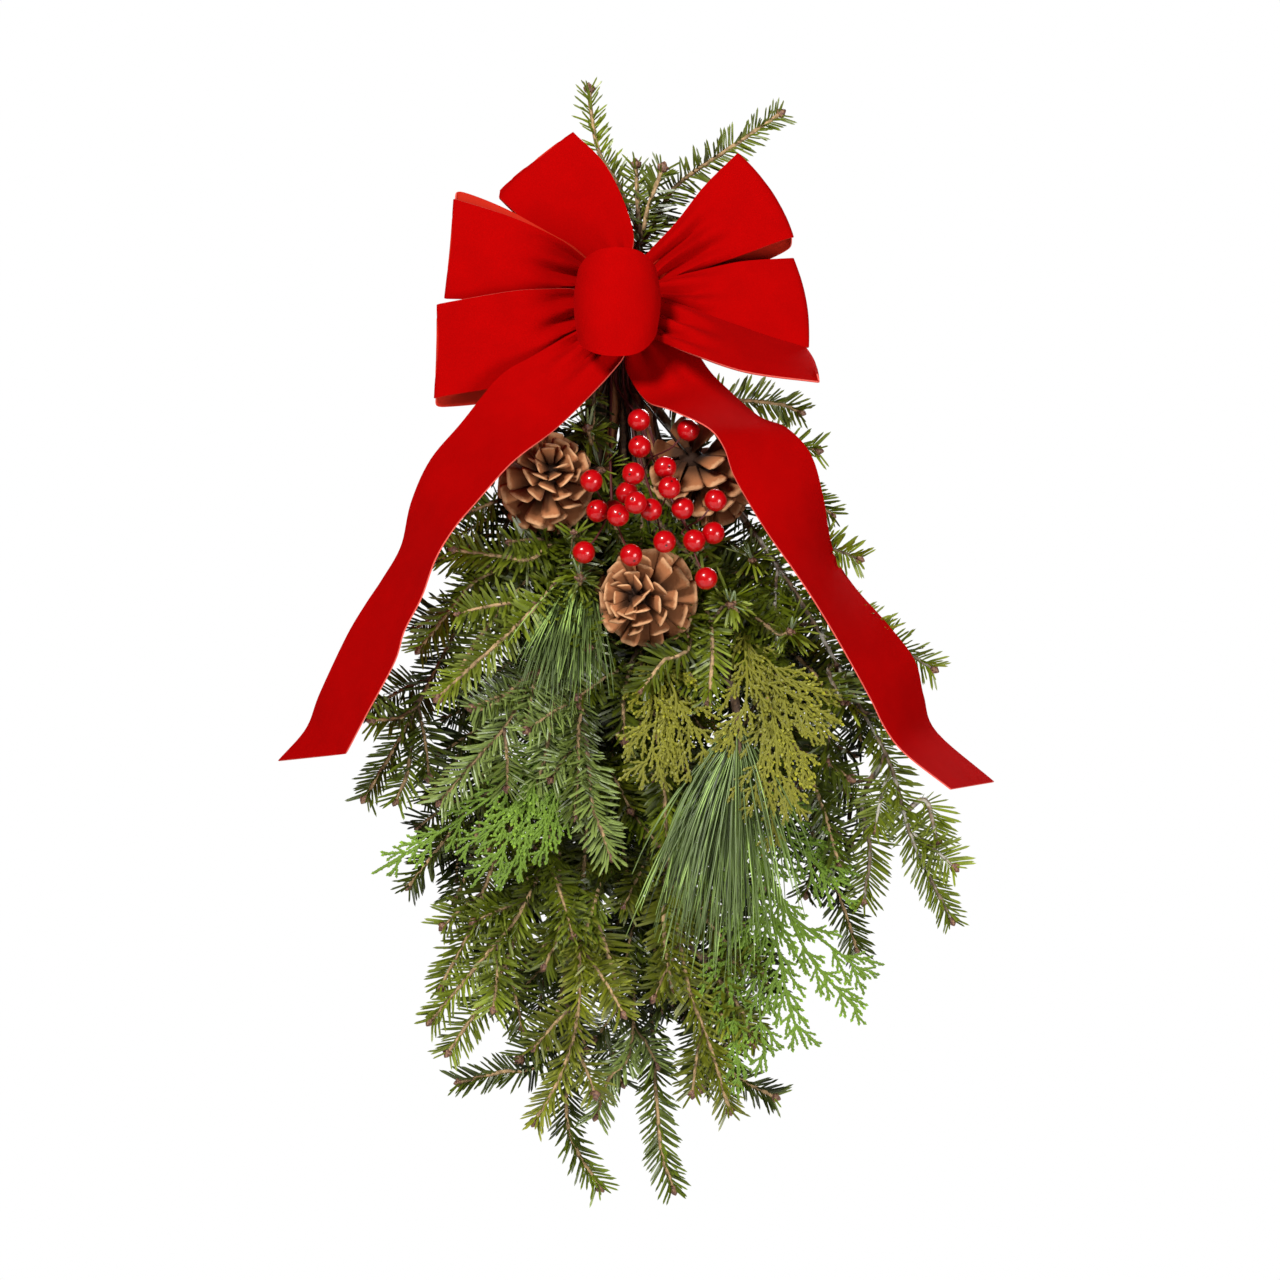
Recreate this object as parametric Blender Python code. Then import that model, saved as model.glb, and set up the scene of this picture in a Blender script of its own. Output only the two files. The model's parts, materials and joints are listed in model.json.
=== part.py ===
"""Christmas door swag: fir, pine and cedar cuttings tied in a bundle, with cones, berries and a bow.

The swag hangs as on a door: +Z is up, the door is behind it at +Y and the viewer in front at -Y.
The origin is where the wire loop bears on its nail. Units are metres.
"""
import math
import random

import bpy
import numpy as np

# Driving sizes
RIBBON_WIDTH = 0.0635
RIBBON_THICKNESS = 0.0009
NEEDLE_LENGTH = 0.019
CONE_RADIUS = 0.032
CONE_LENGTH = 0.058
BERRY_RADIUS = 0.0072
STEM_RADIUS = 0.0030
HANGER_HOLE_RADIUS = 0.010
GAP = 0.0003
SEED = 24

# Places on the front view are counted in steps of a hundredth of the ribbon width,
# x to the right and y down, and the hanger's bearing point stands at HANGER_PLACE.
STEP = RIBBON_WIDTH / 100
HANGER_PLACE = (620, 290)

# The bundle of cut stems, whose layers are numbered from the door to the front. Stems are three-sided,
# and with this radius to their corners they lie a GAP apart.
LAYER_WIDTHS = (6, 6, 6, 6, 6)
WOOD_RADIUS = 2 * STEM_RADIUS / math.sqrt(3)
WOOD_TAPER = 0.7
BUNDLE_PITCH = 2 * STEM_RADIUS + GAP
LAYER_PITCH = BUNDLE_PITCH * math.sqrt(3) / 2
BUNDLE_BACK = 0.018
BUNDLE_LEFT = -0.0165
BUNDLE_TOP = 0.012
BUNDLE_FOOT = -0.052
UPRIGHT_LEAVES = 0.004
CUT_STEP = 0.002
BINDING_HEIGHT = -0.036
BINDING_WIRE = 0.0008
BINDING_TURNS = 2
BINDING_TURN_STEP = 40
BINDING_RISE = 0.0022
FRONT_OF_BUNDLE = BUNDLE_BACK + (len(LAYER_WIDTHS) - 1) * LAYER_PITCH + WOOD_RADIUS
HANGER_WIRE = 0.001
HANGER_POINTS = 16
TRUNK_WIRE = 0.0009
TIE_WIRE = 0.0006
WIRE_TO_CONE = 0.0005

# Wires that lie on the front of the bundle under the binding: place to the side, and radius
TRUNK_PLACES = {
    "cone_left": (-0.0085, TIE_WIRE),
    "berries_left": (-0.0056, TRUNK_WIRE),
    "berries_top": (-0.0028, TRUNK_WIRE),
    "cone_centre": (-0.0004, TIE_WIRE),
    "berries_middle": (0.0020, TRUNK_WIRE),
    "berries_right": (0.0048, TRUNK_WIRE),
    "cone_right": (0.0077, TIE_WIRE),
}

# The bow is pinched at its middle, one layer of ribbon in front of the other
PINCH_HEIGHT = -0.008
PINCH_HALF = 0.013
PINCH_SIDE = 0.0002
PINCH_BULGE = 0.0015
BOW_WIRE = 0.0006
BOW_WIRE_FRONT = -0.0765
BOW_WIRE_ROOM = 0.0012

# Needle-bearing shoots
SHOOT_RADIUS = 0.0013
WHORL_PITCH = 0.0305
SPARSE_PITCH = 0.0340
STEM_LEAVES_OVER = 0.010
STEM_LEANS = 0.06
SIDE_BARE = 0.34
SEPARATE = 0.004
BUD_LENGTH = 0.004
SHOOT_SUNK = 0.0012
NEEDLE_BASE = 0.0022
NEEDLE_HALF_THICKNESS = 0.0006
CLEAR_OF_OTHERS = 0.0004
NEEDLE_ROOT_SHARE = 0.12

# Settling: stems bend until each clears the others by SETTLE_GAP, less what SETTLE_ENOUGH leaves
PATH_POINTS = 110
SHOOT_POINTS = 17
SETTLE_GAP = 0.0012
SETTLE_ENOUGH = 0.0004
SETTLE_SLACK = 0.012
SETTLE_ROUNDS = 160
FREED_OVER = 0.012
CONE_CLEARANCE = 0.0335
RULINGS = 90
RIBBON_CLEARANCE = 0.0026

rng = random.Random(SEED)


def at(x, y, depth):
    """Point in metres for a place on the front view and a depth in front of the door in millimetres."""
    return np.array([(x - HANGER_PLACE[0]) * STEP, -depth * 0.001, (HANGER_PLACE[1] - y) * STEP])


def unit(vector):
    return vector / np.linalg.norm(vector)


def smooth(points, count):
    """Points evenly spaced along a Catmull-Rom curve through the given points."""
    knots = np.array(points, dtype=float)
    padded = np.vstack([2 * knots[0] - knots[1], knots, 2 * knots[-1] - knots[-2]])
    fine = []
    for i in range(len(knots) - 1):
        p0, p1, p2, p3 = padded[i:i + 4]
        for t in np.linspace(0, 1, 12, endpoint=False):
            fine.append(0.5 * (2 * p1 + (p2 - p0) * t + (2 * p0 - 5 * p1 + 4 * p2 - p3) * t ** 2
                               + (3 * p1 - p0 - 3 * p2 + p3) * t ** 3))
    fine.append(knots[-1])
    fine = np.array(fine)
    lengths = np.concatenate([[0], np.cumsum(np.linalg.norm(np.diff(fine, axis=0), axis=1))])
    wanted = np.linspace(0, lengths[-1], count)
    return np.stack([np.interp(wanted, lengths, fine[:, k]) for k in range(3)], axis=1)


def sparse(path, tolerance=0.0005):
    """Indices of the fewest points that keep a path's line within the tolerance."""
    kept = {0, len(path) - 1}
    spans = [(0, len(path) - 1)]
    while spans:
        first, last = spans.pop()
        if last - first < 2:
            continue
        away = bar_distances(path[first], path[last], path[first + 1:last], path[first + 1:last] + 1e-9)
        if away.max() > tolerance:
            middle = first + 1 + int(away.argmax())
            kept.add(middle)
            spans += [(first, middle), (middle, last)]
    return sorted(kept)


def path_length(path):
    return float(np.linalg.norm(np.diff(path, axis=0), axis=1).sum())


def frames_along(path, hint=None):
    """Tangent, front and side directions at each point; the front starts out towards the viewer."""
    tangents = np.gradient(path, axis=0)
    tangents /= np.linalg.norm(tangents, axis=1)[:, None]
    if hint is None:
        hint = np.array([0.0, -1.0, 0.0]) if abs(tangents[0][1]) < 0.8 else np.array([0.0, 0.0, 1.0])
    fronts = []
    front = hint
    for tangent in tangents:
        front = unit(front - tangent * (tangent @ front))
        fronts.append(front)
    fronts = np.array(fronts)
    return tangents, fronts, np.cross(tangents, fronts)


class Space:
    """What is already placed, as round bars, so that a new bar can be tested against it."""

    def __init__(self):
        self.starts = np.zeros((0, 3))
        self.outer_starts = np.zeros((0, 3))
        self.ends = np.zeros((0, 3))
        self.radii = np.zeros(0)
        self.nodes = np.zeros(0, dtype=int)
        self.names = []

    def node(self, name):
        if name not in self.names:
            self.names.append(name)
        return self.names.index(name)

    def add(self, name, starts, ends, radii, outer_share=0.0):
        starts = np.atleast_2d(starts)
        ends = np.atleast_2d(ends)
        self.starts = np.vstack([self.starts, starts])
        self.outer_starts = np.vstack([self.outer_starts, starts + (ends - starts) * outer_share])
        self.ends = np.vstack([self.ends, ends])
        self.radii = np.concatenate([self.radii, np.broadcast_to(radii, len(starts))])
        self.nodes = np.concatenate([self.nodes, np.full(len(starts), self.node(name))])

    def add_path(self, name, path, radii):
        radii = np.broadcast_to(radii, len(path))
        self.add(name, path[:-1], path[1:], np.maximum(radii[:-1], radii[1:]))

    def short_bars(self, longest=0.008):
        """Everything placed so far as short bars with their radii, for settling stems round it."""
        lengths = np.linalg.norm(self.ends - self.starts, axis=1)
        pieces = np.maximum(1, np.ceil(lengths / longest)).astype(int)
        rows = np.repeat(np.arange(len(pieces)), pieces)
        place = np.arange(len(rows)) - np.repeat(np.cumsum(pieces) - pieces, pieces)
        step = (self.ends - self.starts)[rows] / pieces[rows][:, None]
        starts = self.starts[rows] + step * place[:, None]
        return starts, starts + step, self.radii[rows]

    def gaps(self, start, end, radius, own=False, name=None):
        """Clear distance from one bar to every bar placed before it."""
        others = self.outer_starts if own else self.starts
        chosen = self.nodes == self.node(name) if own else self.nodes != self.node(name)
        if not chosen.any():
            return np.array([1.0])
        return bar_distances(start, end, others[chosen], self.ends[chosen]) - self.radii[chosen] - radius

    def is_clear(self, name, start, end, radius, outer_share=NEEDLE_ROOT_SHARE):
        if self.gaps(start, end, radius, name=name).min() < CLEAR_OF_OTHERS:
            return False
        outer = start + (end - start) * outer_share
        return self.gaps(outer, end, radius, own=True, name=name).min() > 0


def closest_points(a, b, starts, ends):
    """Nearest points of the segments a-b and starts-ends, row by row."""
    d1 = b - a
    d2 = ends - starts
    r = a - starts
    aa = np.maximum((d1 * d1).sum(-1), 1e-18)
    ee = np.maximum((d2 * d2).sum(-1), 1e-18)
    f = (d2 * r).sum(-1)
    c = (d1 * r).sum(-1)
    bb = (d1 * d2).sum(-1)
    denominator = aa * ee - bb * bb
    s = np.where(denominator > 1e-18, (bb * f - c * ee) / np.maximum(denominator, 1e-18), 0.0)
    s = np.clip(s, 0, 1)
    t = np.clip((bb * s + f) / ee, 0, 1)
    s = np.clip((bb * t - c) / aa, 0, 1)
    return a + s[..., None] * d1, starts + t[..., None] * d2


def nearest_on(line, place):
    """Point of a line nearest to a place."""
    near, _ = closest_points(line[:-1], line[1:], place, place + 1e-9)
    return near[int(np.linalg.norm(near - place, axis=1).argmin())]


def bar_distances(a, b, starts, ends):
    """Shortest distances between the segment a-b and many segments."""
    near, far = closest_points(a, b, starts, ends)
    return np.linalg.norm(near - far, axis=-1)


# Mesh building

def material(name, colour, roughness, metallic=0.0):
    made = bpy.data.materials.new(name)
    made.use_nodes = True
    shader = made.node_tree.nodes["Principled BSDF"]
    shader.inputs["Base Color"].default_value = (*colour, 1.0)
    shader.inputs["Roughness"].default_value = roughness
    shader.inputs["Metallic"].default_value = metallic
    return made


def mesh_object(name, points, faces, finish=None):
    mesh = bpy.data.meshes.new(name)
    mesh.from_pydata([tuple(p) for p in points], [], faces)
    mesh.validate()
    obj = bpy.data.objects.new(name, mesh)
    bpy.context.scene.collection.objects.link(obj)
    if finish:
        obj.data.materials.append(finish)
    return obj


def tube(path, radii, sides, hint=None):
    """Points and faces of a closed tube along a path."""
    tangents, fronts, across = frames_along(path, hint)
    radii = np.broadcast_to(radii, len(path))
    points = []
    for k in range(len(path)):
        for j in range(sides):
            angle = 2 * math.pi * j / sides
            points.append(path[k] + radii[k] * (math.cos(angle) * fronts[k] + math.sin(angle) * across[k]))
    faces = []
    for k in range(len(path) - 1):
        for j in range(sides):
            i = (j + 1) % sides
            faces.append((k * sides + j, (k + 1) * sides + j, (k + 1) * sides + i, k * sides + i))
    faces.append(tuple(range(sides)))
    faces.append(tuple(reversed(range((len(path) - 1) * sides, len(path) * sides))))
    return points, [tuple(reversed(f)) for f in faces]


def fuse(name, parts, finish):
    """Join repeats to the first part with one union and leave a single object."""
    base = mesh_object(name, *parts[0], finish)
    if len(parts) == 1:
        return base
    group = bpy.data.collections.new(name + "_repeats")
    bpy.context.scene.collection.children.link(group)
    for k, part in enumerate(parts[1:]):
        piece = mesh_object(f"{name}_repeat_{k}", *part, finish)
        bpy.context.scene.collection.objects.unlink(piece)
        group.objects.link(piece)
    union = base.modifiers.new("union", "BOOLEAN")
    union.operation = "UNION"
    union.operand_type = "COLLECTION"
    union.collection = group
    union.solver = "MANIFOLD"
    graph = bpy.context.evaluated_depsgraph_get()
    graph.update()
    joined = bpy.data.meshes.new_from_object(base.evaluated_get(graph))
    base.modifiers.clear()
    base.data = joined
    for piece in list(group.objects):
        bpy.data.objects.remove(piece)
    bpy.data.collections.remove(group)
    return base


# Shoots that bear needles

class Foliage:
    """How one kind of shoot carries its needles."""

    def __init__(self, length, pitch, base, lean, flat, core, colour, roughness=0.6, tip_share=0.75):
        self.length = length
        self.pitch = pitch
        self.base = base
        self.lean = math.radians(lean)
        self.flat = flat
        self.core = core
        self.colour = colour
        self.roughness = roughness
        self.tip_share = tip_share


FIR_LIGHT = Foliage(NEEDLE_LENGTH, WHORL_PITCH, NEEDLE_BASE, 56, False, SHOOT_RADIUS, (0.10, 0.20, 0.02))
FIR_DARK = Foliage(NEEDLE_LENGTH, SPARSE_PITCH, NEEDLE_BASE, 60, False, SHOOT_RADIUS, (0.02, 0.06, 0.01))
FIR_BLUE = Foliage(NEEDLE_LENGTH, WHORL_PITCH, NEEDLE_BASE, 54, False, SHOOT_RADIUS, (0.10, 0.20, 0.10))
FIR_YELLOW = Foliage(NEEDLE_LENGTH, WHORL_PITCH, NEEDLE_BASE, 50, False, SHOOT_RADIUS, (0.15, 0.22, 0.02))
CEDAR_GREEN = Foliage(0.0135, 0.0102, 0.0102, 38, True, 0.0011, (0.06, 0.18, 0.02))
CEDAR_GOLD = Foliage(0.0120, 0.0095, 0.0095, 42, True, 0.0012, (0.30, 0.32, 0.03))

# Azimuths in degrees of the two needles raised from each of a core's three faces
NEEDLE_AZIMUTHS = ((-24, 24), (84, 138), (222, 276))


def needle_stations(start, end, kind):
    """Distances along a shoot at which its faces begin and end, and which of them begin a whorl."""
    stations, whorls = [], []
    place = start
    while place + kind.base < end - 0.002:
        if not stations or place - stations[-1] > 0.0004:
            stations.append(place)
        whorls.append(len(stations) - 1)
        stations.append(place + kind.base)
        place += kind.pitch
    return stations, whorls


def wood_radii(far, held, bare, core):
    """Radii of a stem: full as far as the bundle holds it, then tapering to the core that bears needles."""
    share = np.clip((far - held) / (bare - held), 0, 1)
    return core + (WOOD_RADIUS - core) * (1 - share) ** WOOD_TAPER


def shoot_mesh(name, path, kind, space, bare, held=None):
    """A three-sided stem whose small faces are raised into needles, each kept clear of other pieces."""
    total = path_length(path)
    far = np.linspace(0, total, len(path))
    needled, whorls = needle_stations(bare, total, kind)
    before = [0.0]
    if held is not None:
        before.append(held)
    before += [far[k] for k in sparse(path) if before[-1] + SEPARATE < far[k] < bare - SEPARATE]
    stations = before + needled + [total]
    whorls = {k + len(before) for k in whorls}
    shares = np.clip((np.array(stations) - bare) / (total - bare), 0, 1)
    radii = np.full(len(stations), kind.core)
    if held is not None:
        radii = wood_radii(np.array(stations), held, bare, kind.core)
    radii = radii * (1.0 - 0.35 * shares)
    line, tangents, fronts, across = [np.stack([np.interp(stations, far, part[:, k]) for k in range(3)], 1)
                                      for part in (path, *frames_along(path))]
    points = []
    for k in range(len(line)):
        for corner in (-60, 60, 180):
            angle = math.radians(corner)
            points.append(line[k] + radii[k] * (math.cos(angle) * fronts[k] + math.sin(angle) * across[k]))
    faces = [(0, 1, 2)]
    for k in range(len(line) - 1):
        for j in range(3):
            i = (j + 1) % 3
            a, b = 3 * k + j, 3 * k + i
            d, c = 3 * (k + 1) + j, 3 * (k + 1) + i
            azimuths = NEEDLE_AZIMUTHS[j]
            if kind.flat:
                azimuths = (azimuths[0] if j else None, None)
            for half, azimuth in zip([(a, d, c), (a, c, b)], azimuths):
                tip = None
                if k in whorls and azimuth is not None:
                    tip = needle_tip(name, [points[v] for v in half], tangents[k], fronts[k], across[k],
                                     azimuth, shares[k], kind, space)
                if tip is None:
                    faces.append(half)
                else:
                    points.append(tip)
                    top = len(points) - 1
                    faces.extend([(half[0], half[1], top), (half[1], half[2], top), (half[2], half[0], top)])
    last = 3 * (len(line) - 1)
    points.append(path[-1] + unit(path[-1] - path[-3]) * BUD_LENGTH)
    top = len(points) - 1
    faces.extend([(last, top, last + 1), (last + 1, top, last + 2), (last + 2, top, last)])
    return points, [tuple(reversed(f)) for f in faces], line


def needle_tip(name, base, tangent, front, across, azimuth, share, kind, space):
    """Where a needle ends, or nothing if every way for it is blocked."""
    root = sum(base) / 3
    taper = 1.0 - 0.55 * max(0.0, share - kind.tip_share) / (1.0 - kind.tip_share)
    for attempt in range(5):
        lean = kind.lean * (1.0 - 0.35 * share) - math.radians(6 * attempt)
        angle = math.radians(azimuth + rng.uniform(-9, 9))
        if kind.flat:
            angle = math.copysign(math.pi / 2, math.sin(angle))
        length = kind.length * taper * rng.uniform(0.88, 1.06) * (1 - 0.09 * attempt)
        aim = math.cos(lean) * tangent + math.sin(lean) * (math.cos(angle) * front + math.sin(angle) * across)
        tip = root + length * aim
        if space.is_clear(name, root, tip, NEEDLE_HALF_THICKNESS):
            space.add(name, root, tip, NEEDLE_HALF_THICKNESS, outer_share=NEEDLE_ROOT_SHARE)
            return tip
    return None


# Boughs: layer and slot in the bundle, kind, route on the front view with depth, where its needles
# begin as a share of its length, and side shoots as (share of the length, points that it passes)

BOUGHS = {
    "fir_low_left_dark": (0, 0, FIR_DARK,
                          [(590, 480, 19), (530, 660, 26), (470, 800, 28), (408, 887, 32)], 0.66, [
        (0.62, [(455, 760, 30), (425, 800, 32)]),
        (0.75, [(470, 860, 28), (455, 900, 28)])]),
    "fir_bottom_curved": (0, 1, FIR_DARK, [(598, 520, 19), (585, 760, 20), (570, 980, 24),
                                           (566, 1110, 28), (576, 1152, 30), (599, 1188, 32)], 0.77, [
        (0.70, [(530, 960, 24), (500, 1010, 26)]),
        (0.80, [(600, 1030, 22), (622, 1085, 22)])]),
    "fir_bottom_right": (0, 4, FIR_DARK, [(640, 520, 19), (650, 760, 20), (650, 960, 24), (654, 1060, 28),
                                          (661, 1150, 30), (673, 1190, 32)], 0.77, [
        (0.72, [(690, 960, 24), (705, 1010, 26)]),
        (0.66, [(625, 900, 20), (615, 960, 20)])]),
    "fir_right_dark": (0, 5, FIR_DARK,
                       [(670, 470, 19), (730, 600, 26), (790, 720, 30), (866, 816, 34)], 0.58, [
        (0.55, [(800, 640, 30), (850, 690, 32), (862, 745, 32)]),
        (0.62, [(800, 800, 26), (834, 880, 28), (858, 950, 30)])]),
    "fir_left_dark": (1, 0, FIR_DARK, [(580, 430, 26), (520, 500, 48), (476, 590, 52), (440, 662, 56),
                                       (402, 735, 60), (366, 796, 62)], 0.56, [
        (0.80, [(404, 716, 62), (374, 720, 66)]),
        (0.84, [(408, 770, 60), (396, 800, 60)]),
        (0.42, [(500, 500, 60), (470, 512, 66)])]),
    "fir_dark_side_twig": (1, 1, FIR_DARK, [(596, 520, 26), (588, 800, 34), (562, 990, 40),
                                            (538, 1064, 44), (500, 1073, 46), (460, 1083, 48)], 0.80, [
        (0.70, [(520, 900, 42), (480, 960, 46)]),
        (0.66, [(545, 860, 38), (505, 900, 40)])]),
    "fir_dark_bluish": (1, 3, FIR_BLUE, [(622, 520, 26), (628, 800, 32), (634, 980, 36), (629, 1055, 40),
                                         (610, 1078, 42), (596, 1116, 44)], 0.72, [
        (0.70, [(655, 950, 36), (662, 1010, 38)]),
        (0.60, [(605, 820, 36), (598, 880, 38)])]),
    "fir_bottom_right_tip": (1, 4, FIR_DARK, [(660, 560, 26), (700, 820, 38), (718, 980, 42), (728, 1062, 46),
                                              (745, 1082, 48), (774, 1097, 50)], 0.72, [
        (0.66, [(745, 930, 42), (770, 990, 44)]),
        (0.80, [(700, 1040, 44), (698, 1075, 44)])]),
    "fir_mid_right": (1, 5, FIR_DARK, [(660, 398, 26), (692, 404, 42), (728, 400, 49), (777, 403, 50),
                                       (799, 411, 50)], 0.50, [
        (0.56, [(745, 440, 46), (790, 480, 44), (832, 514, 44)])]),
    "fir_low_left": (2, 0, FIR_LIGHT, [(588, 500, 33), (568, 680, 52), (548, 840, 62), (520, 912, 68),
                                       (478, 964, 72), (432, 1019, 74)], 0.60, [
        (0.60, [(500, 850, 60), (470, 930, 64), (441, 986, 66)]),
        (0.76, [(500, 975, 66), (470, 1020, 68), (449, 1051, 68)]),
        (0.66, [(560, 920, 66), (545, 965, 66)])]),
    "fir_yellow_centre": (2, 1, FIR_YELLOW, [(600, 500, 33), (592, 740, 54), (582, 900, 62), (578, 1010, 68),
                                             (562, 1072, 72), (536, 1119, 74)], 0.68, [
        (0.72, [(610, 960, 64), (618, 1000, 64)])]),
    "fir_centre_low": (2, 2, FIR_DARK, [(610, 520, 33), (612, 720, 52), (610, 840, 58), (598, 890, 62),
                                        (585, 932, 64)], 0.64, [
        (0.74, [(625, 860, 60), (632, 905, 60)])]),
    "fir_right_bottom": (2, 3, FIR_YELLOW, [(634, 520, 33), (656, 740, 54), (674, 900, 62), (688, 985, 68),
                                            (708, 1040, 70), (729, 1108, 72)], 0.66, [
        (0.66, [(664, 930, 66), (672, 990, 68)]),
        (0.78, [(735, 1000, 68), (752, 1040, 70)])]),
    "cedar_right": (2, 4, CEDAR_GREEN, [(650, 520, 33), (712, 720, 58), (752, 830, 66), (782, 900, 70),
                                        (812, 960, 72), (860, 1012, 74)], 0.60, [
        (0.62, [(780, 800, 66), (820, 850, 66), (848, 880, 66)]),
        (0.66, [(745, 890, 70), (728, 960, 72), (736, 1030, 74), (738, 1098, 74)]),
        (0.70, [(812, 860, 68), (850, 905, 68)]),
        (0.76, [(780, 960, 74), (790, 1010, 76), (806, 1046, 76)]),
        (0.72, [(758, 960, 74), (760, 1020, 76), (766, 1068, 76)]),
        (0.84, [(848, 960, 72), (864, 976, 72)])]),
    "fir_right_big": (2, 5, FIR_LIGHT, [(700, 462, 33), (765, 548, 60), (812, 620, 66), (850, 690, 70),
                                        (888, 760, 72), (912, 840, 74), (950, 918, 76)], 0.66, [
        (0.58, [(872, 640, 64), (905, 652, 60), (932, 668, 58)]),
        (0.62, [(828, 672, 80), (840, 700, 92)]),
        (0.76, [(862, 800, 66), (870, 850, 62), (864, 900, 60)]),
        (0.84, [(925, 800, 72), (936, 840, 72)])]),
    "fir_left_light": (3, 0, FIR_LIGHT, [(578, 500, 40), (540, 560, 58), (500, 570, 68), (472, 584, 74),
                                         (447, 615, 76), (421, 648, 78)], 0.50, [
        (0.62, [(478, 640, 76), (452, 690, 76)])]),
    "fir_left_bluish": (3, 1, FIR_BLUE, [(588, 520, 40), (562, 640, 66), (528, 690, 80), (504, 728, 86),
                                         (474, 762, 88), (442, 800, 88)], 0.52, [
        (0.66, [(500, 700, 88), (478, 710, 92)]),
        (0.58, [(548, 740, 80), (535, 790, 82)])]),
    "cedar_left": (3, 2, CEDAR_GREEN, [(598, 530, 40), (576, 690, 66), (544, 750, 78), (500, 790, 82),
                                       (440, 832, 80), (375, 872, 74)], 0.60, [
        (0.64, [(528, 780, 86), (502, 820, 88), (460, 850, 88)]),
        (0.62, [(535, 800, 84), (500, 850, 88), (474, 884, 88)]),
        (0.60, [(548, 810, 84), (520, 850, 86), (502, 886, 88)]),
        (0.58, [(560, 780, 82), (548, 820, 86), (540, 862, 86)])]),
    "fir_centre_left": (3, 3, FIR_BLUE, [(606, 530, 40), (596, 660, 68), (580, 720, 84), (578, 772, 90),
                                         (575, 815, 92)], 0.56, [
        (0.80, [(592, 800, 92), (602, 830, 92), (610, 854, 92)])]),
    "fir_centre": (3, 4, FIR_LIGHT, [(634, 530, 40), (645, 660, 64), (656, 730, 80), (664, 780, 86),
                                     (666, 842, 88)], 0.52, [
        (0.62, [(625, 690, 80), (624, 738, 86)]),
        (0.72, [(690, 770, 80), (712, 830, 78)])]),
    "fir_right_inner": (3, 5, FIR_DARK, [(668, 520, 40), (735, 640, 60), (792, 740, 64), (820, 800, 66),
                                         (838, 862, 66)], 0.56, [
        (0.52, [(800, 660, 66), (826, 690, 70)]),
        (0.66, [(770, 780, 60), (786, 850, 60)])]),
    "fir_front_left": (4, 0, FIR_LIGHT, [(582, 480, 47), (566, 560, 62), (542, 600, 86), (502, 640, 96),
                                         (466, 672, 98), (441, 696, 98)], 0.44, [
        (0.36, [(540, 552, 76), (500, 556, 84), (455, 550, 86)]),
        (0.42, [(580, 578, 84), (581, 580, 100)]),
        (0.33, [(574, 546, 72), (574, 534, 92)]),
        (0.16, [(592, 440, 60), (588, 430, 78)])]),
    "pine_left": (4, 1, None, [(594, 480, 47), (586, 540, 56), (588, 574, 72)], 0.9, []),
    "cedar_golden_low": (4, 2, CEDAR_GOLD, [(608, 480, 47), (640, 640, 58), (664, 672, 84), (676, 700, 96),
                                            (668, 740, 102), (661, 779, 104)], 0.66, [
        (0.70, [(650, 705, 98), (627, 748, 100)]),
        (0.72, [(692, 725, 100), (709, 766, 102)]),
        (0.78, [(652, 745, 104), (640, 772, 106)]),
        (0.80, [(684, 752, 104), (690, 778, 106)])]),
    "fir_front_right": (4, 3, FIR_LIGHT, [(628, 480, 47), (676, 560, 50), (706, 610, 76), (712, 650, 90),
                                          (708, 702, 94)], 0.48, [
        (0.46, [(730, 604, 76), (732, 606, 98)]),
        (0.56, [(684, 640, 86), (664, 660, 90), (642, 689, 92)]),
        (0.52, [(766, 626, 78), (788, 632, 98)]),
        (0.60, [(760, 660, 80), (784, 682, 84)])]),
    "pine_right": (4, 4, None, [(646, 480, 47), (704, 620, 62), (732, 690, 92), (737, 742, 102),
                                (733, 772, 104)], 0.9, []),
    "cedar_golden": (4, 5, CEDAR_GOLD, [(664, 480, 47), (735, 610, 66), (752, 672, 90), (768, 700, 100),
                                        (776, 760, 106), (770, 840, 108)], 0.60, [
        (0.62, [(790, 684, 98), (834, 690, 98)]),
        (0.66, [(800, 705, 102), (834, 738, 102)]),
        (0.62, [(745, 700, 104), (722, 748, 106)]),
        (0.70, [(795, 745, 106), (812, 780, 106)]),
        (0.76, [(755, 790, 110), (750, 812, 112)]),
        (0.78, [(792, 790, 108), (796, 810, 108)])]),
}

# Three boughs stand up behind the bow; their cut ends are at the foot of the bundle
UPRIGHTS = {
    "fir_top_left": (0, 2, FIR_LIGHT,
                     [(640, 245, 22), (622, 190, 24), (599, 150, 26), (591, 110, 28), (589, 88, 28)],
                     0.52, []),
    "fir_top_middle": (1, 2, FIR_DARK, [(640, 240, 30), (648, 206, 34), (662, 168, 38)], 0.44, [
        (0.66, [(638, 205, 28), (636, 164, 28)])]),
    "fir_top_right": (0, 3, FIR_LIGHT,
                      [(652, 225, 22), (676, 184, 26), (730, 146, 32), (780, 112, 36)], 0.48, []),
}

CONES = {
    "cone_left": ((548, 482), 78, (0.10, -0.90, 0.36)),
    "cone_right": ((706, 478), 74, (0.45, 0.55, -0.55)),
    "cone_centre": ((645, 598), 90, (-0.34, -0.93, 0.05)),
}

# Places that each pick's trunk passes, the last being where its wires part, and its berries' places
PICKS = {
    "berries_top": ([(640, 420, 62), (652, 458, 84)],
                    [(639, 422, 104), (688, 432, 104), (640, 451, 112), (664, 471, 116), (634, 476, 124)]),
    "berries_left": ([(610, 450, 60), (612, 508, 82)],
                     [(592, 483, 112), (599, 515, 108), (618, 518, 118), (607, 530, 94), (585, 553, 108),
                      (631, 556, 124)]),
    "berries_middle": ([(638, 450, 56), (656, 512, 86)],
                       [(627, 495, 106), (636, 505, 130), (651, 513, 120), (669, 490, 126), (664, 543, 124)]),
    "berries_right": ([(650, 430, 62), (664, 484, 94), (686, 528, 104)],
                      [(682, 511, 122), (677, 530, 108), (715, 502, 118), (715, 538, 112), (705, 579, 118)]),
}
PICK_SIDES = 6
PICK_WIRE = 0.0006
PICK_BOW = np.array([0.0, -0.004, -0.003])
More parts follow.
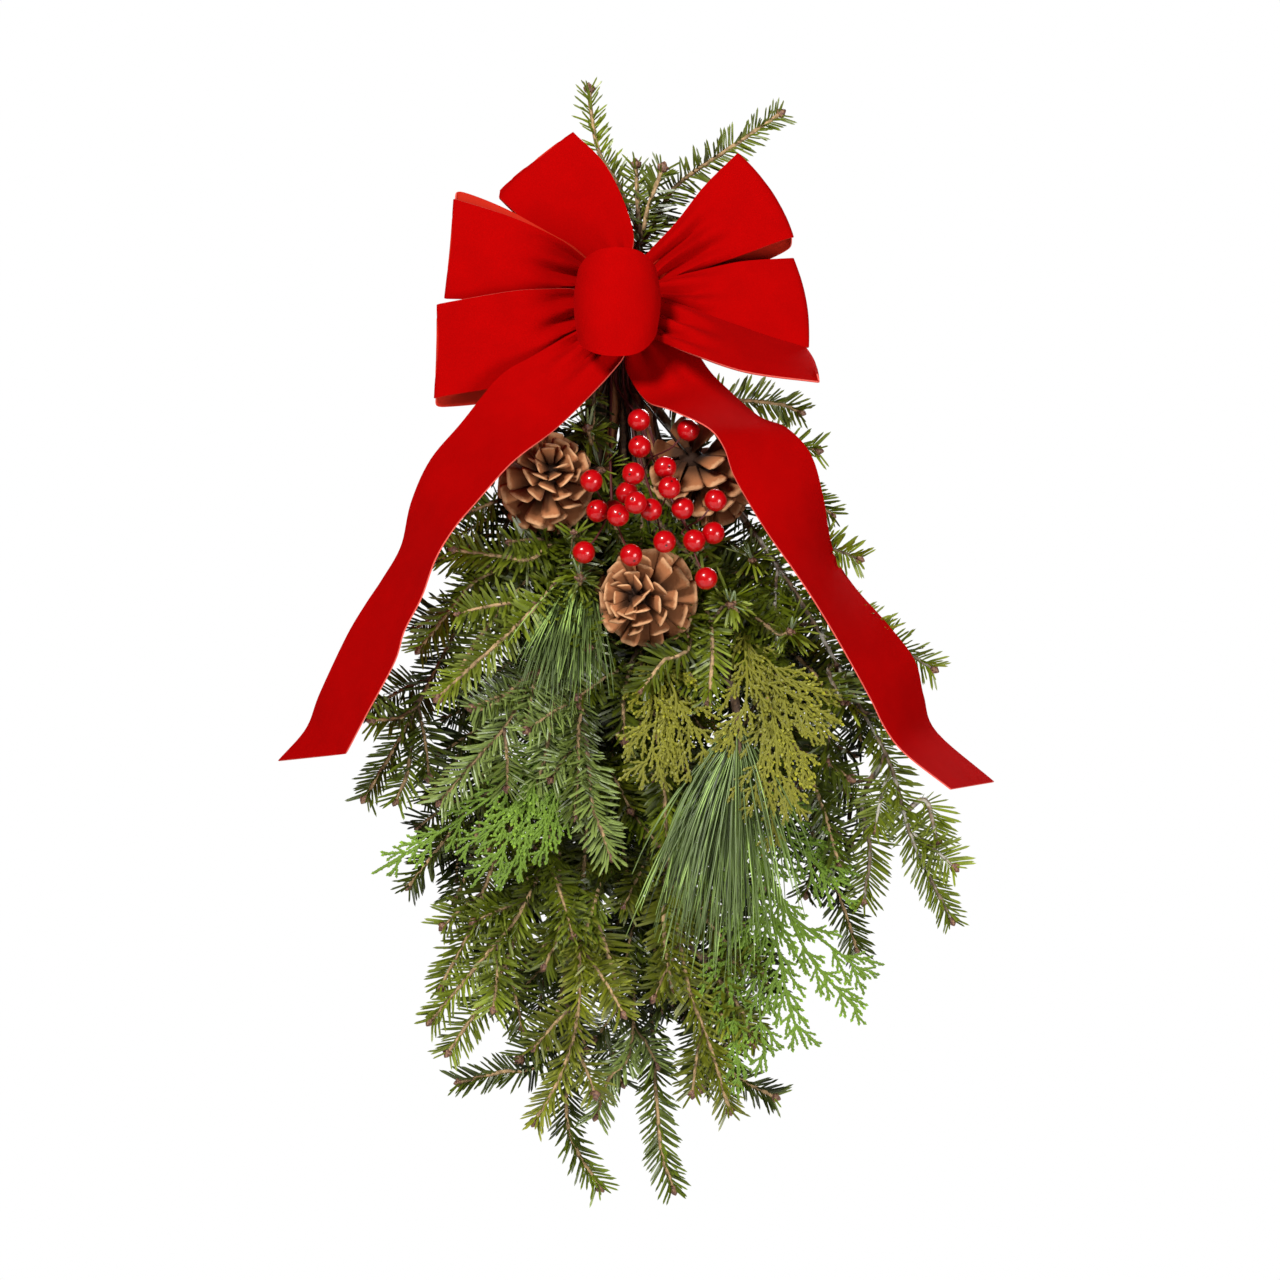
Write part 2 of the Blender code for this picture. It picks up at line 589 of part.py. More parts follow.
# A berry's rings from its wire to its far end: place along and width, in berry radii
BERRY_RINGS = ((-1.0, 0.10), (-0.62, 0.84), (0.40, 0.98), (1.0, 0.22))

# Bow loops: depths of the back and front layer at the pinch, then the two edges of the front layer from
# the knot to the fold, the depth of the fold's two ends, its thickness and how far the back layer shows
# beyond the front one at its upper and lower edge
LOOP_SHARES = (0.10, 0.45, 0.75)
LOOP_SWELL = 1.15
FOLD_SHARE = 0.36
FOLD_REACH = 0.93
FOLD_SHOWS = 0.6
TURNED_BESIDE = (590, 303)
LOOPS = {
    "bow_loop_upper_left": ((50, 53), [(633, 246), (628, 212), (606, 165), (574, 132)],
                            [(590, 283), (562, 255), (532, 228), (500, 198)], (46, 50), 11, (0, 2)),
    "bow_loop_upper_right": ((50, 53), [(650, 250), (676, 222), (704, 186), (737, 153)],
                             [(664, 284), (700, 266), (750, 250), (792, 234)], (46, 51), 12, (-6, 8)),
    "bow_loop_middle_left": ((56, 59), [(590, 262), (560, 240), (512, 218), (456, 200)],
                             [(590, 292), (560, 297), (512, 299), (447, 296)], (68, 64), 12, (6, -9)),
    "bow_loop_middle_right": ((56, 59), [(655, 281), (690, 273), (740, 262), (792, 258)],
                              [(655, 305), (690, 320), (740, 340), (806, 348)], (64, 64), 14, (0, 0)),
    "bow_loop_lower_left": ((62.5, 65.5), [(590, 304), (560, 304), (512, 303), (440, 313)],
                            [(590, 333), (560, 350), (512, 381), (437, 394)], (66, 72), 12, (4, 8)),
    "bow_loop_lower_right": ((71, 74), [(655, 312), (700, 326), (745, 334), (801, 344)],
                             [(655, 340), (690, 356), (745, 375), (815, 385)], (90, 108), 13, (0, 0)),
}

# Tails: pairs of edge places, inner then outer, with the depth of the ribbon's middle line
TAIL_DEPTH = 68
TAIL_REACH_LEFT = 30
TAIL_REACH_RIGHT = 14
TAIL_END_SHOWN = 48
TAIL_LEFT = [((625, 352), (590, 322), 72), ((613, 372), (562, 340), 80), ((584, 404), (532, 358), 92),
             ((554, 433), (500, 378), 101), ((514, 464), (462, 424), 104), ((477, 505), (431, 461), 104),
             ((456, 530), (412, 503), 103), ((438, 560), (402, 546), 101), ((424, 598), (384, 578), 99),
             ((407, 631), (366, 605), 97), ((397, 662), (347, 637), 94), ((370, 712), (320, 694), 88),
             ((352, 746), (306, 729), 83), ((348, 753), (278, 761), 80)]
TAIL_RIGHT = [((626, 345), (660, 318), 68), ((627, 372), (690, 344), 73), ((646, 402), (709, 371), 84),
              ((670, 412), (724, 387), 95), ((707, 430), (758, 417), 103), ((723, 450), (786, 429), 106),
              ((734, 480), (810, 456), 107), ((764, 531), (822, 497), 106), ((794, 574), (832, 550), 104),
              ((820, 614), (852, 585), 102), ((847, 660), (888, 626), 100), ((869, 700), (914, 661), 97),
              ((883, 728), (923, 696), 93), ((903, 753), (936, 732), 89), ((948, 788), (994, 782), 84)]


def bundle_place(layer, slot, height):
    """Middle of one stem in the close-packed bundle."""
    shift = (layer % 2) * BUNDLE_PITCH / 2
    return np.array([BUNDLE_LEFT + slot * BUNDLE_PITCH + shift, -(BUNDLE_BACK + layer * LAYER_PITCH), height])


def stem_path(layer, slot, route, upright):
    """A stem from its cut end, straight through the bundle and along its route, and how far it is straight."""
    if upright:
        cut, leaves = BUNDLE_FOOT, UPRIGHT_LEAVES
    else:
        cut, leaves = BUNDLE_TOP - CUT_STEP * ((3 * slot + layer) % 4), BUNDLE_FOOT
    cut_end = bundle_place(layer, slot, cut)
    leaving = bundle_place(layer, slot, leaves)
    onward = leaving + np.array([0.0, 0.0, math.copysign(STEM_LEAVES_OVER, leaves - cut)])
    onward = onward + (at(*route[0]) - leaving) * STEM_LEANS
    free = smooth([leaving, onward] + [at(*place) for place in route], 400)
    line = np.vstack([cut_end, free])
    return evenly(line, PATH_POINTS), abs(leaves - cut)


def evenly(line, count):
    lengths = np.concatenate([[0], np.cumsum(np.linalg.norm(np.diff(line, axis=0), axis=1))])
    wanted = np.linspace(0, lengths[-1], count)
    return np.stack([np.interp(wanted, lengths, line[:, k]) for k in range(3)], axis=1)


def side_shoots(path, sides):
    """A bough's side shoots: the point of the stem that each leaves, and its path."""
    shoots = []
    for share, places in sides:
        leaves = int(round(share * (len(path) - 1)))
        shoots.append((leaves, smooth([path[leaves]] + [at(*place) for place in places], SHOOT_POINTS)))
    return shoots


class Stem:
    """One cutting: its main path, its side shoots, and which of its points the bundle holds."""

    def __init__(self, name, layer, slot, kind, route, needles_from, sides, upright):
        self.name = name
        self.kind = kind
        self.needles_from = needles_from
        self.path, self.held = stem_path(layer, slot, route, upright)
        self.sides = side_shoots(self.path, sides)
        far = np.linspace(0, path_length(self.path), len(self.path))
        self.free = np.clip((far - self.held - GAP) / FREED_OVER, 0, 1)
        core = kind.core if kind else PINE_CORE
        self.radii = wood_radii(far, self.held, needles_from * far[-1], core)

    def lines(self):
        """Its lines with the radii that keep them apart, which are smaller for a three-sided stem."""
        slimmer = 1.0 if self.kind is None else math.sqrt(3) / 2
        return ([(self.path, self.radii * slimmer)]
                + [(path, np.full(len(path), SHOOT_RADIUS)) for _, path in self.sides])

    def move(self, shifts):
        """Shift the stem's points; each side shoot follows the point that it leaves from."""
        main = shifts[0] * self.free[:, None]
        self.path = self.path + main
        moved = []
        for (leaves, path), own in zip(self.sides, shifts[1:]):
            share = np.linspace(0, 1, len(path))[:, None]
            path = path + main[leaves] * (1 - share) ** 2 + own * np.minimum(1, share * 5)
            path[0] = self.path[leaves]
            moved.append((leaves, path))
        self.sides = moved


def spread(pushes, reach):
    """Let the points beside a pushed point follow it, less and less with distance."""
    pushed = (np.abs(pushes).sum(1) > 0).astype(float)
    if not pushed.any():
        return pushes
    offsets = np.arange(-2 * reach, 2 * reach + 1)
    weights = np.exp(-(offsets / reach) ** 2)
    total = np.stack([np.convolve(pushes[:, k], weights)[2 * reach:-2 * reach] for k in range(3)], axis=1)
    share = np.convolve(pushed, weights)[2 * reach:-2 * reach]
    return total / np.maximum(share, 1.0)[:, None]


def near_pairs(middles, others, reach):
    """Rows of two lists of places that lie within reach of each other."""
    squares = ((middles ** 2).sum(1)[:, None] + (others ** 2).sum(1)[None, :] - 2 * middles @ others.T)
    return np.nonzero(squares < reach ** 2)


def settle(stems, obstacles, rounds):
    """Bend stems and side shoots clear of each other and of everything that is already placed."""
    lines = [(k, line) for k, stem in enumerate(stems) for line in stem.lines()]
    sizes = [len(path) for _, (path, _) in lines]
    firsts = np.concatenate([[0], np.cumsum(sizes)])
    owners = np.repeat([k for k, _ in lines], sizes)
    widths = np.concatenate([width for _, (_, width) in lines])
    begins = np.concatenate([np.arange(a, b - 1) for a, b in zip(firsts[:-1], firsts[1:])])
    held = np.concatenate([part for stem in stems for part in
                           [stem.free] + [np.minimum(1, np.linspace(0, 5, len(path)))
                                          for _, path in stem.sides]])
    wanted = GAP + (SETTLE_GAP - GAP) * held
    bar_starts, bar_ends, bar_radii = obstacles
    bar_middles = (bar_starts + bar_ends) / 2
    for turn in range(rounds):
        points = np.vstack([path for stem in stems for path, _ in stem.lines()])
        if turn % 10 == 0:
            middles = (points[begins] + points[begins + 1]) / 2
            first, second = near_pairs(middles, middles, SETTLE_SLACK + 2 * STEM_RADIUS)
            different = (owners[begins[first]] != owners[begins[second]]) & (first < second)
            first, second = begins[first[different]], begins[second[different]]
            lone, bar = near_pairs(middles, bar_middles, SETTLE_SLACK + STEM_RADIUS + bar_radii[None, :])
            lone = begins[lone]
        pushes = np.zeros_like(points)
        counts = np.zeros(len(points))
        worst = 0.0
        for rows, other, starts, ends, radii, both in (
                (first, second, points[second], points[second + 1], widths[second], True),
                (lone, None, bar_starts[bar], bar_ends[bar], bar_radii[bar], False)):
            near, far = closest_points(points[rows], points[rows + 1], starts, ends)
            apart = near - far
            distance = np.maximum(np.linalg.norm(apart, axis=1), 1e-9)
            lack = widths[rows] + radii + wanted[rows] - distance
            touching = lack > 0
            push = apart[touching] / distance[touching][:, None] * lack[touching][:, None]
            if both:
                push = push * 0.5
            for chosen, sign in ((rows, 1.0), (other, -1.0)):
                if chosen is None:
                    continue
                for end in (0, 1):
                    np.add.at(pushes, chosen[touching] + end, push * sign)
                    np.add.at(counts, chosen[touching] + end, 1.0)
            worst = max(worst, float((lack * held[rows]).max(initial=0.0)))
        if worst < SETTLE_ENOUGH:
            break
        pushes = pushes / np.maximum(counts, 1.0)[:, None] * 1.1
        place = 0
        for stem in stems:
            shifts = []
            for path, _ in stem.lines():
                shifts.append(spread(pushes[place:place + len(path)], 3 if len(path) == PATH_POINTS else 1))
                place += len(path)
            stem.move(shifts)


# Ribbon

def smooth_like(points, count):
    """Catmull-Rom curve sampled evenly between stations, so that two edges stay paired."""
    knots = np.array(points, dtype=float)
    padded = np.vstack([2 * knots[0] - knots[1], knots, 2 * knots[-1] - knots[-2]])
    out = []
    for place in np.linspace(0, len(knots) - 1, count):
        i = min(int(place), len(knots) - 2)
        t = place - i
        p0, p1, p2, p3 = padded[i:i + 4]
        out.append(0.5 * (2 * p1 + (p2 - p0) * t + (2 * p0 - 5 * p1 + 4 * p2 - p3) * t ** 2
                          + (3 * p1 - p0 - 3 * p2 + p3) * t ** 3))
    return np.array(out)


def pinch_place(side):
    """Where the middle of a ribbon is held, on the front view."""
    return HANGER_PLACE[0] + side * PINCH_SIDE / STEP, HANGER_PLACE[1] - PINCH_HEIGHT / STEP


def loop_edges(spec, side):
    """Edge points of a loop from the pinch, out along the back layer, round the fold and back in front."""
    (back_depth, front_depth), upper, lower, fold_depths, thickness, opening = spec
    turned = upper[0][0] > HANGER_PLACE[0] and side < 0
    pinch_x, pinch_y = pinch_place(side)
    edges = []
    for edge, sign, fold_depth in zip((upper, lower), (-1, 1), fold_depths):
        root = (pinch_x, pinch_y + sign * PINCH_HALF / STEP)
        beside = TURNED_BESIDE if turned and sign > 0 else (root[0] + side * 4, root[1] + sign * 3)
        back = [at(*root, back_depth), at(*beside, back_depth)]
        front = [at(*root, front_depth), at(*beside, front_depth)]
        for (x, y), share in zip(edge[:-1], LOOP_SHARES):
            opened = math.sin(share * math.pi / 2)
            middle = (back_depth + front_depth) / 2 * (1 - opened) + fold_depth * opened
            half = (front_depth - back_depth) / 2 * (1 - opened) + thickness / 2 * opened
            half *= LOOP_SWELL if share > LOOP_SHARES[0] else 1.0
            front.append(at(x, y, middle + half))
            back.append(at(x + opening[0] * share, y + opening[1] * share, middle - half))
        tip_x, tip_y = edge[-1]
        ahead = fold_depth + thickness * FOLD_SHARE
        behind = fold_depth - thickness * FOLD_SHARE
        near = at(tip_x, tip_y, ahead) * FOLD_REACH + at(*edge[-2], ahead) * (1 - FOLD_REACH)
        far = at(tip_x + opening[0] * FOLD_SHOWS, tip_y + opening[1] * FOLD_SHOWS, behind) * FOLD_REACH
        far = far + at(*edge[-2], behind) * (1 - FOLD_REACH)
        edges.append(back + [far, at(tip_x, tip_y, fold_depth), near] + front[::-1])
    return edges


def tail_edges(pairs, side):
    """Edges of a tail: where the view shows it narrower than it is, its outer edge lies deeper."""
    pinch_x, pinch_y = pinch_place(side)
    half = PINCH_HALF / STEP
    reach = TAIL_REACH_LEFT if side < 0 else TAIL_REACH_RIGHT
    inner = [at(pinch_x, pinch_y + half, TAIL_DEPTH), at(pinch_x + side * 4, pinch_y + half + 4, TAIL_DEPTH)]
    outer = [at(pinch_x, pinch_y - half, TAIL_DEPTH),
             at(pinch_x + side * reach, pinch_y - half + 16, TAIL_DEPTH)]
    for k, (near, far, depth) in enumerate(pairs):
        shown = math.hypot(near[0] - far[0], near[1] - far[1])
        if k == len(pairs) - 1:
            shown = TAIL_END_SHOWN
        tilt = 0.5 * math.sqrt(max(0.0, 100 ** 2 - shown ** 2)) * STEP * 1000
        tilt *= min(1.0, max(0.0, (k - 0.5) / 3))
        inner.append(at(*near, depth + tilt))
        outer.append(at(*far, depth - tilt))
    return inner, outer


KNOT_MIDDLE = (617.5, 302.0)
KNOT_HALF_WIDTH = 42.5
KNOT_BACK = 77.85
KNOT_HALF_DEPTH = 17
KNOT_FRONT_HALF = 52
KNOT_BACK_HALF = 21
KNOT_OPENS = 1.9
KNOT_LIFT = 3
KNOT_RULINGS = 17
TAIL_RULINGS = 22
RIBBON_STRIPS = 2


def knot_edges():
    """The centre loop: pinched at the back and as tall as the ribbon is wide in front."""
    upper, lower = [], []
    for angle in np.radians(np.linspace(-177, 177, 13)):
        nearness = (1 + math.cos(angle)) / 2
        x = KNOT_MIDDLE[0] + KNOT_HALF_WIDTH * math.sin(angle)
        depth = KNOT_BACK + KNOT_HALF_DEPTH * (1 + math.cos(angle))
        half = KNOT_BACK_HALF + (KNOT_FRONT_HALF - KNOT_BACK_HALF) * min(1.0, KNOT_OPENS * nearness)
        lift = KNOT_LIFT * (1 - nearness)
        upper.append(at(x, KNOT_MIDDLE[1] - half + lift, depth))
        lower.append(at(x, KNOT_MIDDLE[1] + half + lift, depth))
    return upper, lower


def sheet_normals(grid):
    normals = np.cross(np.gradient(grid, axis=0), np.gradient(grid, axis=1))
    return normals / np.linalg.norm(normals, axis=2)[:, :, None]


def ribbon_mesh(edge_a, edge_b, count, across):
    """A closed strip of ribbon; near a pinch its width is gathered into a shallow trough."""
    line_a = smooth_like(edge_a, count)
    line_b = smooth_like(edge_b, count)
    columns = np.linspace(0, 1, across + 1)
    grid = line_a[:, None, :] * (1 - columns)[None, :, None] + line_b[:, None, :] * columns[None, :, None]
    normals = sheet_normals(grid)
    shown = np.linalg.norm(line_a - line_b, axis=1)
    bulge = PINCH_BULGE * np.clip((RIBBON_WIDTH - shown) / RIBBON_WIDTH, 0, 1)
    ahead = np.where(normals[:, :, 1:2] < 0, 1.0, -1.0)
    grid = grid + normals * ahead * (bulge[:, None] * (4 * columns * (1 - columns))[None, :])[:, :, None]
    normals = sheet_normals(grid)
    top = (grid + normals * RIBBON_THICKNESS / 2).reshape(-1, 3)
    bottom = (grid - normals * RIBBON_THICKNESS / 2).reshape(-1, 3)
    points = np.vstack([top, bottom])
    size = len(top)
    wide = across + 1
    faces = []
    for k in range(count - 1):
        for j in range(across):
            a = k * wide + j
            b, c, d = a + 1, a + wide + 1, a + wide
            faces.extend([(a, d, c), (a, c, b)])
            faces.extend([(size + a, size + c, size + d), (size + a, size + b, size + c)])
        for edge in (0, across):
            a = k * wide + edge
            d = a + wide
            wall = [(a, size + a, size + d), (a, size + d, d)]
            faces.extend(wall if edge == 0 else [tuple(reversed(f)) for f in wall])
    for row in (0, count - 1):
        for j in range(across):
            a = row * wide + j
            wall = [(a, a + 1, size + a + 1), (a, size + a + 1, size + a)]
            faces.extend(wall if row == 0 else [tuple(reversed(f)) for f in wall])
    return points, faces


# Cones

CONE_RINGS = 7
CONE_SIDES = 8
CONE_CORE = 0.0085
CONE_FOOT = -0.42
CONE_HEAD = 0.44
SCALE_HALF_WIDTH = 0.0062
TOP_SCALE_HALF_WIDTH = 0.0045
SCALE_HALF_THICKNESS = 0.0013
SCALE_TIP_SHARE = 0.8


def across_axis(axis):
    """Two directions at right angles to an axis and to each other."""
    helper = np.array([0.0, 0.0, 1.0]) if abs(axis[2]) < 0.9 else np.array([1.0, 0.0, 0.0])
    u = unit(np.cross(helper, axis))
    return u, np.cross(axis, u)


def scale_reach(share):
    """How far a cone's scales stand out and how steeply they rise, from its foot to its head."""
    full = 0.78 + 0.25 * math.sin(math.pi * min(1, 0.15 + 0.85 * share))
    return CONE_RADIUS * full * (1 - 0.40 * share ** 3), 0.10 + 0.75 * share ** 1.5


def scale_end(foot, core, axis, out, share):
    """Four corners of the outer end of one scale."""
    reach, rise = scale_reach(share)
    side = np.cross(axis, out)
    aim = unit(out * math.cos(rise) + axis * math.sin(rise))
    thick = unit(np.cross(aim, side))
    if thick @ axis < 0:
        thick = -thick
    tip = foot + aim * (reach - core)
    half = side * (SCALE_HALF_WIDTH if share < 0.8 else TOP_SCALE_HALF_WIDTH)
    lift = thick * SCALE_HALF_THICKNESS
    return [tip - half - lift, tip + half - lift, tip + half * SCALE_TIP_SHARE + lift,
            tip - half * SCALE_TIP_SHARE + lift]


def cone_mesh(middle, axis):
    """An open pine cone: a tapering core whose faces are drawn out into scales, ring by ring."""
    u, v = across_axis(axis)
    heights = np.linspace(CONE_FOOT, CONE_HEAD, CONE_RINGS + 1) * CONE_LENGTH
    core = CONE_CORE * np.sqrt(np.clip(1.05 - np.linspace(-0.75, 1.0, CONE_RINGS + 1) ** 2, 0.06, 1))
    points, faces = [], []
    for k in range(CONE_RINGS + 1):
        for j in range(CONE_SIDES):
            angle = 2 * math.pi * (j + 0.5 * k) / CONE_SIDES
            points.append(middle + axis * heights[k] + core[k] * (math.cos(angle) * u + math.sin(angle) * v))
    for k in range(CONE_RINGS):
        for j in range(CONE_SIDES):
            i = (j + 1) % CONE_SIDES
            base = (k * CONE_SIDES + j, k * CONE_SIDES + i,
                    (k + 1) * CONE_SIDES + i, (k + 1) * CONE_SIDES + j)
            angle = 2 * math.pi * (j + 0.75 + 0.5 * k) / CONE_SIDES
            foot = sum(points[corner] for corner in base) / 4
            out = math.cos(angle) * u + math.sin(angle) * v
            first = len(points)
            points.extend(scale_end(foot, core[k], axis, out, k / (CONE_RINGS - 1)))
            for m in range(4):
                n = (m + 1) % 4
                faces.append((base[m], base[n], first + n, first + m))
            faces.append((first, first + 1, first + 2, first + 3))
    faces.append(tuple(reversed(range(CONE_SIDES))))
    last = CONE_RINGS * CONE_SIDES
    faces.append(tuple(range(last, last + CONE_SIDES)))
    return points, faces


# Berries

def berry_parts(hub, places, trunk):
    """Wire trunk of a pick and its wires, each of which swells into a round berry at its end."""
    parts = [tube(trunk, TRUNK_WIRE, 4)]
    for place in places:
        middle = at(*place)
        bend = (hub + middle) / 2 + PICK_BOW
        way = unit(middle - bend)
        path = [hub, bend] + [middle + way * BERRY_RADIUS * along for along, _ in BERRY_RINGS]
        radii = [PICK_WIRE] * 2 + [BERRY_RADIUS * wide for _, wide in BERRY_RINGS]
        parts.append(tube(np.array(path), np.array(radii), PICK_SIDES))
    return parts


# Pine: how many whorls of needles each shoot has, how long they are and how widely they spread
PINES = {"pine_left": (3, 0.075, 0.55), "pine_right": (6, 0.118, 0.42)}
PINE_SIDES = 6
PINE_CORE = 0.0027
PINE_WHORL = 0.0054
PINE_BASE = 0.0030
PINE_NEEDLE = 0.0011
PINE_TIP = 0.0007
PINE_ELBOW = 0.45
PINE_ELBOW_WIDTH = 0.45
PINE_CLEAR_FROM = 0.12


def pine_needle(name, root, normal, way, share, reach, sweep, space):
    """Elbow and tip of a long drooping needle, or nothing if every way for it is blocked."""
    for attempt in range(6):
        lean = sweep * (1.15 - 0.75 * share) * rng.uniform(0.55, 1.1) * (1 - 0.12 * attempt)
        aim = unit(way + normal * lean + np.array([0.0, 0.0, -0.45]))
        length = reach * rng.uniform(0.80, 1.04)
        elbow = root + aim * length * PINE_ELBOW
        tip = elbow + unit(aim + np.array([0.0, 0.05, -0.30])) * length * (1 - PINE_ELBOW)
        if (space.is_clear(name, root, elbow, PINE_NEEDLE, PINE_CLEAR_FROM)
                and space.is_clear(name, elbow, tip, PINE_TIP, 0.0)):
            space.add(name, root, elbow, PINE_NEEDLE, outer_share=PINE_CLEAR_FROM)
            space.add(name, elbow, tip, PINE_TIP)
            return elbow, tip
    return None


def pine_mesh(stem, whorls, reach, sweep, space):
    """A pine shoot: long needles raised from the faces of its core, drooping all one way."""
    far = np.linspace(0, path_length(stem.path), len(stem.path))
    head = far[-1] - whorls * PINE_WHORL
    bare = [far[k] for k in sparse(stem.path) if far[k] < head - SEPARATE]
    starts = [head + k * PINE_WHORL for k in range(whorls)]
    stations = bare + [place for start in starts for place in (start, start + PINE_BASE)]
    line, radii = [np.stack([np.interp(stations, far, part[:, k]) for k in range(part.shape[1])], 1)
                   for part in (stem.path, stem.radii[:, None])]
    points, faces = tube(line, radii[:, 0], PINE_SIDES)
    way = unit(line[-1] - line[-3])
    last_side = PINE_SIDES * (len(line) - 1)
    out_faces = []
    for f, face in enumerate(faces):
        ring = f // PINE_SIDES - len(bare)
        if f >= last_side or ring < 0 or ring % 2:
            out_faces.append(face)
            continue
        share = ring / (2 * whorls)
        for half in ((face[0], face[1], face[2]), (face[0], face[2], face[3])):
            base = [points[v] for v in half]
            root = sum(base) / 3
            normal = unit(np.cross(base[1] - base[0], base[2] - base[0]))
            found = pine_needle(stem.name, root, normal, way, share, reach, sweep, space)
            if found is None:
                out_faces.append(half)
                continue
            elbow, tip = found
            size = len(points)
            points.extend([elbow + (corner - root) * PINE_ELBOW_WIDTH for corner in base] + [tip])
            for m in range(3):
                n = (m + 1) % 3
                out_faces.append((half[m], half[n], size + n, size + m))
                out_faces.append((size + m, size + n, size + 3))
    return points, out_faces


def build():
    for obj in list(bpy.data.objects):
        bpy.data.objects.remove(obj)
    space = Space()
    build_ribbons(space)
    build_cones(space)
    build_wires(space)
    build_berries(space)
    build_cuttings(space)


def build_ribbons(space):
    velvet = material("red velvet", (0.45, 0.0, 0.0), 0.9)
    ribbons = {}
    for name, spec in LOOPS.items():
        side = -1 if name.endswith("left") else 1
        edges = loop_edges(spec, side)
        ribbons[name] = (*edges, len(edges[0]))
    ribbons["bow_tail_left"] = (*tail_edges(TAIL_LEFT, -1), TAIL_RULINGS)
    ribbons["bow_tail_right"] = (*tail_edges(TAIL_RIGHT, 1), TAIL_RULINGS)
    ribbons["bow_centre_loop"] = (*knot_edges(), KNOT_RULINGS)
    for name, (edge_a, edge_b, count) in ribbons.items():
        mesh_object(name, *ribbon_mesh(edge_a, edge_b, count, RIBBON_STRIPS), velvet)
        space.add(name, smooth_like(edge_a, RULINGS), smooth_like(edge_b, RULINGS), RIBBON_CLEARANCE)


def build_cones(space):
    brown = material("cone scales", (0.22, 0.10, 0.04), 0.75)
    for name, (place, depth, axis) in CONES.items():
        middle = at(*place, depth)
        axis = unit(np.array(axis))
        mesh_object(name, *cone_mesh(middle, axis), brown)
        space.add(name, middle - axis * 0.003, middle + axis * 0.003, CONE_CLEARANCE)


def build_cuttings(space):
    """Every stem is settled first; then each is given its needles, the front layer first."""
    stems = []
    for table, upright in ((UPRIGHTS, True), (BOUGHS, False)):
        for name, values in table.items():
            stems.append(Stem(name, *values, upright))
    settle(stems, space.short_bars(), SETTLE_ROUNDS)
    for stem in stems:
        space.add_path(stem.name, stem.path, stem.radii)
        for _, shoot in stem.sides:
            space.add_path(stem.name, shoot, SHOOT_RADIUS)
    for stem in reversed(stems):
        if stem.kind is None:
            add_pine(stem, space)
        else:
            add_bough(stem, space)


def add_pine(stem, space):
    green = material(stem.name, (0.12, 0.22, 0.09), 0.55)
    mesh_object(stem.name, *pine_mesh(stem, *PINES[stem.name], space), green)


def add_bough(stem, space):
    green = material(stem.name, stem.kind.colour, stem.kind.roughness)
    bare = path_length(stem.path) * stem.needles_from
    *main, line = shoot_mesh(stem.name, stem.path, stem.kind, space, bare, stem.held)
    parts = [main]
    for _, shoot in stem.sides:
        start = nearest_on(line, shoot[0])
        shoot = np.vstack([start - unit(shoot[1] - start) * SHOOT_SUNK, shoot[1:]])
        parts.append(shoot_mesh(stem.name, shoot, stem.kind, space, path_length(shoot) * SIDE_BARE)[:2])
    fuse(stem.name, parts, green)


def bundle_outline(margin):
    """Points round everything that the binding holds, at a distance that leaves room for its wire."""
    held = [(bundle_place(layer, slot, 0.0)[:2], WOOD_RADIUS)
            for layer, width in enumerate(LAYER_WIDTHS) for slot in range(width)]
    held += [(np.array([x, -FRONT_OF_BUNDLE - GAP - radius]), radius) for x, radius in TRUNK_PLACES.values()]
    chosen = []
    for degrees in range(0, 360, 2):
        angle = math.radians(degrees)
        aim = np.array([math.sin(angle), math.cos(angle)])
        which = max(range(len(held)), key=lambda k: held[k][0] @ aim + held[k][1])
        chosen.append((which, degrees, held[which][0] + aim * (held[which][1] + margin)))
    outline = []
    for before, here, after in zip([chosen[-1]] + chosen, chosen, chosen[1:] + [chosen[0]]):
        if here[0] != before[0] or here[0] != after[0] or here[1] % BINDING_TURN_STEP == 0:
            outline.append(here[2])
    return outline


def led_out(name, places):
    """A wire that runs down under the binding and then on through the given places."""
    x, radius = TRUNK_PLACES[name]
    lies = -FRONT_OF_BUNDLE - GAP - radius
    leaving = np.array([x, lies, BUNDLE_FOOT])
    onward = leaving + np.array([0.0, 0.0, -0.008]) + (places[0] - leaving) * 0.10
    head = np.array([[x, lies, BINDING_HEIGHT + 0.008]])
    line = np.vstack([head, smooth([leaving, onward] + places, 60)])
    return line[sparse(line)]


def build_wires(space):
    wire = material("dark wire", (0.03, 0.03, 0.03), 0.4, 0.8)
    outline = bundle_outline(GAP + BINDING_WIRE)
    add_binding(outline, space, wire)
    add_hanger(max(y for _, y in outline), space, wire)
    add_bow_wire(min(y for _, y in outline), space, wire)
    add_cone_wires(space, wire)


def add_wire(name, places, radius, sides, hint, space, finish):
    line = np.array(places)
    mesh_object(name, *tube(line, radius, sides, hint), finish)
    space.add_path(name, line, radius)


def add_binding(outline, space, finish):
    """The wire that ties the bundle, in two rising turns."""
    total = BINDING_TURNS * len(outline) + 1
    turns = []
    for k in range(total):
        height = BINDING_HEIGHT + (k / (total - 1) - 0.5) * BINDING_TURNS * BINDING_RISE
        turns.append((*outline[k % len(outline)], height))
    add_wire("binding_wire", turns, BINDING_WIRE, 4, np.array([0.0, 0.0, 1.0]), space, finish)


# The hanger's ring, in degrees from straight up, and where its shank turns below it
HANGER_RING_FROM = -168
HANGER_RING_TURN = 330
HANGER_NECK = ((0.0042, 0.0, -0.0212), (0.0026, -0.0012, -0.0240))
HANGER_SHANK = ((0.0008, 0.0005, -0.0290), (0.0004, 0.0, -0.0340), (0.0003, 0.0, -0.0420))
NAIL_ROOM_HALF = 0.006
NAIL_ROOM_RADIUS = 0.009
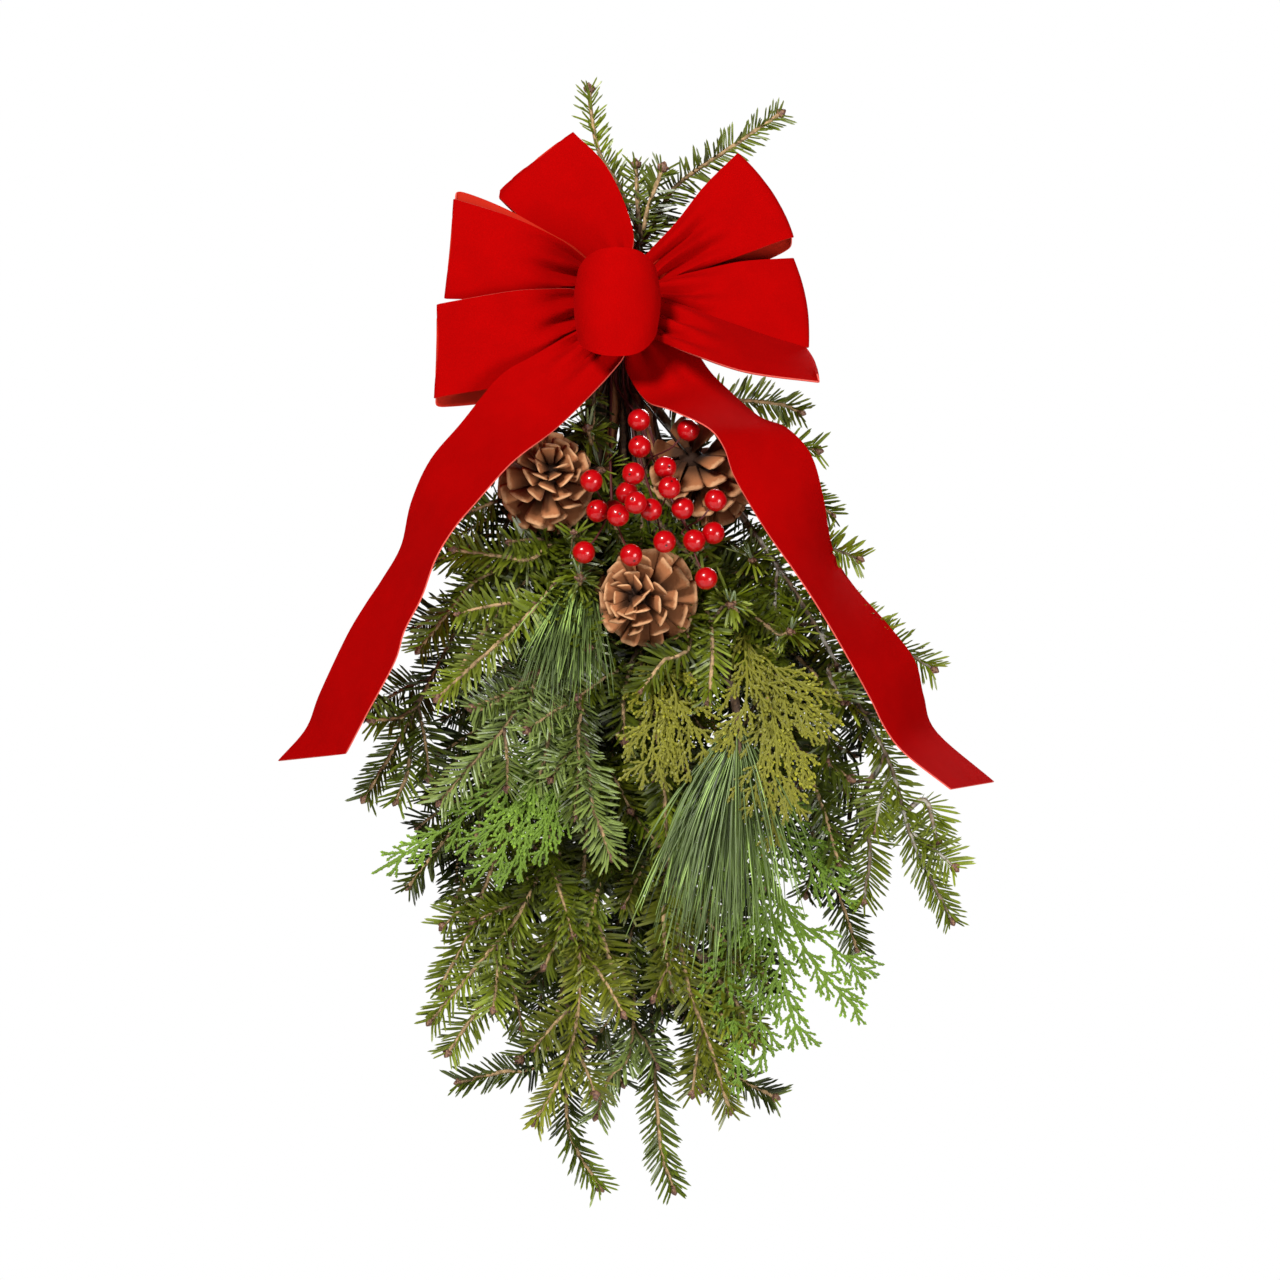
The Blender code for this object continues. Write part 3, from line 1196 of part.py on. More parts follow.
# The bow wire's corners, where it passes behind the pinch, and its two ends beside each other
BOW_WIRE_CORNER = 0.0012
BOW_WIRE_BEHIND = -0.0560
BOW_WIRE_START = -0.0420
BOW_WIRE_ASIDE = (0.0008, 0.0016, 0.0018)
BOW_WIRE_END_RISE = 0.0030
# How far before the cone its wire turns onto the cone's axis
CONE_WIRE_STRAIGHT = 0.010


def add_hanger(back_of_binding, space, finish):
    """A ring to hang the swag by, with a shank that hooks behind the binding."""
    ring_radius = HANGER_HOLE_RADIUS + HANGER_WIRE
    loop = []
    for k in range(HANGER_POINTS):
        angle = math.radians(HANGER_RING_FROM + HANGER_RING_TURN * k / (HANGER_POINTS - 1))
        loop.append((ring_radius * math.sin(angle), 0.0, -HANGER_HOLE_RADIUS + ring_radius * math.cos(angle)))
    behind = back_of_binding + BINDING_WIRE + GAP + HANGER_WIRE
    loop += HANGER_NECK
    loop += [(x, behind + y, z) for x, y, z in HANGER_SHANK]
    add_wire("hanger", loop, HANGER_WIRE, 5, np.array([0.0, 1.0, 0.02]), space, finish)
    # Stems are kept out of the hole, so that a nail can pass
    nail_room = np.array([[NAIL_ROOM_HALF, -0.004, -HANGER_HOLE_RADIUS]])
    space.add("hanger", nail_room * (-1, 1, 1), nail_room, NAIL_ROOM_RADIUS)


def add_bow_wire(front_of_binding, space, finish):
    """The wire that holds the bow: up from the binding, round the pinched ribbon and down again."""
    ahead = front_of_binding - BINDING_WIRE - GAP - BOW_WIRE
    top = PINCH_HEIGHT + PINCH_HALF + BOW_WIRE_ROOM
    foot = PINCH_HEIGHT - PINCH_HALF - BOW_WIRE_ROOM
    front = BOW_WIRE_FRONT
    corner = BOW_WIRE_CORNER
    loop = [(0.0, ahead, BOW_WIRE_START), (0.0, ahead, foot - corner), (0.0, ahead - corner, foot),
            (0.0, front + corner, foot), (0.0, front, foot + corner),
            (0.0, front, top - corner), (0.0, front + corner, top),
            (0.0, BOW_WIRE_BEHIND, top), (BOW_WIRE_ASIDE[0], ahead - corner, top),
            (BOW_WIRE_ASIDE[1], ahead, top - corner),
            (BOW_WIRE_ASIDE[2], ahead, foot + BOW_WIRE_END_RISE)]
    add_wire("bow_wire", loop, BOW_WIRE, 5, np.array([1.0, 0.0, 0.0]), space, finish)


def add_cone_wires(space, finish):
    """Each cone's wire runs under the binding and up to the foot of the cone."""
    for name, (place, depth, axis) in CONES.items():
        axis = unit(np.array(axis))
        foot = at(*place, depth) + axis * CONE_LENGTH * CONE_FOOT
        path = led_out(name, [foot - axis * CONE_WIRE_STRAIGHT, foot - axis * WIRE_TO_CONE])
        add_wire(name + "_wire", path, TIE_WIRE, 4, None, space, finish)


def build_berries(space):
    red = material("berry red", (0.55, 0.0, 0.01), 0.15)
    for name, (hub_place, berries) in PICKS.items():
        trunk = led_out(name, [at(*place) for place in hub_place])
        hub = trunk[-1]
        fuse(name, berry_parts(hub, berries, trunk), red)
        space.add_path(name, trunk, TRUNK_WIRE)
        for place in berries:
            middle = at(*place)
            space.add(name, middle, middle + np.array([0.0001, 0, 0]), BERRY_RADIUS)
            space.add(name, hub, middle, 2 * PICK_WIRE)


build()
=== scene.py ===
"""Christmas door swag: fine boughs, cones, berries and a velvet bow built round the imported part.

The file is laid out as an add-on and is run as a script. Places are in metres in the part's own frame:
+Z is up, the door is behind the swag at +Y and the viewer in front at -Y.
"""
import functools
import itertools
import json
import math
import random

import bpy
import numpy as np
from bpy.props import FloatProperty, FloatVectorProperty, IntProperty, PointerProperty
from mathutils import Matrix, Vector
from mathutils.bvhtree import BVHTree

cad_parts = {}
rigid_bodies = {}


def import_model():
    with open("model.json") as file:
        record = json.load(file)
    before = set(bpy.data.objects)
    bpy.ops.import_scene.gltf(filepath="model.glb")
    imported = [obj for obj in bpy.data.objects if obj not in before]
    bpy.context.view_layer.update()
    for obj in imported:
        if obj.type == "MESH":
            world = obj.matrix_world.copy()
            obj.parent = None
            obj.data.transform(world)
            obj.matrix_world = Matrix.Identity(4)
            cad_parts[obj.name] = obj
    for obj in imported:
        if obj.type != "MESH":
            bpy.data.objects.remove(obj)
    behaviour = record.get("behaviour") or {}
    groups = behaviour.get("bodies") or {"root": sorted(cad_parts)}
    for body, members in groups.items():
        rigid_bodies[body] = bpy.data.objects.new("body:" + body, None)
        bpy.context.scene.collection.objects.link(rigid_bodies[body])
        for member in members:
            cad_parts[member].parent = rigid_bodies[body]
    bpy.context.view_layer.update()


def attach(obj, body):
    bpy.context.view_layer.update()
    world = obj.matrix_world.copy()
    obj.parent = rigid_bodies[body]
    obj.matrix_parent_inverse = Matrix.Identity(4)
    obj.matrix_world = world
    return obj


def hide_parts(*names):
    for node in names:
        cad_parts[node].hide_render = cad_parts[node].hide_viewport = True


bl_info = {
    "name": "Christmas door swag",
    "version": (1, 0, 0),
    "blender": (4, 5, 0),
    "location": "View3D > Sidebar > Swag",
    "description": "Builds the boughs, cones, berries and bow of a door swag round its packed solids",
    "category": "Add Mesh",
}

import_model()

# Sizes and places, as in the part's own source

RIBBON_WIDTH = 0.0635
RIBBON_THICKNESS = 0.0009
NEEDLE_LENGTH = 0.019
CONE_RADIUS = 0.032
CONE_LENGTH = 0.058
BERRY_RADIUS = 0.0072
STEM_RADIUS = 0.0030
HANGER_HOLE_RADIUS = 0.010
GAP = 0.0003

# Places on the front view are counted in steps of a hundredth of the ribbon width,
# x to the right and y down, and the hanger's bearing point stands at HANGER_PLACE.
STEP = RIBBON_WIDTH / 100
HANGER_PLACE = (620, 290)

# The bundle of cut stems, whose layers are numbered from the door to the front
LAYER_WIDTHS = (6, 6, 6, 6, 6)
WOOD_RADIUS = 2 * STEM_RADIUS / math.sqrt(3)
WOOD_TAPER = 0.7
BUNDLE_PITCH = 2 * STEM_RADIUS + GAP
LAYER_PITCH = BUNDLE_PITCH * math.sqrt(3) / 2
BUNDLE_BACK = 0.018
BUNDLE_LEFT = -0.0165
BUNDLE_TOP = 0.012
BUNDLE_FOOT = -0.052
UPRIGHT_LEAVES = 0.004
CUT_STEP = 0.002
BINDING_HEIGHT = -0.036
BINDING_WIRE = 0.0008
BINDING_TURNS = 2
BINDING_TURN_STEP = 40
BINDING_STEP = 2
BINDING_RISE = 0.0022
FRONT_OF_BUNDLE = BUNDLE_BACK + (len(LAYER_WIDTHS) - 1) * LAYER_PITCH + WOOD_RADIUS
HANGER_WIRE = 0.001
HANGER_POINTS = 16
HANGER_FROM = -168
HANGER_TURNS = 330
TRUNK_WIRE = 0.0009
TIE_WIRE = 0.0006
WIRE_TO_CONE = 0.0005
WIRE_STAYS = 0.008
WIRE_LEANS = 0.10
WIRE_POINTS = 60

# Wires that lie on the front of the bundle under the binding: place to the side, and radius
TRUNK_PLACES = {
    "cone_left": (-0.0085, TIE_WIRE),
    "berries_left": (-0.0056, TRUNK_WIRE),
    "berries_top": (-0.0028, TRUNK_WIRE),
    "cone_centre": (-0.0004, TIE_WIRE),
    "berries_middle": (0.0020, TRUNK_WIRE),
    "berries_right": (0.0048, TRUNK_WIRE),
    "cone_right": (0.0077, TIE_WIRE),
}

# The bow is pinched at its middle, one layer of ribbon in front of the other
PINCH_HEIGHT = -0.008
PINCH_HALF = 0.013
PINCH_SIDE = 0.0002
BESIDE_PINCH = (4, 3)
BOW_WIRE = 0.0006
BOW_WIRE_FRONT = -0.0765
BOW_WIRE_ROOM = 0.0012
BOW_WIRE_CORNER = 0.0012

# Stems, and how they bend until each clears the others
SHOOT_RADIUS = 0.0013
STEM_LEAVES_OVER = 0.010
STEM_LEANS = 0.06
SPLINE_STEPS = 12
FREE_POINTS = 400
PATH_POINTS = 110
SHOOT_POINTS = 17
SETTLE_GAP = 0.0012
SETTLE_ENOUGH = 0.0004
SETTLE_SLACK = 0.012
SETTLE_ROUNDS = 160
SETTLE_LOOKS_EVERY = 10
SETTLE_PUSH = 1.1
FREED_OVER = 0.012
CONE_CLEARANCE = 0.0335
CONE_HALF_BAR = 0.003
RULINGS = 90
RIBBON_CLEARANCE = 0.0026
PINE_CORE = 0.0027

FIR_LIGHT, FIR_DARK, FIR_BLUE, FIR_YELLOW = "fir_light", "fir_dark", "fir_blue", "fir_yellow"
CEDAR_GREEN, CEDAR_GOLD = "cedar_green", "cedar_gold"
FIRS = (FIR_LIGHT, FIR_DARK, FIR_BLUE, FIR_YELLOW)
CORES = {FIR_LIGHT: SHOOT_RADIUS, FIR_DARK: SHOOT_RADIUS, FIR_BLUE: SHOOT_RADIUS, FIR_YELLOW: SHOOT_RADIUS,
         CEDAR_GREEN: 0.0011, CEDAR_GOLD: 0.0012, None: PINE_CORE}

# Boughs: layer and slot in the bundle, kind, route on the front view with depth, where the part's
# needles begin as a share of its length, and side shoots as (share of the length, points that it passes)
BOUGHS = {
    "fir_low_left_dark": (0, 0, FIR_DARK, [(590, 480, 19), (530, 660, 26), (470, 800, 28),
                                           (408, 887, 32)], 0.66, [
        (0.62, [(455, 760, 30), (425, 800, 32)]),
        (0.75, [(470, 860, 28), (455, 900, 28)])]),
    "fir_bottom_curved": (0, 1, FIR_DARK, [(598, 520, 19), (585, 760, 20), (570, 980, 24),
                                           (566, 1110, 28), (576, 1152, 30), (599, 1188, 32)], 0.77, [
        (0.70, [(530, 960, 24), (500, 1010, 26)]),
        (0.80, [(600, 1030, 22), (622, 1085, 22)])]),
    "fir_bottom_right": (0, 4, FIR_DARK, [(640, 520, 19), (650, 760, 20), (650, 960, 24), (654, 1060, 28),
                                          (661, 1150, 30), (673, 1190, 32)], 0.77, [
        (0.72, [(690, 960, 24), (705, 1010, 26)]),
        (0.66, [(625, 900, 20), (615, 960, 20)])]),
    "fir_right_dark": (0, 5, FIR_DARK, [(670, 470, 19), (730, 600, 26), (790, 720, 30),
                                        (866, 816, 34)], 0.58, [
        (0.55, [(800, 640, 30), (850, 690, 32), (862, 745, 32)]),
        (0.62, [(800, 800, 26), (834, 880, 28), (858, 950, 30)])]),
    "fir_left_dark": (1, 0, FIR_DARK, [(580, 430, 26), (520, 500, 48), (476, 590, 52), (440, 662, 56),
                                       (402, 735, 60), (366, 796, 62)], 0.56, [
        (0.80, [(404, 716, 62), (374, 720, 66)]),
        (0.84, [(408, 770, 60), (396, 800, 60)]),
        (0.42, [(500, 500, 60), (470, 512, 66)])]),
    "fir_dark_side_twig": (1, 1, FIR_DARK, [(596, 520, 26), (588, 800, 34), (562, 990, 40),
                                            (538, 1064, 44), (500, 1073, 46), (460, 1083, 48)], 0.80, [
        (0.70, [(520, 900, 42), (480, 960, 46)]),
        (0.66, [(545, 860, 38), (505, 900, 40)])]),
    "fir_dark_bluish": (1, 3, FIR_BLUE, [(622, 520, 26), (628, 800, 32), (634, 980, 36), (629, 1055, 40),
                                         (610, 1078, 42), (596, 1116, 44)], 0.72, [
        (0.70, [(655, 950, 36), (662, 1010, 38)]),
        (0.60, [(605, 820, 36), (598, 880, 38)])]),
    "fir_bottom_right_tip": (1, 4, FIR_DARK, [(660, 560, 26), (700, 820, 38), (718, 980, 42), (728, 1062, 46),
                                              (745, 1082, 48), (774, 1097, 50)], 0.72, [
        (0.66, [(745, 930, 42), (770, 990, 44)]),
        (0.80, [(700, 1040, 44), (698, 1075, 44)])]),
    "fir_mid_right": (1, 5, FIR_DARK, [(660, 398, 26), (692, 404, 42), (728, 400, 49), (777, 403, 50),
                                       (799, 411, 50)], 0.50, [
        (0.56, [(745, 440, 46), (790, 480, 44), (832, 514, 44)])]),
    "fir_low_left": (2, 0, FIR_LIGHT, [(588, 500, 33), (568, 680, 52), (548, 840, 62), (520, 912, 68),
                                       (478, 964, 72), (432, 1019, 74)], 0.60, [
        (0.60, [(500, 850, 60), (470, 930, 64), (441, 986, 66)]),
        (0.76, [(500, 975, 66), (470, 1020, 68), (449, 1051, 68)]),
        (0.66, [(560, 920, 66), (545, 965, 66)])]),
    "fir_yellow_centre": (2, 1, FIR_YELLOW, [(600, 500, 33), (592, 740, 54), (582, 900, 62), (578, 1010, 68),
                                             (562, 1072, 72), (536, 1119, 74)], 0.68, [
        (0.72, [(610, 960, 64), (618, 1000, 64)])]),
    "fir_centre_low": (2, 2, FIR_DARK, [(610, 520, 33), (612, 720, 52), (610, 840, 58), (598, 890, 62),
                                        (585, 932, 64)], 0.64, [
        (0.74, [(625, 860, 60), (632, 905, 60)])]),
    "fir_right_bottom": (2, 3, FIR_YELLOW, [(634, 520, 33), (656, 740, 54), (674, 900, 62), (688, 985, 68),
                                            (708, 1040, 70), (729, 1108, 72)], 0.66, [
        (0.66, [(664, 930, 66), (672, 990, 68)]),
        (0.78, [(735, 1000, 68), (752, 1040, 70)])]),
    "cedar_right": (2, 4, CEDAR_GREEN, [(650, 520, 33), (712, 720, 58), (752, 830, 66), (782, 900, 70),
                                        (812, 960, 72), (860, 1012, 74)], 0.60, [
        (0.62, [(780, 800, 66), (820, 850, 66), (848, 880, 66)]),
        (0.66, [(745, 890, 70), (728, 960, 72), (736, 1030, 74), (738, 1098, 74)]),
        (0.70, [(812, 860, 68), (850, 905, 68)]),
        (0.76, [(780, 960, 74), (790, 1010, 76), (806, 1046, 76)]),
        (0.72, [(758, 960, 74), (760, 1020, 76), (766, 1068, 76)]),
        (0.84, [(848, 960, 72), (864, 976, 72)])]),
    "fir_right_big": (2, 5, FIR_LIGHT, [(700, 462, 33), (765, 548, 60), (812, 620, 66), (850, 690, 70),
                                        (888, 760, 72), (912, 840, 74), (950, 918, 76)], 0.66, [
        (0.58, [(872, 640, 64), (905, 652, 60), (932, 668, 58)]),
        (0.62, [(828, 672, 80), (840, 700, 92)]),
        (0.76, [(862, 800, 66), (870, 850, 62), (864, 900, 60)]),
        (0.84, [(925, 800, 72), (936, 840, 72)])]),
    "fir_left_light": (3, 0, FIR_LIGHT, [(578, 500, 40), (540, 560, 58), (500, 570, 68), (472, 584, 74),
                                         (447, 615, 76), (421, 648, 78)], 0.50, [
        (0.62, [(478, 640, 76), (452, 690, 76)])]),
    "fir_left_bluish": (3, 1, FIR_BLUE, [(588, 520, 40), (562, 640, 66), (528, 690, 80), (504, 728, 86),
                                         (474, 762, 88), (442, 800, 88)], 0.52, [
        (0.66, [(500, 700, 88), (478, 710, 92)]),
        (0.58, [(548, 740, 80), (535, 790, 82)])]),
    "cedar_left": (3, 2, CEDAR_GREEN, [(598, 530, 40), (576, 690, 66), (544, 750, 78), (500, 790, 82),
                                       (440, 832, 80), (375, 872, 74)], 0.60, [
        (0.64, [(528, 780, 86), (502, 820, 88), (460, 850, 88)]),
        (0.62, [(535, 800, 84), (500, 850, 88), (474, 884, 88)]),
        (0.60, [(548, 810, 84), (520, 850, 86), (502, 886, 88)]),
        (0.58, [(560, 780, 82), (548, 820, 86), (540, 862, 86)])]),
    "fir_centre_left": (3, 3, FIR_BLUE, [(606, 530, 40), (596, 660, 68), (580, 720, 84), (578, 772, 90),
                                         (575, 815, 92)], 0.56, [
        (0.80, [(592, 800, 92), (602, 830, 92), (610, 854, 92)])]),
    "fir_centre": (3, 4, FIR_LIGHT, [(634, 530, 40), (645, 660, 64), (656, 730, 80), (664, 780, 86),
                                     (666, 842, 88)], 0.52, [
        (0.62, [(625, 690, 80), (624, 738, 86)]),
        (0.72, [(690, 770, 80), (712, 830, 78)])]),
    "fir_right_inner": (3, 5, FIR_DARK, [(668, 520, 40), (735, 640, 60), (792, 740, 64), (820, 800, 66),
                                         (838, 862, 66)], 0.56, [
        (0.52, [(800, 660, 66), (826, 690, 70)]),
        (0.66, [(770, 780, 60), (786, 850, 60)])]),
    "fir_front_left": (4, 0, FIR_LIGHT, [(582, 480, 47), (566, 560, 62), (542, 600, 86), (502, 640, 96),
                                         (466, 672, 98), (441, 696, 98)], 0.44, [
        (0.36, [(540, 552, 76), (500, 556, 84), (455, 550, 86)]),
        (0.42, [(580, 578, 84), (581, 580, 100)]),
        (0.33, [(574, 546, 72), (574, 534, 92)]),
        (0.16, [(592, 440, 60), (588, 430, 78)])]),
    "pine_left": (4, 1, None, [(594, 480, 47), (586, 540, 56), (588, 574, 72)], 0.9, []),
    "cedar_golden_low": (4, 2, CEDAR_GOLD, [(608, 480, 47), (640, 640, 58), (664, 672, 84), (676, 700, 96),
                                            (668, 740, 102), (661, 779, 104)], 0.66, [
        (0.70, [(650, 705, 98), (627, 748, 100)]),
        (0.72, [(692, 725, 100), (709, 766, 102)]),
        (0.78, [(652, 745, 104), (640, 772, 106)]),
        (0.80, [(684, 752, 104), (690, 778, 106)])]),
    "fir_front_right": (4, 3, FIR_LIGHT, [(628, 480, 47), (676, 560, 50), (706, 610, 76), (712, 650, 90),
                                          (708, 702, 94)], 0.48, [
        (0.46, [(730, 604, 76), (732, 606, 98)]),
        (0.56, [(684, 640, 86), (664, 660, 90), (642, 689, 92)]),
        (0.52, [(766, 626, 78), (788, 632, 98)]),
        (0.60, [(760, 660, 80), (784, 682, 84)])]),
    "pine_right": (4, 4, None, [(646, 480, 47), (704, 620, 62), (732, 690, 92), (737, 742, 102),
                                (733, 772, 104)], 0.9, []),
    "cedar_golden": (4, 5, CEDAR_GOLD, [(664, 480, 47), (735, 610, 66), (752, 672, 90), (768, 700, 100),
                                        (776, 760, 106), (770, 840, 108)], 0.60, [
        (0.62, [(790, 684, 98), (834, 690, 98)]),
        (0.66, [(800, 705, 102), (834, 738, 102)]),
        (0.62, [(745, 700, 104), (722, 748, 106)]),
        (0.70, [(795, 745, 106), (812, 780, 106)]),
        (0.76, [(755, 790, 110), (750, 812, 112)]),
        (0.78, [(792, 790, 108), (796, 810, 108)])]),
}

# Three boughs stand up behind the bow; their cut ends are at the foot of the bundle
UPRIGHTS = {
    "fir_top_left": (0, 2, FIR_LIGHT, [(640, 245, 22), (622, 190, 24), (599, 150, 26),
                                       (591, 110, 28), (589, 88, 28)], 0.52, []),
    "fir_top_middle": (1, 2, FIR_DARK, [(640, 240, 30), (648, 206, 34), (662, 168, 38)], 0.44, [
        (0.66, [(638, 205, 28), (636, 164, 28)])]),
    "fir_top_right": (0, 3, FIR_LIGHT, [(652, 225, 22), (676, 184, 26), (730, 146, 32),
                                        (780, 112, 36)], 0.48, []),
}

# Cones: middle on the front view, depth and the way the head points; and where foot and head are from
# the middle, as shares of the length
CONE_FOOT = -0.42
CONE_HEAD = 0.44
CONES = {
    "cone_left": ((548, 482), 78, (0.10, -0.90, 0.36)),
    "cone_right": ((706, 478), 74, (0.45, 0.55, -0.55)),
    "cone_centre": ((645, 598), 90, (-0.34, -0.93, 0.05)),
}

# Places that each pick's trunk passes, the last being where its wires part, and its berries' places
PICKS = {
    "berries_top": ([(640, 420, 62), (652, 458, 84)],
                    [(639, 422, 104), (688, 432, 104), (640, 451, 112), (664, 471, 116), (634, 476, 124)]),
    "berries_left": ([(610, 450, 60), (612, 508, 82)],
                     [(592, 483, 112), (599, 515, 108), (618, 518, 118), (607, 530, 94), (585, 553, 108),
                      (631, 556, 124)]),
    "berries_middle": ([(638, 450, 56), (656, 512, 86)],
                       [(627, 495, 106), (636, 505, 130), (651, 513, 120), (669, 490, 126), (664, 543, 124)]),
    "berries_right": ([(650, 430, 62), (664, 484, 94), (686, 528, 104)],
                      [(682, 511, 122), (677, 530, 108), (715, 502, 118), (715, 538, 112), (705, 579, 118)]),
}
PICK_WIRE = 0.0006
PICK_BOW = np.array([0.0, -0.004, -0.003])
TRUNK_POINTS = 40
PICK_POINTS = 14
BERRY_SEATED = 0.98

# Bow loops: depths of the back and front layer at the pinch, then the two edges of the front layer from
# the knot to the fold, the depth of the fold's two ends, its thickness and how far the back layer shows
# beyond the front one at its upper and lower edge
LOOP_SHARES = (0.10, 0.45, 0.75)
LOOP_SWELL = 1.15
FOLD_SHARE = 0.36
FOLD_REACH = 0.93
FOLD_SHOWS = 0.6
TURNED_BESIDE = (590, 303)
LOOPS = {
    "bow_loop_upper_left": ((50, 53), [(633, 246), (628, 212), (606, 165), (574, 132)],
                            [(590, 283), (562, 255), (532, 228), (500, 198)], (46, 50), 11, (0, 2)),
    "bow_loop_upper_right": ((50, 53), [(650, 250), (676, 222), (704, 186), (737, 153)],
                             [(664, 284), (700, 266), (750, 250), (792, 234)], (46, 51), 12, (-6, 8)),
    "bow_loop_middle_left": ((56, 59), [(590, 262), (560, 240), (512, 218), (456, 200)],
                             [(590, 292), (560, 297), (512, 299), (447, 296)], (68, 64), 12, (6, -9)),
    "bow_loop_middle_right": ((56, 59), [(655, 281), (690, 273), (740, 262), (792, 258)],
                              [(655, 305), (690, 320), (740, 340), (806, 348)], (64, 64), 14, (0, 0)),
    "bow_loop_lower_left": ((62.5, 65.5), [(590, 304), (560, 304), (512, 303), (440, 313)],
                            [(590, 333), (560, 350), (512, 381), (437, 394)], (66, 72), 12, (4, 8)),
    "bow_loop_lower_right": ((71, 74), [(655, 312), (700, 326), (745, 334), (801, 344)],
                             [(655, 340), (690, 356), (745, 375), (815, 385)], (90, 108), 13, (0, 0)),
}

# Tails: pairs of edge places, inner then outer, with the depth of the ribbon's middle line
TAIL_DEPTH = 68
TAIL_REACH_LEFT = 30
TAIL_REACH_RIGHT = 14
TAIL_END_SHOWN = 48
TAIL_INNER_DROP = 4
TAIL_OUTER_DROP = 16
TAIL_LEFT = [((625, 352), (590, 322), 72), ((613, 372), (562, 340), 80), ((584, 404), (532, 358), 92),
             ((554, 433), (500, 378), 101), ((514, 464), (462, 424), 104), ((477, 505), (431, 461), 104),
             ((456, 530), (412, 503), 103), ((438, 560), (402, 546), 101), ((424, 598), (384, 578), 99),
             ((407, 631), (366, 605), 97), ((397, 662), (347, 637), 94), ((370, 712), (320, 694), 88),
             ((352, 746), (306, 729), 83), ((348, 753), (278, 761), 80)]
TAIL_RIGHT = [((626, 345), (660, 318), 68), ((627, 372), (690, 344), 73), ((646, 402), (709, 371), 84),
              ((670, 412), (724, 387), 95), ((707, 430), (758, 417), 103), ((723, 450), (786, 429), 106),
              ((734, 480), (810, 456), 107), ((764, 531), (822, 497), 106), ((794, 574), (832, 550), 104),
              ((820, 614), (852, 585), 102), ((847, 660), (888, 626), 100), ((869, 700), (914, 661), 97),
              ((883, 728), (923, 696), 93), ((903, 753), (936, 732), 89), ((948, 788), (994, 782), 84)]
KNOT_MIDDLE = (617.5, 302.0)
KNOT_HALF_WIDTH = 42.5
KNOT_BACK = 77.85
KNOT_HALF_DEPTH = 17
KNOT_FRONT_HALF = 52
KNOT_BACK_HALF = 21
KNOT_OPENS = 1.9
KNOT_LIFT = 3
KNOT_TURNS_TO = 177
KNOT_STATIONS = 13


# Lines, and how stems settle

def at(x, y, depth):
    """Point in metres for a place on the front view and a depth in front of the door in millimetres."""
    return np.array([(x - HANGER_PLACE[0]) * STEP, -depth * 0.001, (HANGER_PLACE[1] - y) * STEP])


def unit(vector):
    return vector / np.linalg.norm(vector)


def with_ends(points):
    """The given points with one more beyond each end, as a Catmull-Rom curve needs them."""
    knots = np.array(points, dtype=float)
    return np.vstack([2 * knots[0] - knots[1], knots, 2 * knots[-1] - knots[-2]])


def spline_point(knots, i, t):
    """Point of a Catmull-Rom curve in its stretch i, at share t of it."""
    p0, p1, p2, p3 = knots[i:i + 4]
    return 0.5 * (2 * p1 + (p2 - p0) * t + (2 * p0 - 5 * p1 + 4 * p2 - p3) * t ** 2
                  + (3 * p1 - p0 - 3 * p2 + p3) * t ** 3)


def smooth(points, count):
    """Points evenly spaced along a Catmull-Rom curve through the given points."""
    knots = with_ends(points)
    fine = [spline_point(knots, i, t) for i in range(len(knots) - 3)
            for t in np.linspace(0, 1, SPLINE_STEPS, endpoint=False)]
    return evenly(np.array(fine + [knots[-2]]), count)


def smooth_like(points, count):
    """Catmull-Rom curve sampled evenly between stations, so that two edges stay paired."""
    knots = with_ends(points)
    out = []
    for place in np.linspace(0, len(knots) - 3, count):
        i = min(int(place), len(knots) - 4)
        out.append(spline_point(knots, i, place - i))
    return np.array(out)


def sparse(path, tolerance=0.0005):
    """Indices of the fewest points that keep a path's line within the tolerance."""
    kept = {0, len(path) - 1}
    spans = [(0, len(path) - 1)]
    while spans:
        first, last = spans.pop()
        if last - first < 2:
            continue
        away = bar_distances(path[first], path[last], path[first + 1:last], path[first + 1:last] + 1e-9)
        if away.max() > tolerance:
            middle = first + 1 + int(away.argmax())
            kept.add(middle)
            spans += [(first, middle), (middle, last)]
    return sorted(kept)


def far_along(line):
    """How far along a line each of its points is."""
    return np.concatenate([[0], np.cumsum(np.linalg.norm(np.diff(line, axis=0), axis=1))])


def evenly(line, count):
    """Points evenly spaced along a line."""
    lengths = far_along(line)
    wanted = np.linspace(0, lengths[-1], count)
    return np.stack([np.interp(wanted, lengths, line[:, k]) for k in range(3)], axis=1)


def path_length(path):
    return float(np.linalg.norm(np.diff(path, axis=0), axis=1).sum())


class Space:
    """What is already placed, as round bars, for settling the stems round it."""

    def __init__(self):
        self.starts = np.zeros((0, 3))
        self.ends = np.zeros((0, 3))
        self.radii = np.zeros(0)

    def add(self, starts, ends, radii):
        starts = np.atleast_2d(starts)
        self.starts = np.vstack([self.starts, starts])
        self.ends = np.vstack([self.ends, np.atleast_2d(ends)])
        self.radii = np.concatenate([self.radii, np.broadcast_to(radii, len(starts))])

    def add_path(self, path, radius):
        self.add(path[:-1], path[1:], radius)

    def short_bars(self, longest=0.008):
        """Everything placed so far as short bars with their radii, for settling stems round it."""
        lengths = np.linalg.norm(self.ends - self.starts, axis=1)
        pieces = np.maximum(1, np.ceil(lengths / longest)).astype(int)
        rows = np.repeat(np.arange(len(pieces)), pieces)
        place = np.arange(len(rows)) - np.repeat(np.cumsum(pieces) - pieces, pieces)
        step = (self.ends - self.starts)[rows] / pieces[rows][:, None]
        starts = self.starts[rows] + step * place[:, None]
        return starts, starts + step, self.radii[rows]


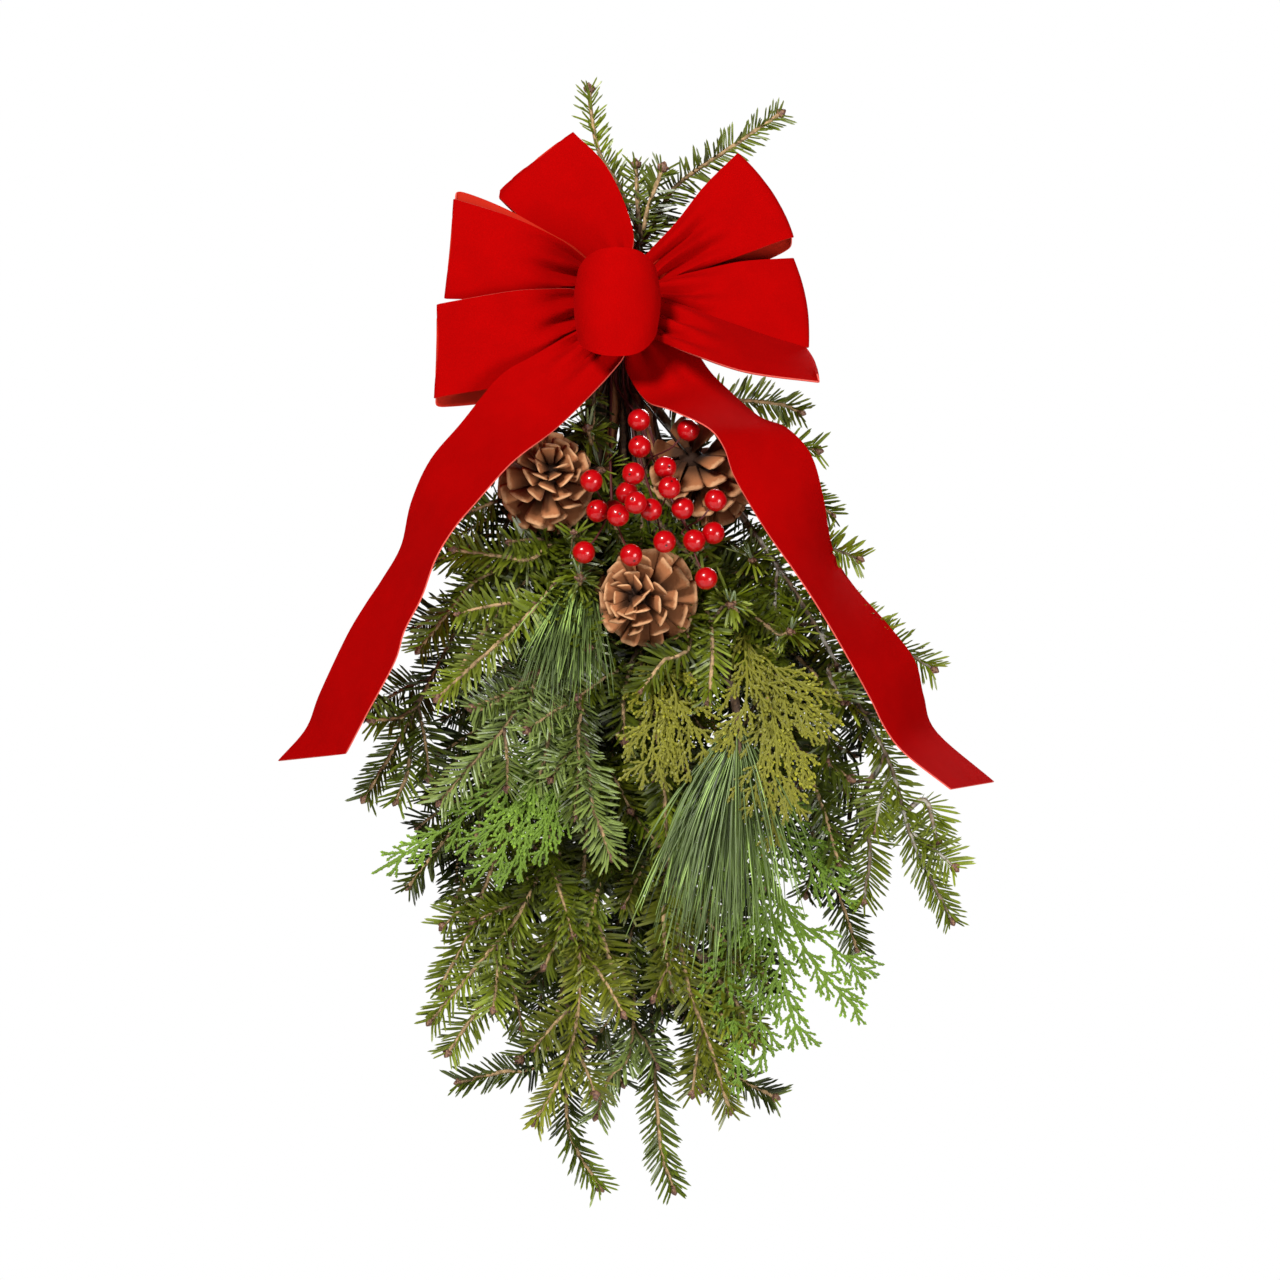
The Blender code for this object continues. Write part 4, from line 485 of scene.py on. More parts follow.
def closest_points(a, b, starts, ends):
    """Nearest points of the segments a-b and starts-ends, row by row."""
    d1 = b - a
    d2 = ends - starts
    r = a - starts
    aa = np.maximum((d1 * d1).sum(-1), 1e-18)
    ee = np.maximum((d2 * d2).sum(-1), 1e-18)
    f = (d2 * r).sum(-1)
    c = (d1 * r).sum(-1)
    bb = (d1 * d2).sum(-1)
    denominator = aa * ee - bb * bb
    s = np.where(denominator > 1e-18, (bb * f - c * ee) / np.maximum(denominator, 1e-18), 0.0)
    s = np.clip(s, 0, 1)
    t = np.clip((bb * s + f) / ee, 0, 1)
    s = np.clip((bb * t - c) / aa, 0, 1)
    return a + s[..., None] * d1, starts + t[..., None] * d2


def bar_distances(a, b, starts, ends):
    """Shortest distances between the segment a-b and many segments."""
    near, far = closest_points(a, b, starts, ends)
    return np.linalg.norm(near - far, axis=-1)


def bundle_place(layer, slot, height):
    """Middle of one stem in the close-packed bundle."""
    shift = (layer % 2) * BUNDLE_PITCH / 2
    return np.array([BUNDLE_LEFT + slot * BUNDLE_PITCH + shift, -(BUNDLE_BACK + layer * LAYER_PITCH), height])


def stem_path(layer, slot, route, upright):
    """A stem from its cut end through the bundle and along its route, and how far the bundle holds it."""
    if upright:
        cut, leaves = BUNDLE_FOOT, UPRIGHT_LEAVES
    else:
        cut, leaves = BUNDLE_TOP - CUT_STEP * ((3 * slot + layer) % 4), BUNDLE_FOOT
    cut_end = bundle_place(layer, slot, cut)
    leaving = bundle_place(layer, slot, leaves)
    onward = leaving + np.array([0.0, 0.0, math.copysign(STEM_LEAVES_OVER, leaves - cut)])
    onward = onward + (at(*route[0]) - leaving) * STEM_LEANS
    free = smooth([leaving, onward] + [at(*place) for place in route], FREE_POINTS)
    line = np.vstack([cut_end, free])
    return evenly(line, PATH_POINTS), abs(leaves - cut)


def side_shoots(path, sides):
    """A bough's side shoots: the point of the stem that each leaves, and its path."""
    shoots = []
    for share, places in sides:
        leaves = int(round(share * (len(path) - 1)))
        shoots.append((leaves, smooth([path[leaves]] + [at(*place) for place in places], SHOOT_POINTS)))
    return shoots


def wood_radii(far, held, bare, core):
    """Radii of a stem: full as far as the bundle holds it, then tapering to the core that bears needles."""
    share = np.clip((far - held) / (bare - held), 0, 1)
    return core + (WOOD_RADIUS - core) * (1 - share) ** WOOD_TAPER


class Stem:
    """One cutting: its main path, its side shoots, and which of its points the bundle holds."""

    def __init__(self, name, layer, slot, kind, route, needles_from, sides, upright):
        self.name = name
        self.kind = kind
        self.needles_from = needles_from
        self.path, self.held = stem_path(layer, slot, route, upright)
        self.sides = side_shoots(self.path, sides)
        far = np.linspace(0, path_length(self.path), len(self.path))
        self.free = np.clip((far - self.held - GAP) / FREED_OVER, 0, 1)
        core = CORES[kind]
        self.radii = wood_radii(far, self.held, needles_from * far[-1], core)

    def lines(self):
        """Its lines with the radii that keep them apart, which are smaller for a three-sided stem."""
        slimmer = 1.0 if self.kind is None else math.sqrt(3) / 2
        return ([(self.path, self.radii * slimmer)]
                + [(path, np.full(len(path), SHOOT_RADIUS)) for _, path in self.sides])

    def freedoms(self):
        """How freely each point of each of its lines may move, from 0 to 1."""
        return [self.free] + [np.minimum(1, np.linspace(0, 5, len(path))) for _, path in self.sides]

    def move(self, shifts):
        """Shift the stem's points; each side shoot follows the point that it leaves from."""
        main = shifts[0] * self.free[:, None]
        self.path = self.path + main
        moved = []
        for (leaves, path), own in zip(self.sides, shifts[1:]):
            share = np.linspace(0, 1, len(path))[:, None]
            path = path + main[leaves] * (1 - share) ** 2 + own * np.minimum(1, share * 5)
            path[0] = self.path[leaves]
            moved.append((leaves, path))
        self.sides = moved


def spread(pushes, reach):
    """Let the points beside a pushed point follow it, less and less with distance."""
    pushed = (np.abs(pushes).sum(1) > 0).astype(float)
    if not pushed.any():
        return pushes
    offsets = np.arange(-2 * reach, 2 * reach + 1)
    weights = np.exp(-(offsets / reach) ** 2)
    total = np.stack([np.convolve(pushes[:, k], weights)[2 * reach:-2 * reach] for k in range(3)], axis=1)
    share = np.convolve(pushed, weights)[2 * reach:-2 * reach]
    return total / np.maximum(share, 1.0)[:, None]


def near_pairs(middles, others, reach):
    """Rows of two lists of places that lie within reach of each other."""
    squares = ((middles ** 2).sum(1)[:, None] + (others ** 2).sum(1)[None, :] - 2 * middles @ others.T)
    return np.nonzero(squares < reach ** 2)


def may_meet(points, begins, owners, obstacles):
    """Bars of different stems that lie near each other, and those that lie near an obstacle's bars."""
    bar_starts, bar_ends, bar_radii = obstacles
    middles = (points[begins] + points[begins + 1]) / 2
    first, second = near_pairs(middles, middles, SETTLE_SLACK + 2 * STEM_RADIUS)
    different = (owners[begins[first]] != owners[begins[second]]) & (first < second)
    lone, bar = near_pairs(middles, (bar_starts + bar_ends) / 2,
                           SETTLE_SLACK + STEM_RADIUS + bar_radii[None, :])
    return begins[first[different]], begins[second[different]], begins[lone], bar


def settle(stems, obstacles, rounds):
    """Bend stems and side shoots clear of each other and of everything that is already placed."""
    lines = [(k, line) for k, stem in enumerate(stems) for line in stem.lines()]
    sizes = [len(path) for _, (path, _) in lines]
    firsts = np.concatenate([[0], np.cumsum(sizes)])
    owners = np.repeat([k for k, _ in lines], sizes)
    widths = np.concatenate([width for _, (_, width) in lines])
    begins = np.concatenate([np.arange(a, b - 1) for a, b in zip(firsts[:-1], firsts[1:])])
    held = np.concatenate([part for stem in stems for part in stem.freedoms()])
    wanted = GAP + (SETTLE_GAP - GAP) * held
    bar_starts, bar_ends, bar_radii = obstacles
    for turn in range(rounds):
        points = np.vstack([path for stem in stems for path, _ in stem.lines()])
        if turn % SETTLE_LOOKS_EVERY == 0:
            first, second, lone, bar = may_meet(points, begins, owners, obstacles)
        pushes = np.zeros_like(points)
        counts = np.zeros(len(points))
        worst = 0.0
        for rows, other, starts, ends, radii in (
                (first, second, points[second], points[second + 1], widths[second]),
                (lone, None, bar_starts[bar], bar_ends[bar], bar_radii[bar])):
            near, far = closest_points(points[rows], points[rows + 1], starts, ends)
            apart = near - far
            distance = np.maximum(np.linalg.norm(apart, axis=1), 1e-9)
            lack = widths[rows] + radii + wanted[rows] - distance
            touching = lack > 0
            push = apart[touching] / distance[touching][:, None] * lack[touching][:, None]
            moved = [(rows, push)] if other is None else [(rows, push * 0.5), (other, push * -0.5)]
            for chosen, shift in moved:
                for end in (0, 1):
                    np.add.at(pushes, chosen[touching] + end, shift)
                    np.add.at(counts, chosen[touching] + end, 1.0)
            worst = max(worst, float((lack * held[rows]).max(initial=0.0)))
        if worst < SETTLE_ENOUGH:
            break
        pushes = pushes / np.maximum(counts, 1.0)[:, None] * SETTLE_PUSH
        place = 0
        for stem in stems:
            shifts = []
            for path, _ in stem.lines():
                shifts.append(spread(pushes[place:place + len(path)], 3 if len(path) == PATH_POINTS else 1))
                place += len(path)
            stem.move(shifts)


def pinch_place(side):
    """Where the middle of a ribbon is held, on the front view."""
    return HANGER_PLACE[0] + side * PINCH_SIDE / STEP, HANGER_PLACE[1] - PINCH_HEIGHT / STEP


def loop_edges(spec, side):
    """Edge points of a loop from the pinch, out along the back layer, round the fold and back in front."""
    (back_depth, front_depth), upper, lower, fold_depths, thickness, opening = spec
    turned = upper[0][0] > HANGER_PLACE[0] and side < 0
    pinch_x, pinch_y = pinch_place(side)
    edges = []
    for edge, sign, fold_depth in zip((upper, lower), (-1, 1), fold_depths):
        root = (pinch_x, pinch_y + sign * PINCH_HALF / STEP)
        beside = (root[0] + side * BESIDE_PINCH[0], root[1] + sign * BESIDE_PINCH[1])
        if turned and sign > 0:
            beside = TURNED_BESIDE
        back = [at(*root, back_depth), at(*beside, back_depth)]
        front = [at(*root, front_depth), at(*beside, front_depth)]
        for (x, y), share in zip(edge[:-1], LOOP_SHARES):
            opened = math.sin(share * math.pi / 2)
            middle = (back_depth + front_depth) / 2 * (1 - opened) + fold_depth * opened
            half = (front_depth - back_depth) / 2 * (1 - opened) + thickness / 2 * opened
            half *= LOOP_SWELL if share > LOOP_SHARES[0] else 1.0
            front.append(at(x, y, middle + half))
            back.append(at(x + opening[0] * share, y + opening[1] * share, middle - half))
        tip_x, tip_y = edge[-1]
        ahead = fold_depth + thickness * FOLD_SHARE
        behind = fold_depth - thickness * FOLD_SHARE
        near = at(tip_x, tip_y, ahead) * FOLD_REACH + at(*edge[-2], ahead) * (1 - FOLD_REACH)
        far = at(tip_x + opening[0] * FOLD_SHOWS, tip_y + opening[1] * FOLD_SHOWS, behind) * FOLD_REACH
        far = far + at(*edge[-2], behind) * (1 - FOLD_REACH)
        edges.append(back + [far, at(tip_x, tip_y, fold_depth), near] + front[::-1])
    return edges


def tail_edges(pairs, side):
    """Edges of a tail: where the view shows it narrower than it is, its outer edge lies deeper."""
    pinch_x, pinch_y = pinch_place(side)
    low = pinch_y + PINCH_HALF / STEP
    high = pinch_y - PINCH_HALF / STEP
    reach = TAIL_REACH_LEFT if side < 0 else TAIL_REACH_RIGHT
    inner = [at(pinch_x, low, TAIL_DEPTH),
             at(pinch_x + side * BESIDE_PINCH[0], low + TAIL_INNER_DROP, TAIL_DEPTH)]
    outer = [at(pinch_x, high, TAIL_DEPTH),
             at(pinch_x + side * reach, high + TAIL_OUTER_DROP, TAIL_DEPTH)]
    for k, (near, far, depth) in enumerate(pairs):
        shown = math.hypot(near[0] - far[0], near[1] - far[1])
        if k == len(pairs) - 1:
            shown = TAIL_END_SHOWN
        tilt = 0.5 * math.sqrt(max(0.0, 100 ** 2 - shown ** 2)) * STEP * 1000
        tilt *= min(1.0, max(0.0, (k - 0.5) / 3))
        inner.append(at(*near, depth + tilt))
        outer.append(at(*far, depth - tilt))
    return inner, outer


def knot_edges(opens):
    """The centre loop: pinched at the back and as tall as the ribbon is wide in front."""
    upper, lower = [], []
    for angle in np.radians(np.linspace(-KNOT_TURNS_TO, KNOT_TURNS_TO, KNOT_STATIONS)):
        nearness = (1 + math.cos(angle)) / 2
        x = KNOT_MIDDLE[0] + KNOT_HALF_WIDTH * math.sin(angle)
        depth = KNOT_BACK + KNOT_HALF_DEPTH * (1 + math.cos(angle))
        half = KNOT_BACK_HALF + (KNOT_FRONT_HALF - KNOT_BACK_HALF) * min(1.0, opens * nearness)
        lift = KNOT_LIFT * (1 - nearness)
        upper.append(at(x, KNOT_MIDDLE[1] - half + lift, depth))
        lower.append(at(x, KNOT_MIDDLE[1] + half + lift, depth))
    return upper, lower


def bundle_outline(margin):
    """Points round everything that the binding holds, at a distance that leaves room for its wire."""
    held = [(bundle_place(layer, slot, 0.0)[:2], WOOD_RADIUS)
            for layer, width in enumerate(LAYER_WIDTHS) for slot in range(width)]
    held += [(np.array([x, -FRONT_OF_BUNDLE - GAP - radius]), radius) for x, radius in TRUNK_PLACES.values()]
    chosen = []
    for degrees in range(0, 360, BINDING_STEP):
        angle = math.radians(degrees)
        aim = np.array([math.sin(angle), math.cos(angle)])
        which = max(range(len(held)), key=lambda k: held[k][0] @ aim + held[k][1])
        chosen.append((which, degrees, held[which][0] + aim * (held[which][1] + margin)))
    outline = []
    for before, here, after in zip([chosen[-1]] + chosen, chosen, chosen[1:] + [chosen[0]]):
        if here[0] != before[0] or here[0] != after[0] or here[1] % BINDING_TURN_STEP == 0:
            outline.append(here[2])
    return outline


def led_out(name, places):
    """A wire that runs down under the binding and then on through the given places."""
    x, radius = TRUNK_PLACES[name]
    lies = -FRONT_OF_BUNDLE - GAP - radius
    leaving = np.array([x, lies, BUNDLE_FOOT])
    onward = leaving + np.array([0.0, 0.0, -WIRE_STAYS]) + (places[0] - leaving) * WIRE_LEANS
    head = np.array([[x, lies, BINDING_HEIGHT + WIRE_STAYS]])
    line = np.vstack([head, smooth([leaving, onward] + places, WIRE_POINTS)])
    return line[sparse(line)]


# Node trees, written as expressions

class Wire:
    """One output of a node, with the arithmetic that this file writes on it."""

    def __init__(self, graph, socket):
        self.graph = graph
        self.socket = socket

    def other(self, identifier):
        """Another output of the same node."""
        return Wire(self.graph, self.graph.find(self.socket.node.outputs, identifier))

    def maths(self, operation, *others):
        """The result of one Math node, or of one Vector Math node where a vector is involved."""
        parts = (self, *others)
        vectors = [part for part in parts if isinstance(part, tuple)
                   or isinstance(part, Wire) and part.socket.type == "VECTOR"]
        kind = "ShaderNodeVectorMath" if vectors else "ShaderNodeMath"
        if vectors:
            parts = [(part,) * 3 if isinstance(part, (int, float)) else part for part in parts]
        return self.graph.add(kind, {"operation": operation}, dict(enumerate(parts)))

    def __add__(self, other):
        return self.maths("ADD", other)

    def __radd__(self, other):
        return self.maths("ADD", other)

    def __sub__(self, other):
        return self.maths("SUBTRACT", other)

    def __rsub__(self, other):
        return self.graph.number(other).maths("SUBTRACT", self)

    def __mul__(self, other):
        return self.maths("MULTIPLY", other)

    def __rmul__(self, other):
        return self.maths("MULTIPLY", other)

    def __truediv__(self, other):
        return self.maths("DIVIDE", other)

    def __pow__(self, other):
        return self.maths("POWER", other)


class Graph:
    """A node tree, to which every node is added by one method."""

    def __init__(self, tree):
        self.tree = tree

    @staticmethod
    def find(sockets, key):
        if isinstance(key, int):
            return sockets[key]
        return next(socket for socket in sockets if socket.identifier == key)

    def add(self, kind, settings=None, sockets=None, output=0):
        """Add a node: its settings first, then the values or links of its sockets."""
        node = self.tree.nodes.new(kind)
        for name, value in (settings or {}).items():
            setattr(node, name, value)
        for key, value in (sockets or {}).items():
            socket = self.find(node.inputs, key)
            for part in value if isinstance(value, list) else [value]:
                if isinstance(part, Wire):
                    self.tree.links.new(part.socket, socket)
                else:
                    socket.default_value = part
        return Wire(self, self.find(node.outputs, output))

    def number(self, value):
        """A plain number as the first part of an expression."""
        if isinstance(value, Wire):
            return value
        return self.add("ShaderNodeMath", {"operation": "ADD"}, {0: float(value), 1: 0.0})

    def named(self, name, kind="FLOAT"):
        """A point attribute of the lines, inside geometry nodes."""
        return self.add("GeometryNodeInputNamedAttribute", {"data_type": kind}, {"Name": name}, "Attribute")

    def chance(self, low, high, seed):
        """A different number between two limits at each point."""
        return self.add("FunctionNodeRandomValue", {"data_type": "FLOAT"},
                        {"Min_001": low, "Max_001": high, "Seed": seed}, "Value_001")

    def vector(self, x, y, z):
        return self.add("ShaderNodeCombineXYZ", None, {"X": x, "Y": y, "Z": z})

    def rotation(self, aim, upper):
        """The turn that points a shape's +Z along the aim, with its +Y to the upper side."""
        return self.add("FunctionNodeAxesToRotation", {"primary_axis": "Z", "secondary_axis": "Y"},
                        {"Primary Axis": aim, "Secondary Axis": upper})

    def mesh_of(self, thing):
        """The mesh of an object that the tree is given."""
        return self.add("GeometryNodeObjectInfo", None, {"Object": thing}, "Geometry")

    def repeated(self, thing, points, rotation, scale, chosen=True):
        """A copy of an object's mesh at each chosen point."""
        return self.add("GeometryNodeInstanceOnPoints", None,
                        {"Points": points, "Selection": chosen, "Instance": self.mesh_of(thing),
                         "Rotation": rotation, "Scale": scale})

    def toned(self, copies, tone):
        """Copies that each carry tone for their material: random tones, and for leaves their painted shade as
        well.
        """
        return self.add("GeometryNodeStoreNamedAttribute", {"data_type": "FLOAT", "domain": "INSTANCE"},
                        {"Geometry": copies, "Name": "tone", "Value": tone})

    def attribute(self, name):
        """A value that the mesh carries, inside a material."""
        return self.add("ShaderNodeAttribute", {"attribute_name": name}, None, "Fac")

    def blend(self, factor, first, second):
        """One colour turning into another."""
        return self.add("ShaderNodeMix", {"data_type": "RGBA"},
                        {"Factor_Float": factor, "A_Color": first, "B_Color": second}, "Result_Color")

    def noise(self, scale, detail=2.0):
        """Soft random values over a surface, from 0 to 1."""
        place = self.add("ShaderNodeTexCoord", output="Object")
        return self.add("ShaderNodeTexNoise", None, {"Vector": place, "Scale": scale, "Detail": detail})

    def ramp(self, value, low, high):
        """Rises from 0 to 1 while the value goes from low to high."""
        return self.add("ShaderNodeMapRange", {"interpolation_type": "SMOOTHSTEP"},
                        {"Value": value, "From Min": low, "From Max": high}, "Result")


def new_tree(name, inputs):
    """An empty tree of geometry nodes with named inputs, and a wire from each of them."""
    tree = bpy.data.node_groups.new(name, "GeometryNodeTree")
    tree.interface.new_socket("Geometry", in_out="INPUT", socket_type="NodeSocketGeometry")
    tree.interface.new_socket("Geometry", in_out="OUTPUT", socket_type="NodeSocketGeometry")
    for label, kind in inputs.items():
        tree.interface.new_socket(label, in_out="INPUT", socket_type="NodeSocket" + kind)
    graph = Graph(tree)
    start = tree.nodes.new("NodeGroupInput")
    return graph, {socket.name: Wire(graph, socket) for socket in start.outputs if socket.name}


def end_tree(graph, geometry):
    """Join the finished geometry to the tree's output."""
    out = graph.tree.nodes.new("NodeGroupOutput")
    graph.tree.links.new(geometry.socket, out.inputs[0])
    return graph.tree


def grown(name, start, tree, values):
    """The plain object that a tree of geometry nodes makes of a starting mesh."""
    holder = bpy.data.objects.new(name + "_start", start)
    bpy.context.scene.collection.objects.link(holder)
    modifier = holder.modifiers.new("growth", "NODES")
    modifier.node_group = tree
    for item in tree.interface.items_tree:
        if item.in_out == "INPUT" and item.name in values:
            modifier[item.identifier] = values[item.name]
    holder.update_tag()
    bpy.context.view_layer.update()
    depsgraph = bpy.context.evaluated_depsgraph_get()
    mesh = bpy.data.meshes.new_from_object(holder.evaluated_get(depsgraph), preserve_all_data_layers=True,
                                           depsgraph=depsgraph)
    bpy.data.objects.remove(holder)
    return place_object(name, mesh)


def place_object(name, mesh):
    piece = bpy.data.objects.new(name, mesh)
    bpy.context.scene.collection.objects.link(piece)
    return piece


def settle_in(piece, node):
    """Give a finished piece to the body and let it stand for its solid."""
    if not piece.data.polygons:
        raise RuntimeError(piece.name + " came out empty")
    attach(piece, "root")
    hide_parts(node)


# Everything that the part's source places, so that its solids and these pieces share their lines

@functools.lru_cache
def ribbons():
    """Every ribbon's two edges, and which of its faces the velvet is on, by its node's name."""
    edges = {}
    for name, spec in LOOPS.items():
        side = -1 if name.endswith("left") else 1
        edges[name] = (*loop_edges(spec, side), side)
    edges["bow_tail_left"] = (*tail_edges(TAIL_LEFT, -1), -1)
    edges["bow_tail_right"] = (*tail_edges(TAIL_RIGHT, 1), 1)
    edges["bow_centre_loop"] = (*knot_edges(KNOT_OPENS), -1)
    return edges


def binding_path(outline):
    """The wire that ties the bundle, in two rising turns."""
    total = BINDING_TURNS * len(outline) + 1
    turns = []
    for k in range(total):
        height = BINDING_HEIGHT + (k / (total - 1) - 0.5) * BINDING_TURNS * BINDING_RISE
        turns.append((*outline[k % len(outline)], height))
    return np.array(turns)


def hanger_path(back_of_binding):
    """A ring to hang the swag by, with a shank that hooks behind the binding."""
    ring_radius = HANGER_HOLE_RADIUS + HANGER_WIRE
    loop = []
    for k in range(HANGER_POINTS):
        angle = math.radians(HANGER_FROM + HANGER_TURNS * k / (HANGER_POINTS - 1))
        loop.append((ring_radius * math.sin(angle), 0.0, -HANGER_HOLE_RADIUS + ring_radius * math.cos(angle)))
    behind = back_of_binding + BINDING_WIRE + GAP + HANGER_WIRE
    loop += [(0.0042, 0.0, -0.0212), (0.0026, -0.0012, -0.0240), (0.0008, behind + 0.0005, -0.0290),
             (0.0004, behind, -0.0340), (0.0003, behind, -0.0420)]
    return np.array(loop)


def bow_wire_path(front_of_binding):
    """The wire that holds the bow: from under the binding, round the pinched ribbon and behind it again."""
    ahead = front_of_binding - BINDING_WIRE - GAP - BOW_WIRE
    top = PINCH_HEIGHT + PINCH_HALF + BOW_WIRE_ROOM
    foot = PINCH_HEIGHT - PINCH_HALF - BOW_WIRE_ROOM
    front = BOW_WIRE_FRONT
    corner = BOW_WIRE_CORNER
    return np.array([(0.0, ahead, -0.0420), (0.0, ahead, foot - corner), (0.0, ahead - corner, foot),
                     (0.0, front + corner, foot), (0.0, front, foot + corner),
                     (0.0, front, top - corner), (0.0, front + corner, top),
                     (0.0, -0.0560, top), (0.0008, ahead - corner, top), (0.0016, ahead, top - corner),
                     (0.0018, ahead, foot + 0.0030)])


def cone_wire_path(name):
    """Each cone's wire runs under the binding and up to the foot of the cone."""
    place, depth, axis = CONES[name]
    axis = unit(np.array(axis))
    foot = at(*place, depth) + axis * CONE_LENGTH * CONE_FOOT
    return led_out(name, [foot - axis * 0.010, foot - axis * WIRE_TO_CONE])


@functools.lru_cache
def wires():
    """Every wire's line and radius, by its node's name."""
    outline = bundle_outline(GAP + BINDING_WIRE)
    lines = {"binding_wire": (binding_path(outline), BINDING_WIRE),
             "hanger": (hanger_path(max(y for _, y in outline)), HANGER_WIRE),
             "bow_wire": (bow_wire_path(min(y for _, y in outline)), BOW_WIRE)}
    for name in CONES:
        lines[name + "_wire"] = (cone_wire_path(name), TIE_WIRE)
    return lines


@functools.lru_cache
def trunks():
    """The wire trunk of each berry pick."""
    return {name: led_out(name, [at(*place) for place in passed]) for name, (passed, _) in PICKS.items()}


@functools.lru_cache
def cuttings():
    """Every cutting, settled clear of the bow, the cones and the wires, by its node's name."""
    space = Space()
    for edge_a, edge_b, _ in ribbons().values():
        space.add(smooth_like(edge_a, RULINGS), smooth_like(edge_b, RULINGS), RIBBON_CLEARANCE)
    for place, depth, axis in CONES.values():
        middle = at(*place, depth)
        reach = unit(np.array(axis)) * CONE_HALF_BAR
        space.add(middle - reach, middle + reach, CONE_CLEARANCE)
    for line, radius in wires().values():
        space.add_path(line, radius)
    # Stems are kept out of the ring's hole, so that a nail can pass
    space.add(np.array([[-0.006, -0.004, -0.010]]), np.array([[0.006, -0.004, -0.010]]), 0.009)
    for name, (_, berries) in PICKS.items():
        trunk = trunks()[name]
        space.add_path(trunk, TRUNK_WIRE)
        for place in berries:
            middle = at(*place)
            space.add(middle, middle + np.array([0.0001, 0, 0]), BERRY_RADIUS)
            space.add(trunk[-1], middle, 2 * PICK_WIRE)
    stems = [Stem(name, *values, upright) for table, upright in ((UPRIGHTS, True), (BOUGHS, False))
             for name, values in table.items()]
    settle(stems, space.short_bars(), SETTLE_ROUNDS)
    return {stem.name: stem for stem in stems}


# Shapes that are written point by point

# A line that runs to or from the viewer more squarely than this takes its front from above
TOWARDS_VIEWER = 0.93


def facing(path):
    """Tangent, front and side at each point of a line, its front turned to the viewer's side."""
    tangents = np.gradient(path, axis=0)
    tangents /= np.maximum(np.linalg.norm(tangents, axis=1), 1e-9)[:, None]
    hints = np.tile([0.0, -1.0, 0.0], (len(path), 1))
    hints[np.abs(tangents[:, 1]) > TOWARDS_VIEWER] = [0.0, 0.0, 1.0]
    fronts = hints - tangents * (tangents * hints).sum(1)[:, None]
    fronts /= np.linalg.norm(fronts, axis=1)[:, None]
    return tangents, fronts, np.cross(tangents, fronts)


class Lines:
    """Stems, twigs and wires as one mesh of edges, with the values that the nodes read at its points."""

    VALUES = ("wood", "leaf", "share", "bud", "turned", "tone")

    def __init__(self):
        self.points = []
        self.fronts = []
        self.edges = []
        self.values = {name: [] for name in self.VALUES}

    def add(self, path, **values):
        first = len(self.points)
        path = np.asarray(path, dtype=float)
        self.points.extend(path)
        self.fronts.extend(facing(path)[1])
        self.edges.extend((first + k, first + k + 1) for k in range(len(path) - 1))
        for name in self.VALUES:
            self.values[name].extend(np.broadcast_to(values.get(name, 0.0), len(path)))

    def mesh(self, name):
        mesh = bpy.data.meshes.new(name)
        mesh.from_pydata([tuple(point) for point in self.points], self.edges, [])
        for key, numbers in self.values.items():
            keep_numbers(mesh, key, "POINT", numbers)
        fronts = mesh.attributes.new("front", "FLOAT_VECTOR", "POINT")
        fronts.data.foreach_set("vector", np.array(self.fronts, np.float32).ravel())
        return mesh


def keep_numbers(mesh, name, domain, numbers):
    """Store a number at each point or face of a mesh, for the nodes and the materials to read."""
    mesh.attributes.new(name, "FLOAT", domain).data.foreach_set("value", np.array(numbers, np.float32))


def swept(rings, closed_end=True):
    """Faces of a closed skin over rings of points, each ring a list of the same length."""
    sides = len(rings[0])
    points = [point for ring in rings for point in ring]
    faces = []
    for k in range(len(rings) - 1):
        for j in range(sides):
            i = (j + 1) % sides
            faces.append((k * sides + j, k * sides + i, (k + 1) * sides + i, (k + 1) * sides + j))
    faces.append(tuple(reversed(range(sides))))
    if closed_end:
        faces.append(tuple(range((len(rings) - 1) * sides, len(rings) * sides)))
    return points, faces


def pattern(name, points, faces, along=None, under=None, rounded=True):
    """A shape for the nodes to repeat or to test against, which is taken out of the scene at the end.

    The mesh says how far along the shape each point is and which faces are on its underside.
    """
    mesh = bpy.data.meshes.new(name)
    mesh.from_pydata([tuple(point) for point in points], [], faces)
    if along is not None:
        keep_numbers(mesh, "along", "POINT", along)
    if under is not None:
        keep_numbers(mesh, "under", "FACE", under)
    if rounded:
        mesh.shade_smooth()
    shape = place_object(name, mesh)
    shape.hide_render = True
    shape["only_a_pattern"] = True
    return shape


def circle(radius, height, sides):
    """The points of a level circle round the Z axis."""
    turns = [2 * math.pi * j / sides for j in range(sides)]
    return [(radius * math.cos(turn), radius * math.sin(turn), height) for turn in turns]


# A fir needle's sections: share of its length, half its width as a share of the widest, and its bow
NEEDLE_SECTIONS = ((0.0, 0.45, 0.0), (0.30, 1.0, 0.012), (0.86, 0.88, 0.070))
NEEDLE_HALF_WIDTH = 0.00092
NEEDLE_KEEL = 0.00045
NEEDLE_TIP_BOW = 0.095


def needle_shape():
    """A flat fir needle with a keel beneath and a blunt tip, along +Z with its upper side at +Y."""
    rings, along = [], []
    for share, wide, bow in NEEDLE_SECTIONS:
        half = NEEDLE_HALF_WIDTH * wide
        rise = bow * NEEDLE_LENGTH
        height = share * NEEDLE_LENGTH
        rings.append([(half, rise, height), (-half, rise, height), (0.0, rise - NEEDLE_KEEL, height)])
        along += [share] * 3
    points, faces = swept(rings, closed_end=False)
    last = len(points) - 3
    points.append((0.0, NEEDLE_TIP_BOW * NEEDLE_LENGTH, NEEDLE_LENGTH))
    tip = len(points) - 1
    faces += [(last, last + 1, tip), (last + 1, last + 2, tip), (last + 2, last, tip)]
    upper = {tip} | {v for v in range(tip) if v % 3 < 2}
    under = [0.0 if set(face) <= upper else 1.0 for face in faces]
    return pattern("needle_shape", points, faces, along + [1.0], under, rounded=False)


# A cedar scale's half width, half thickness and length
SCALE_LEAF = (0.00125, 0.00060, 0.0037)


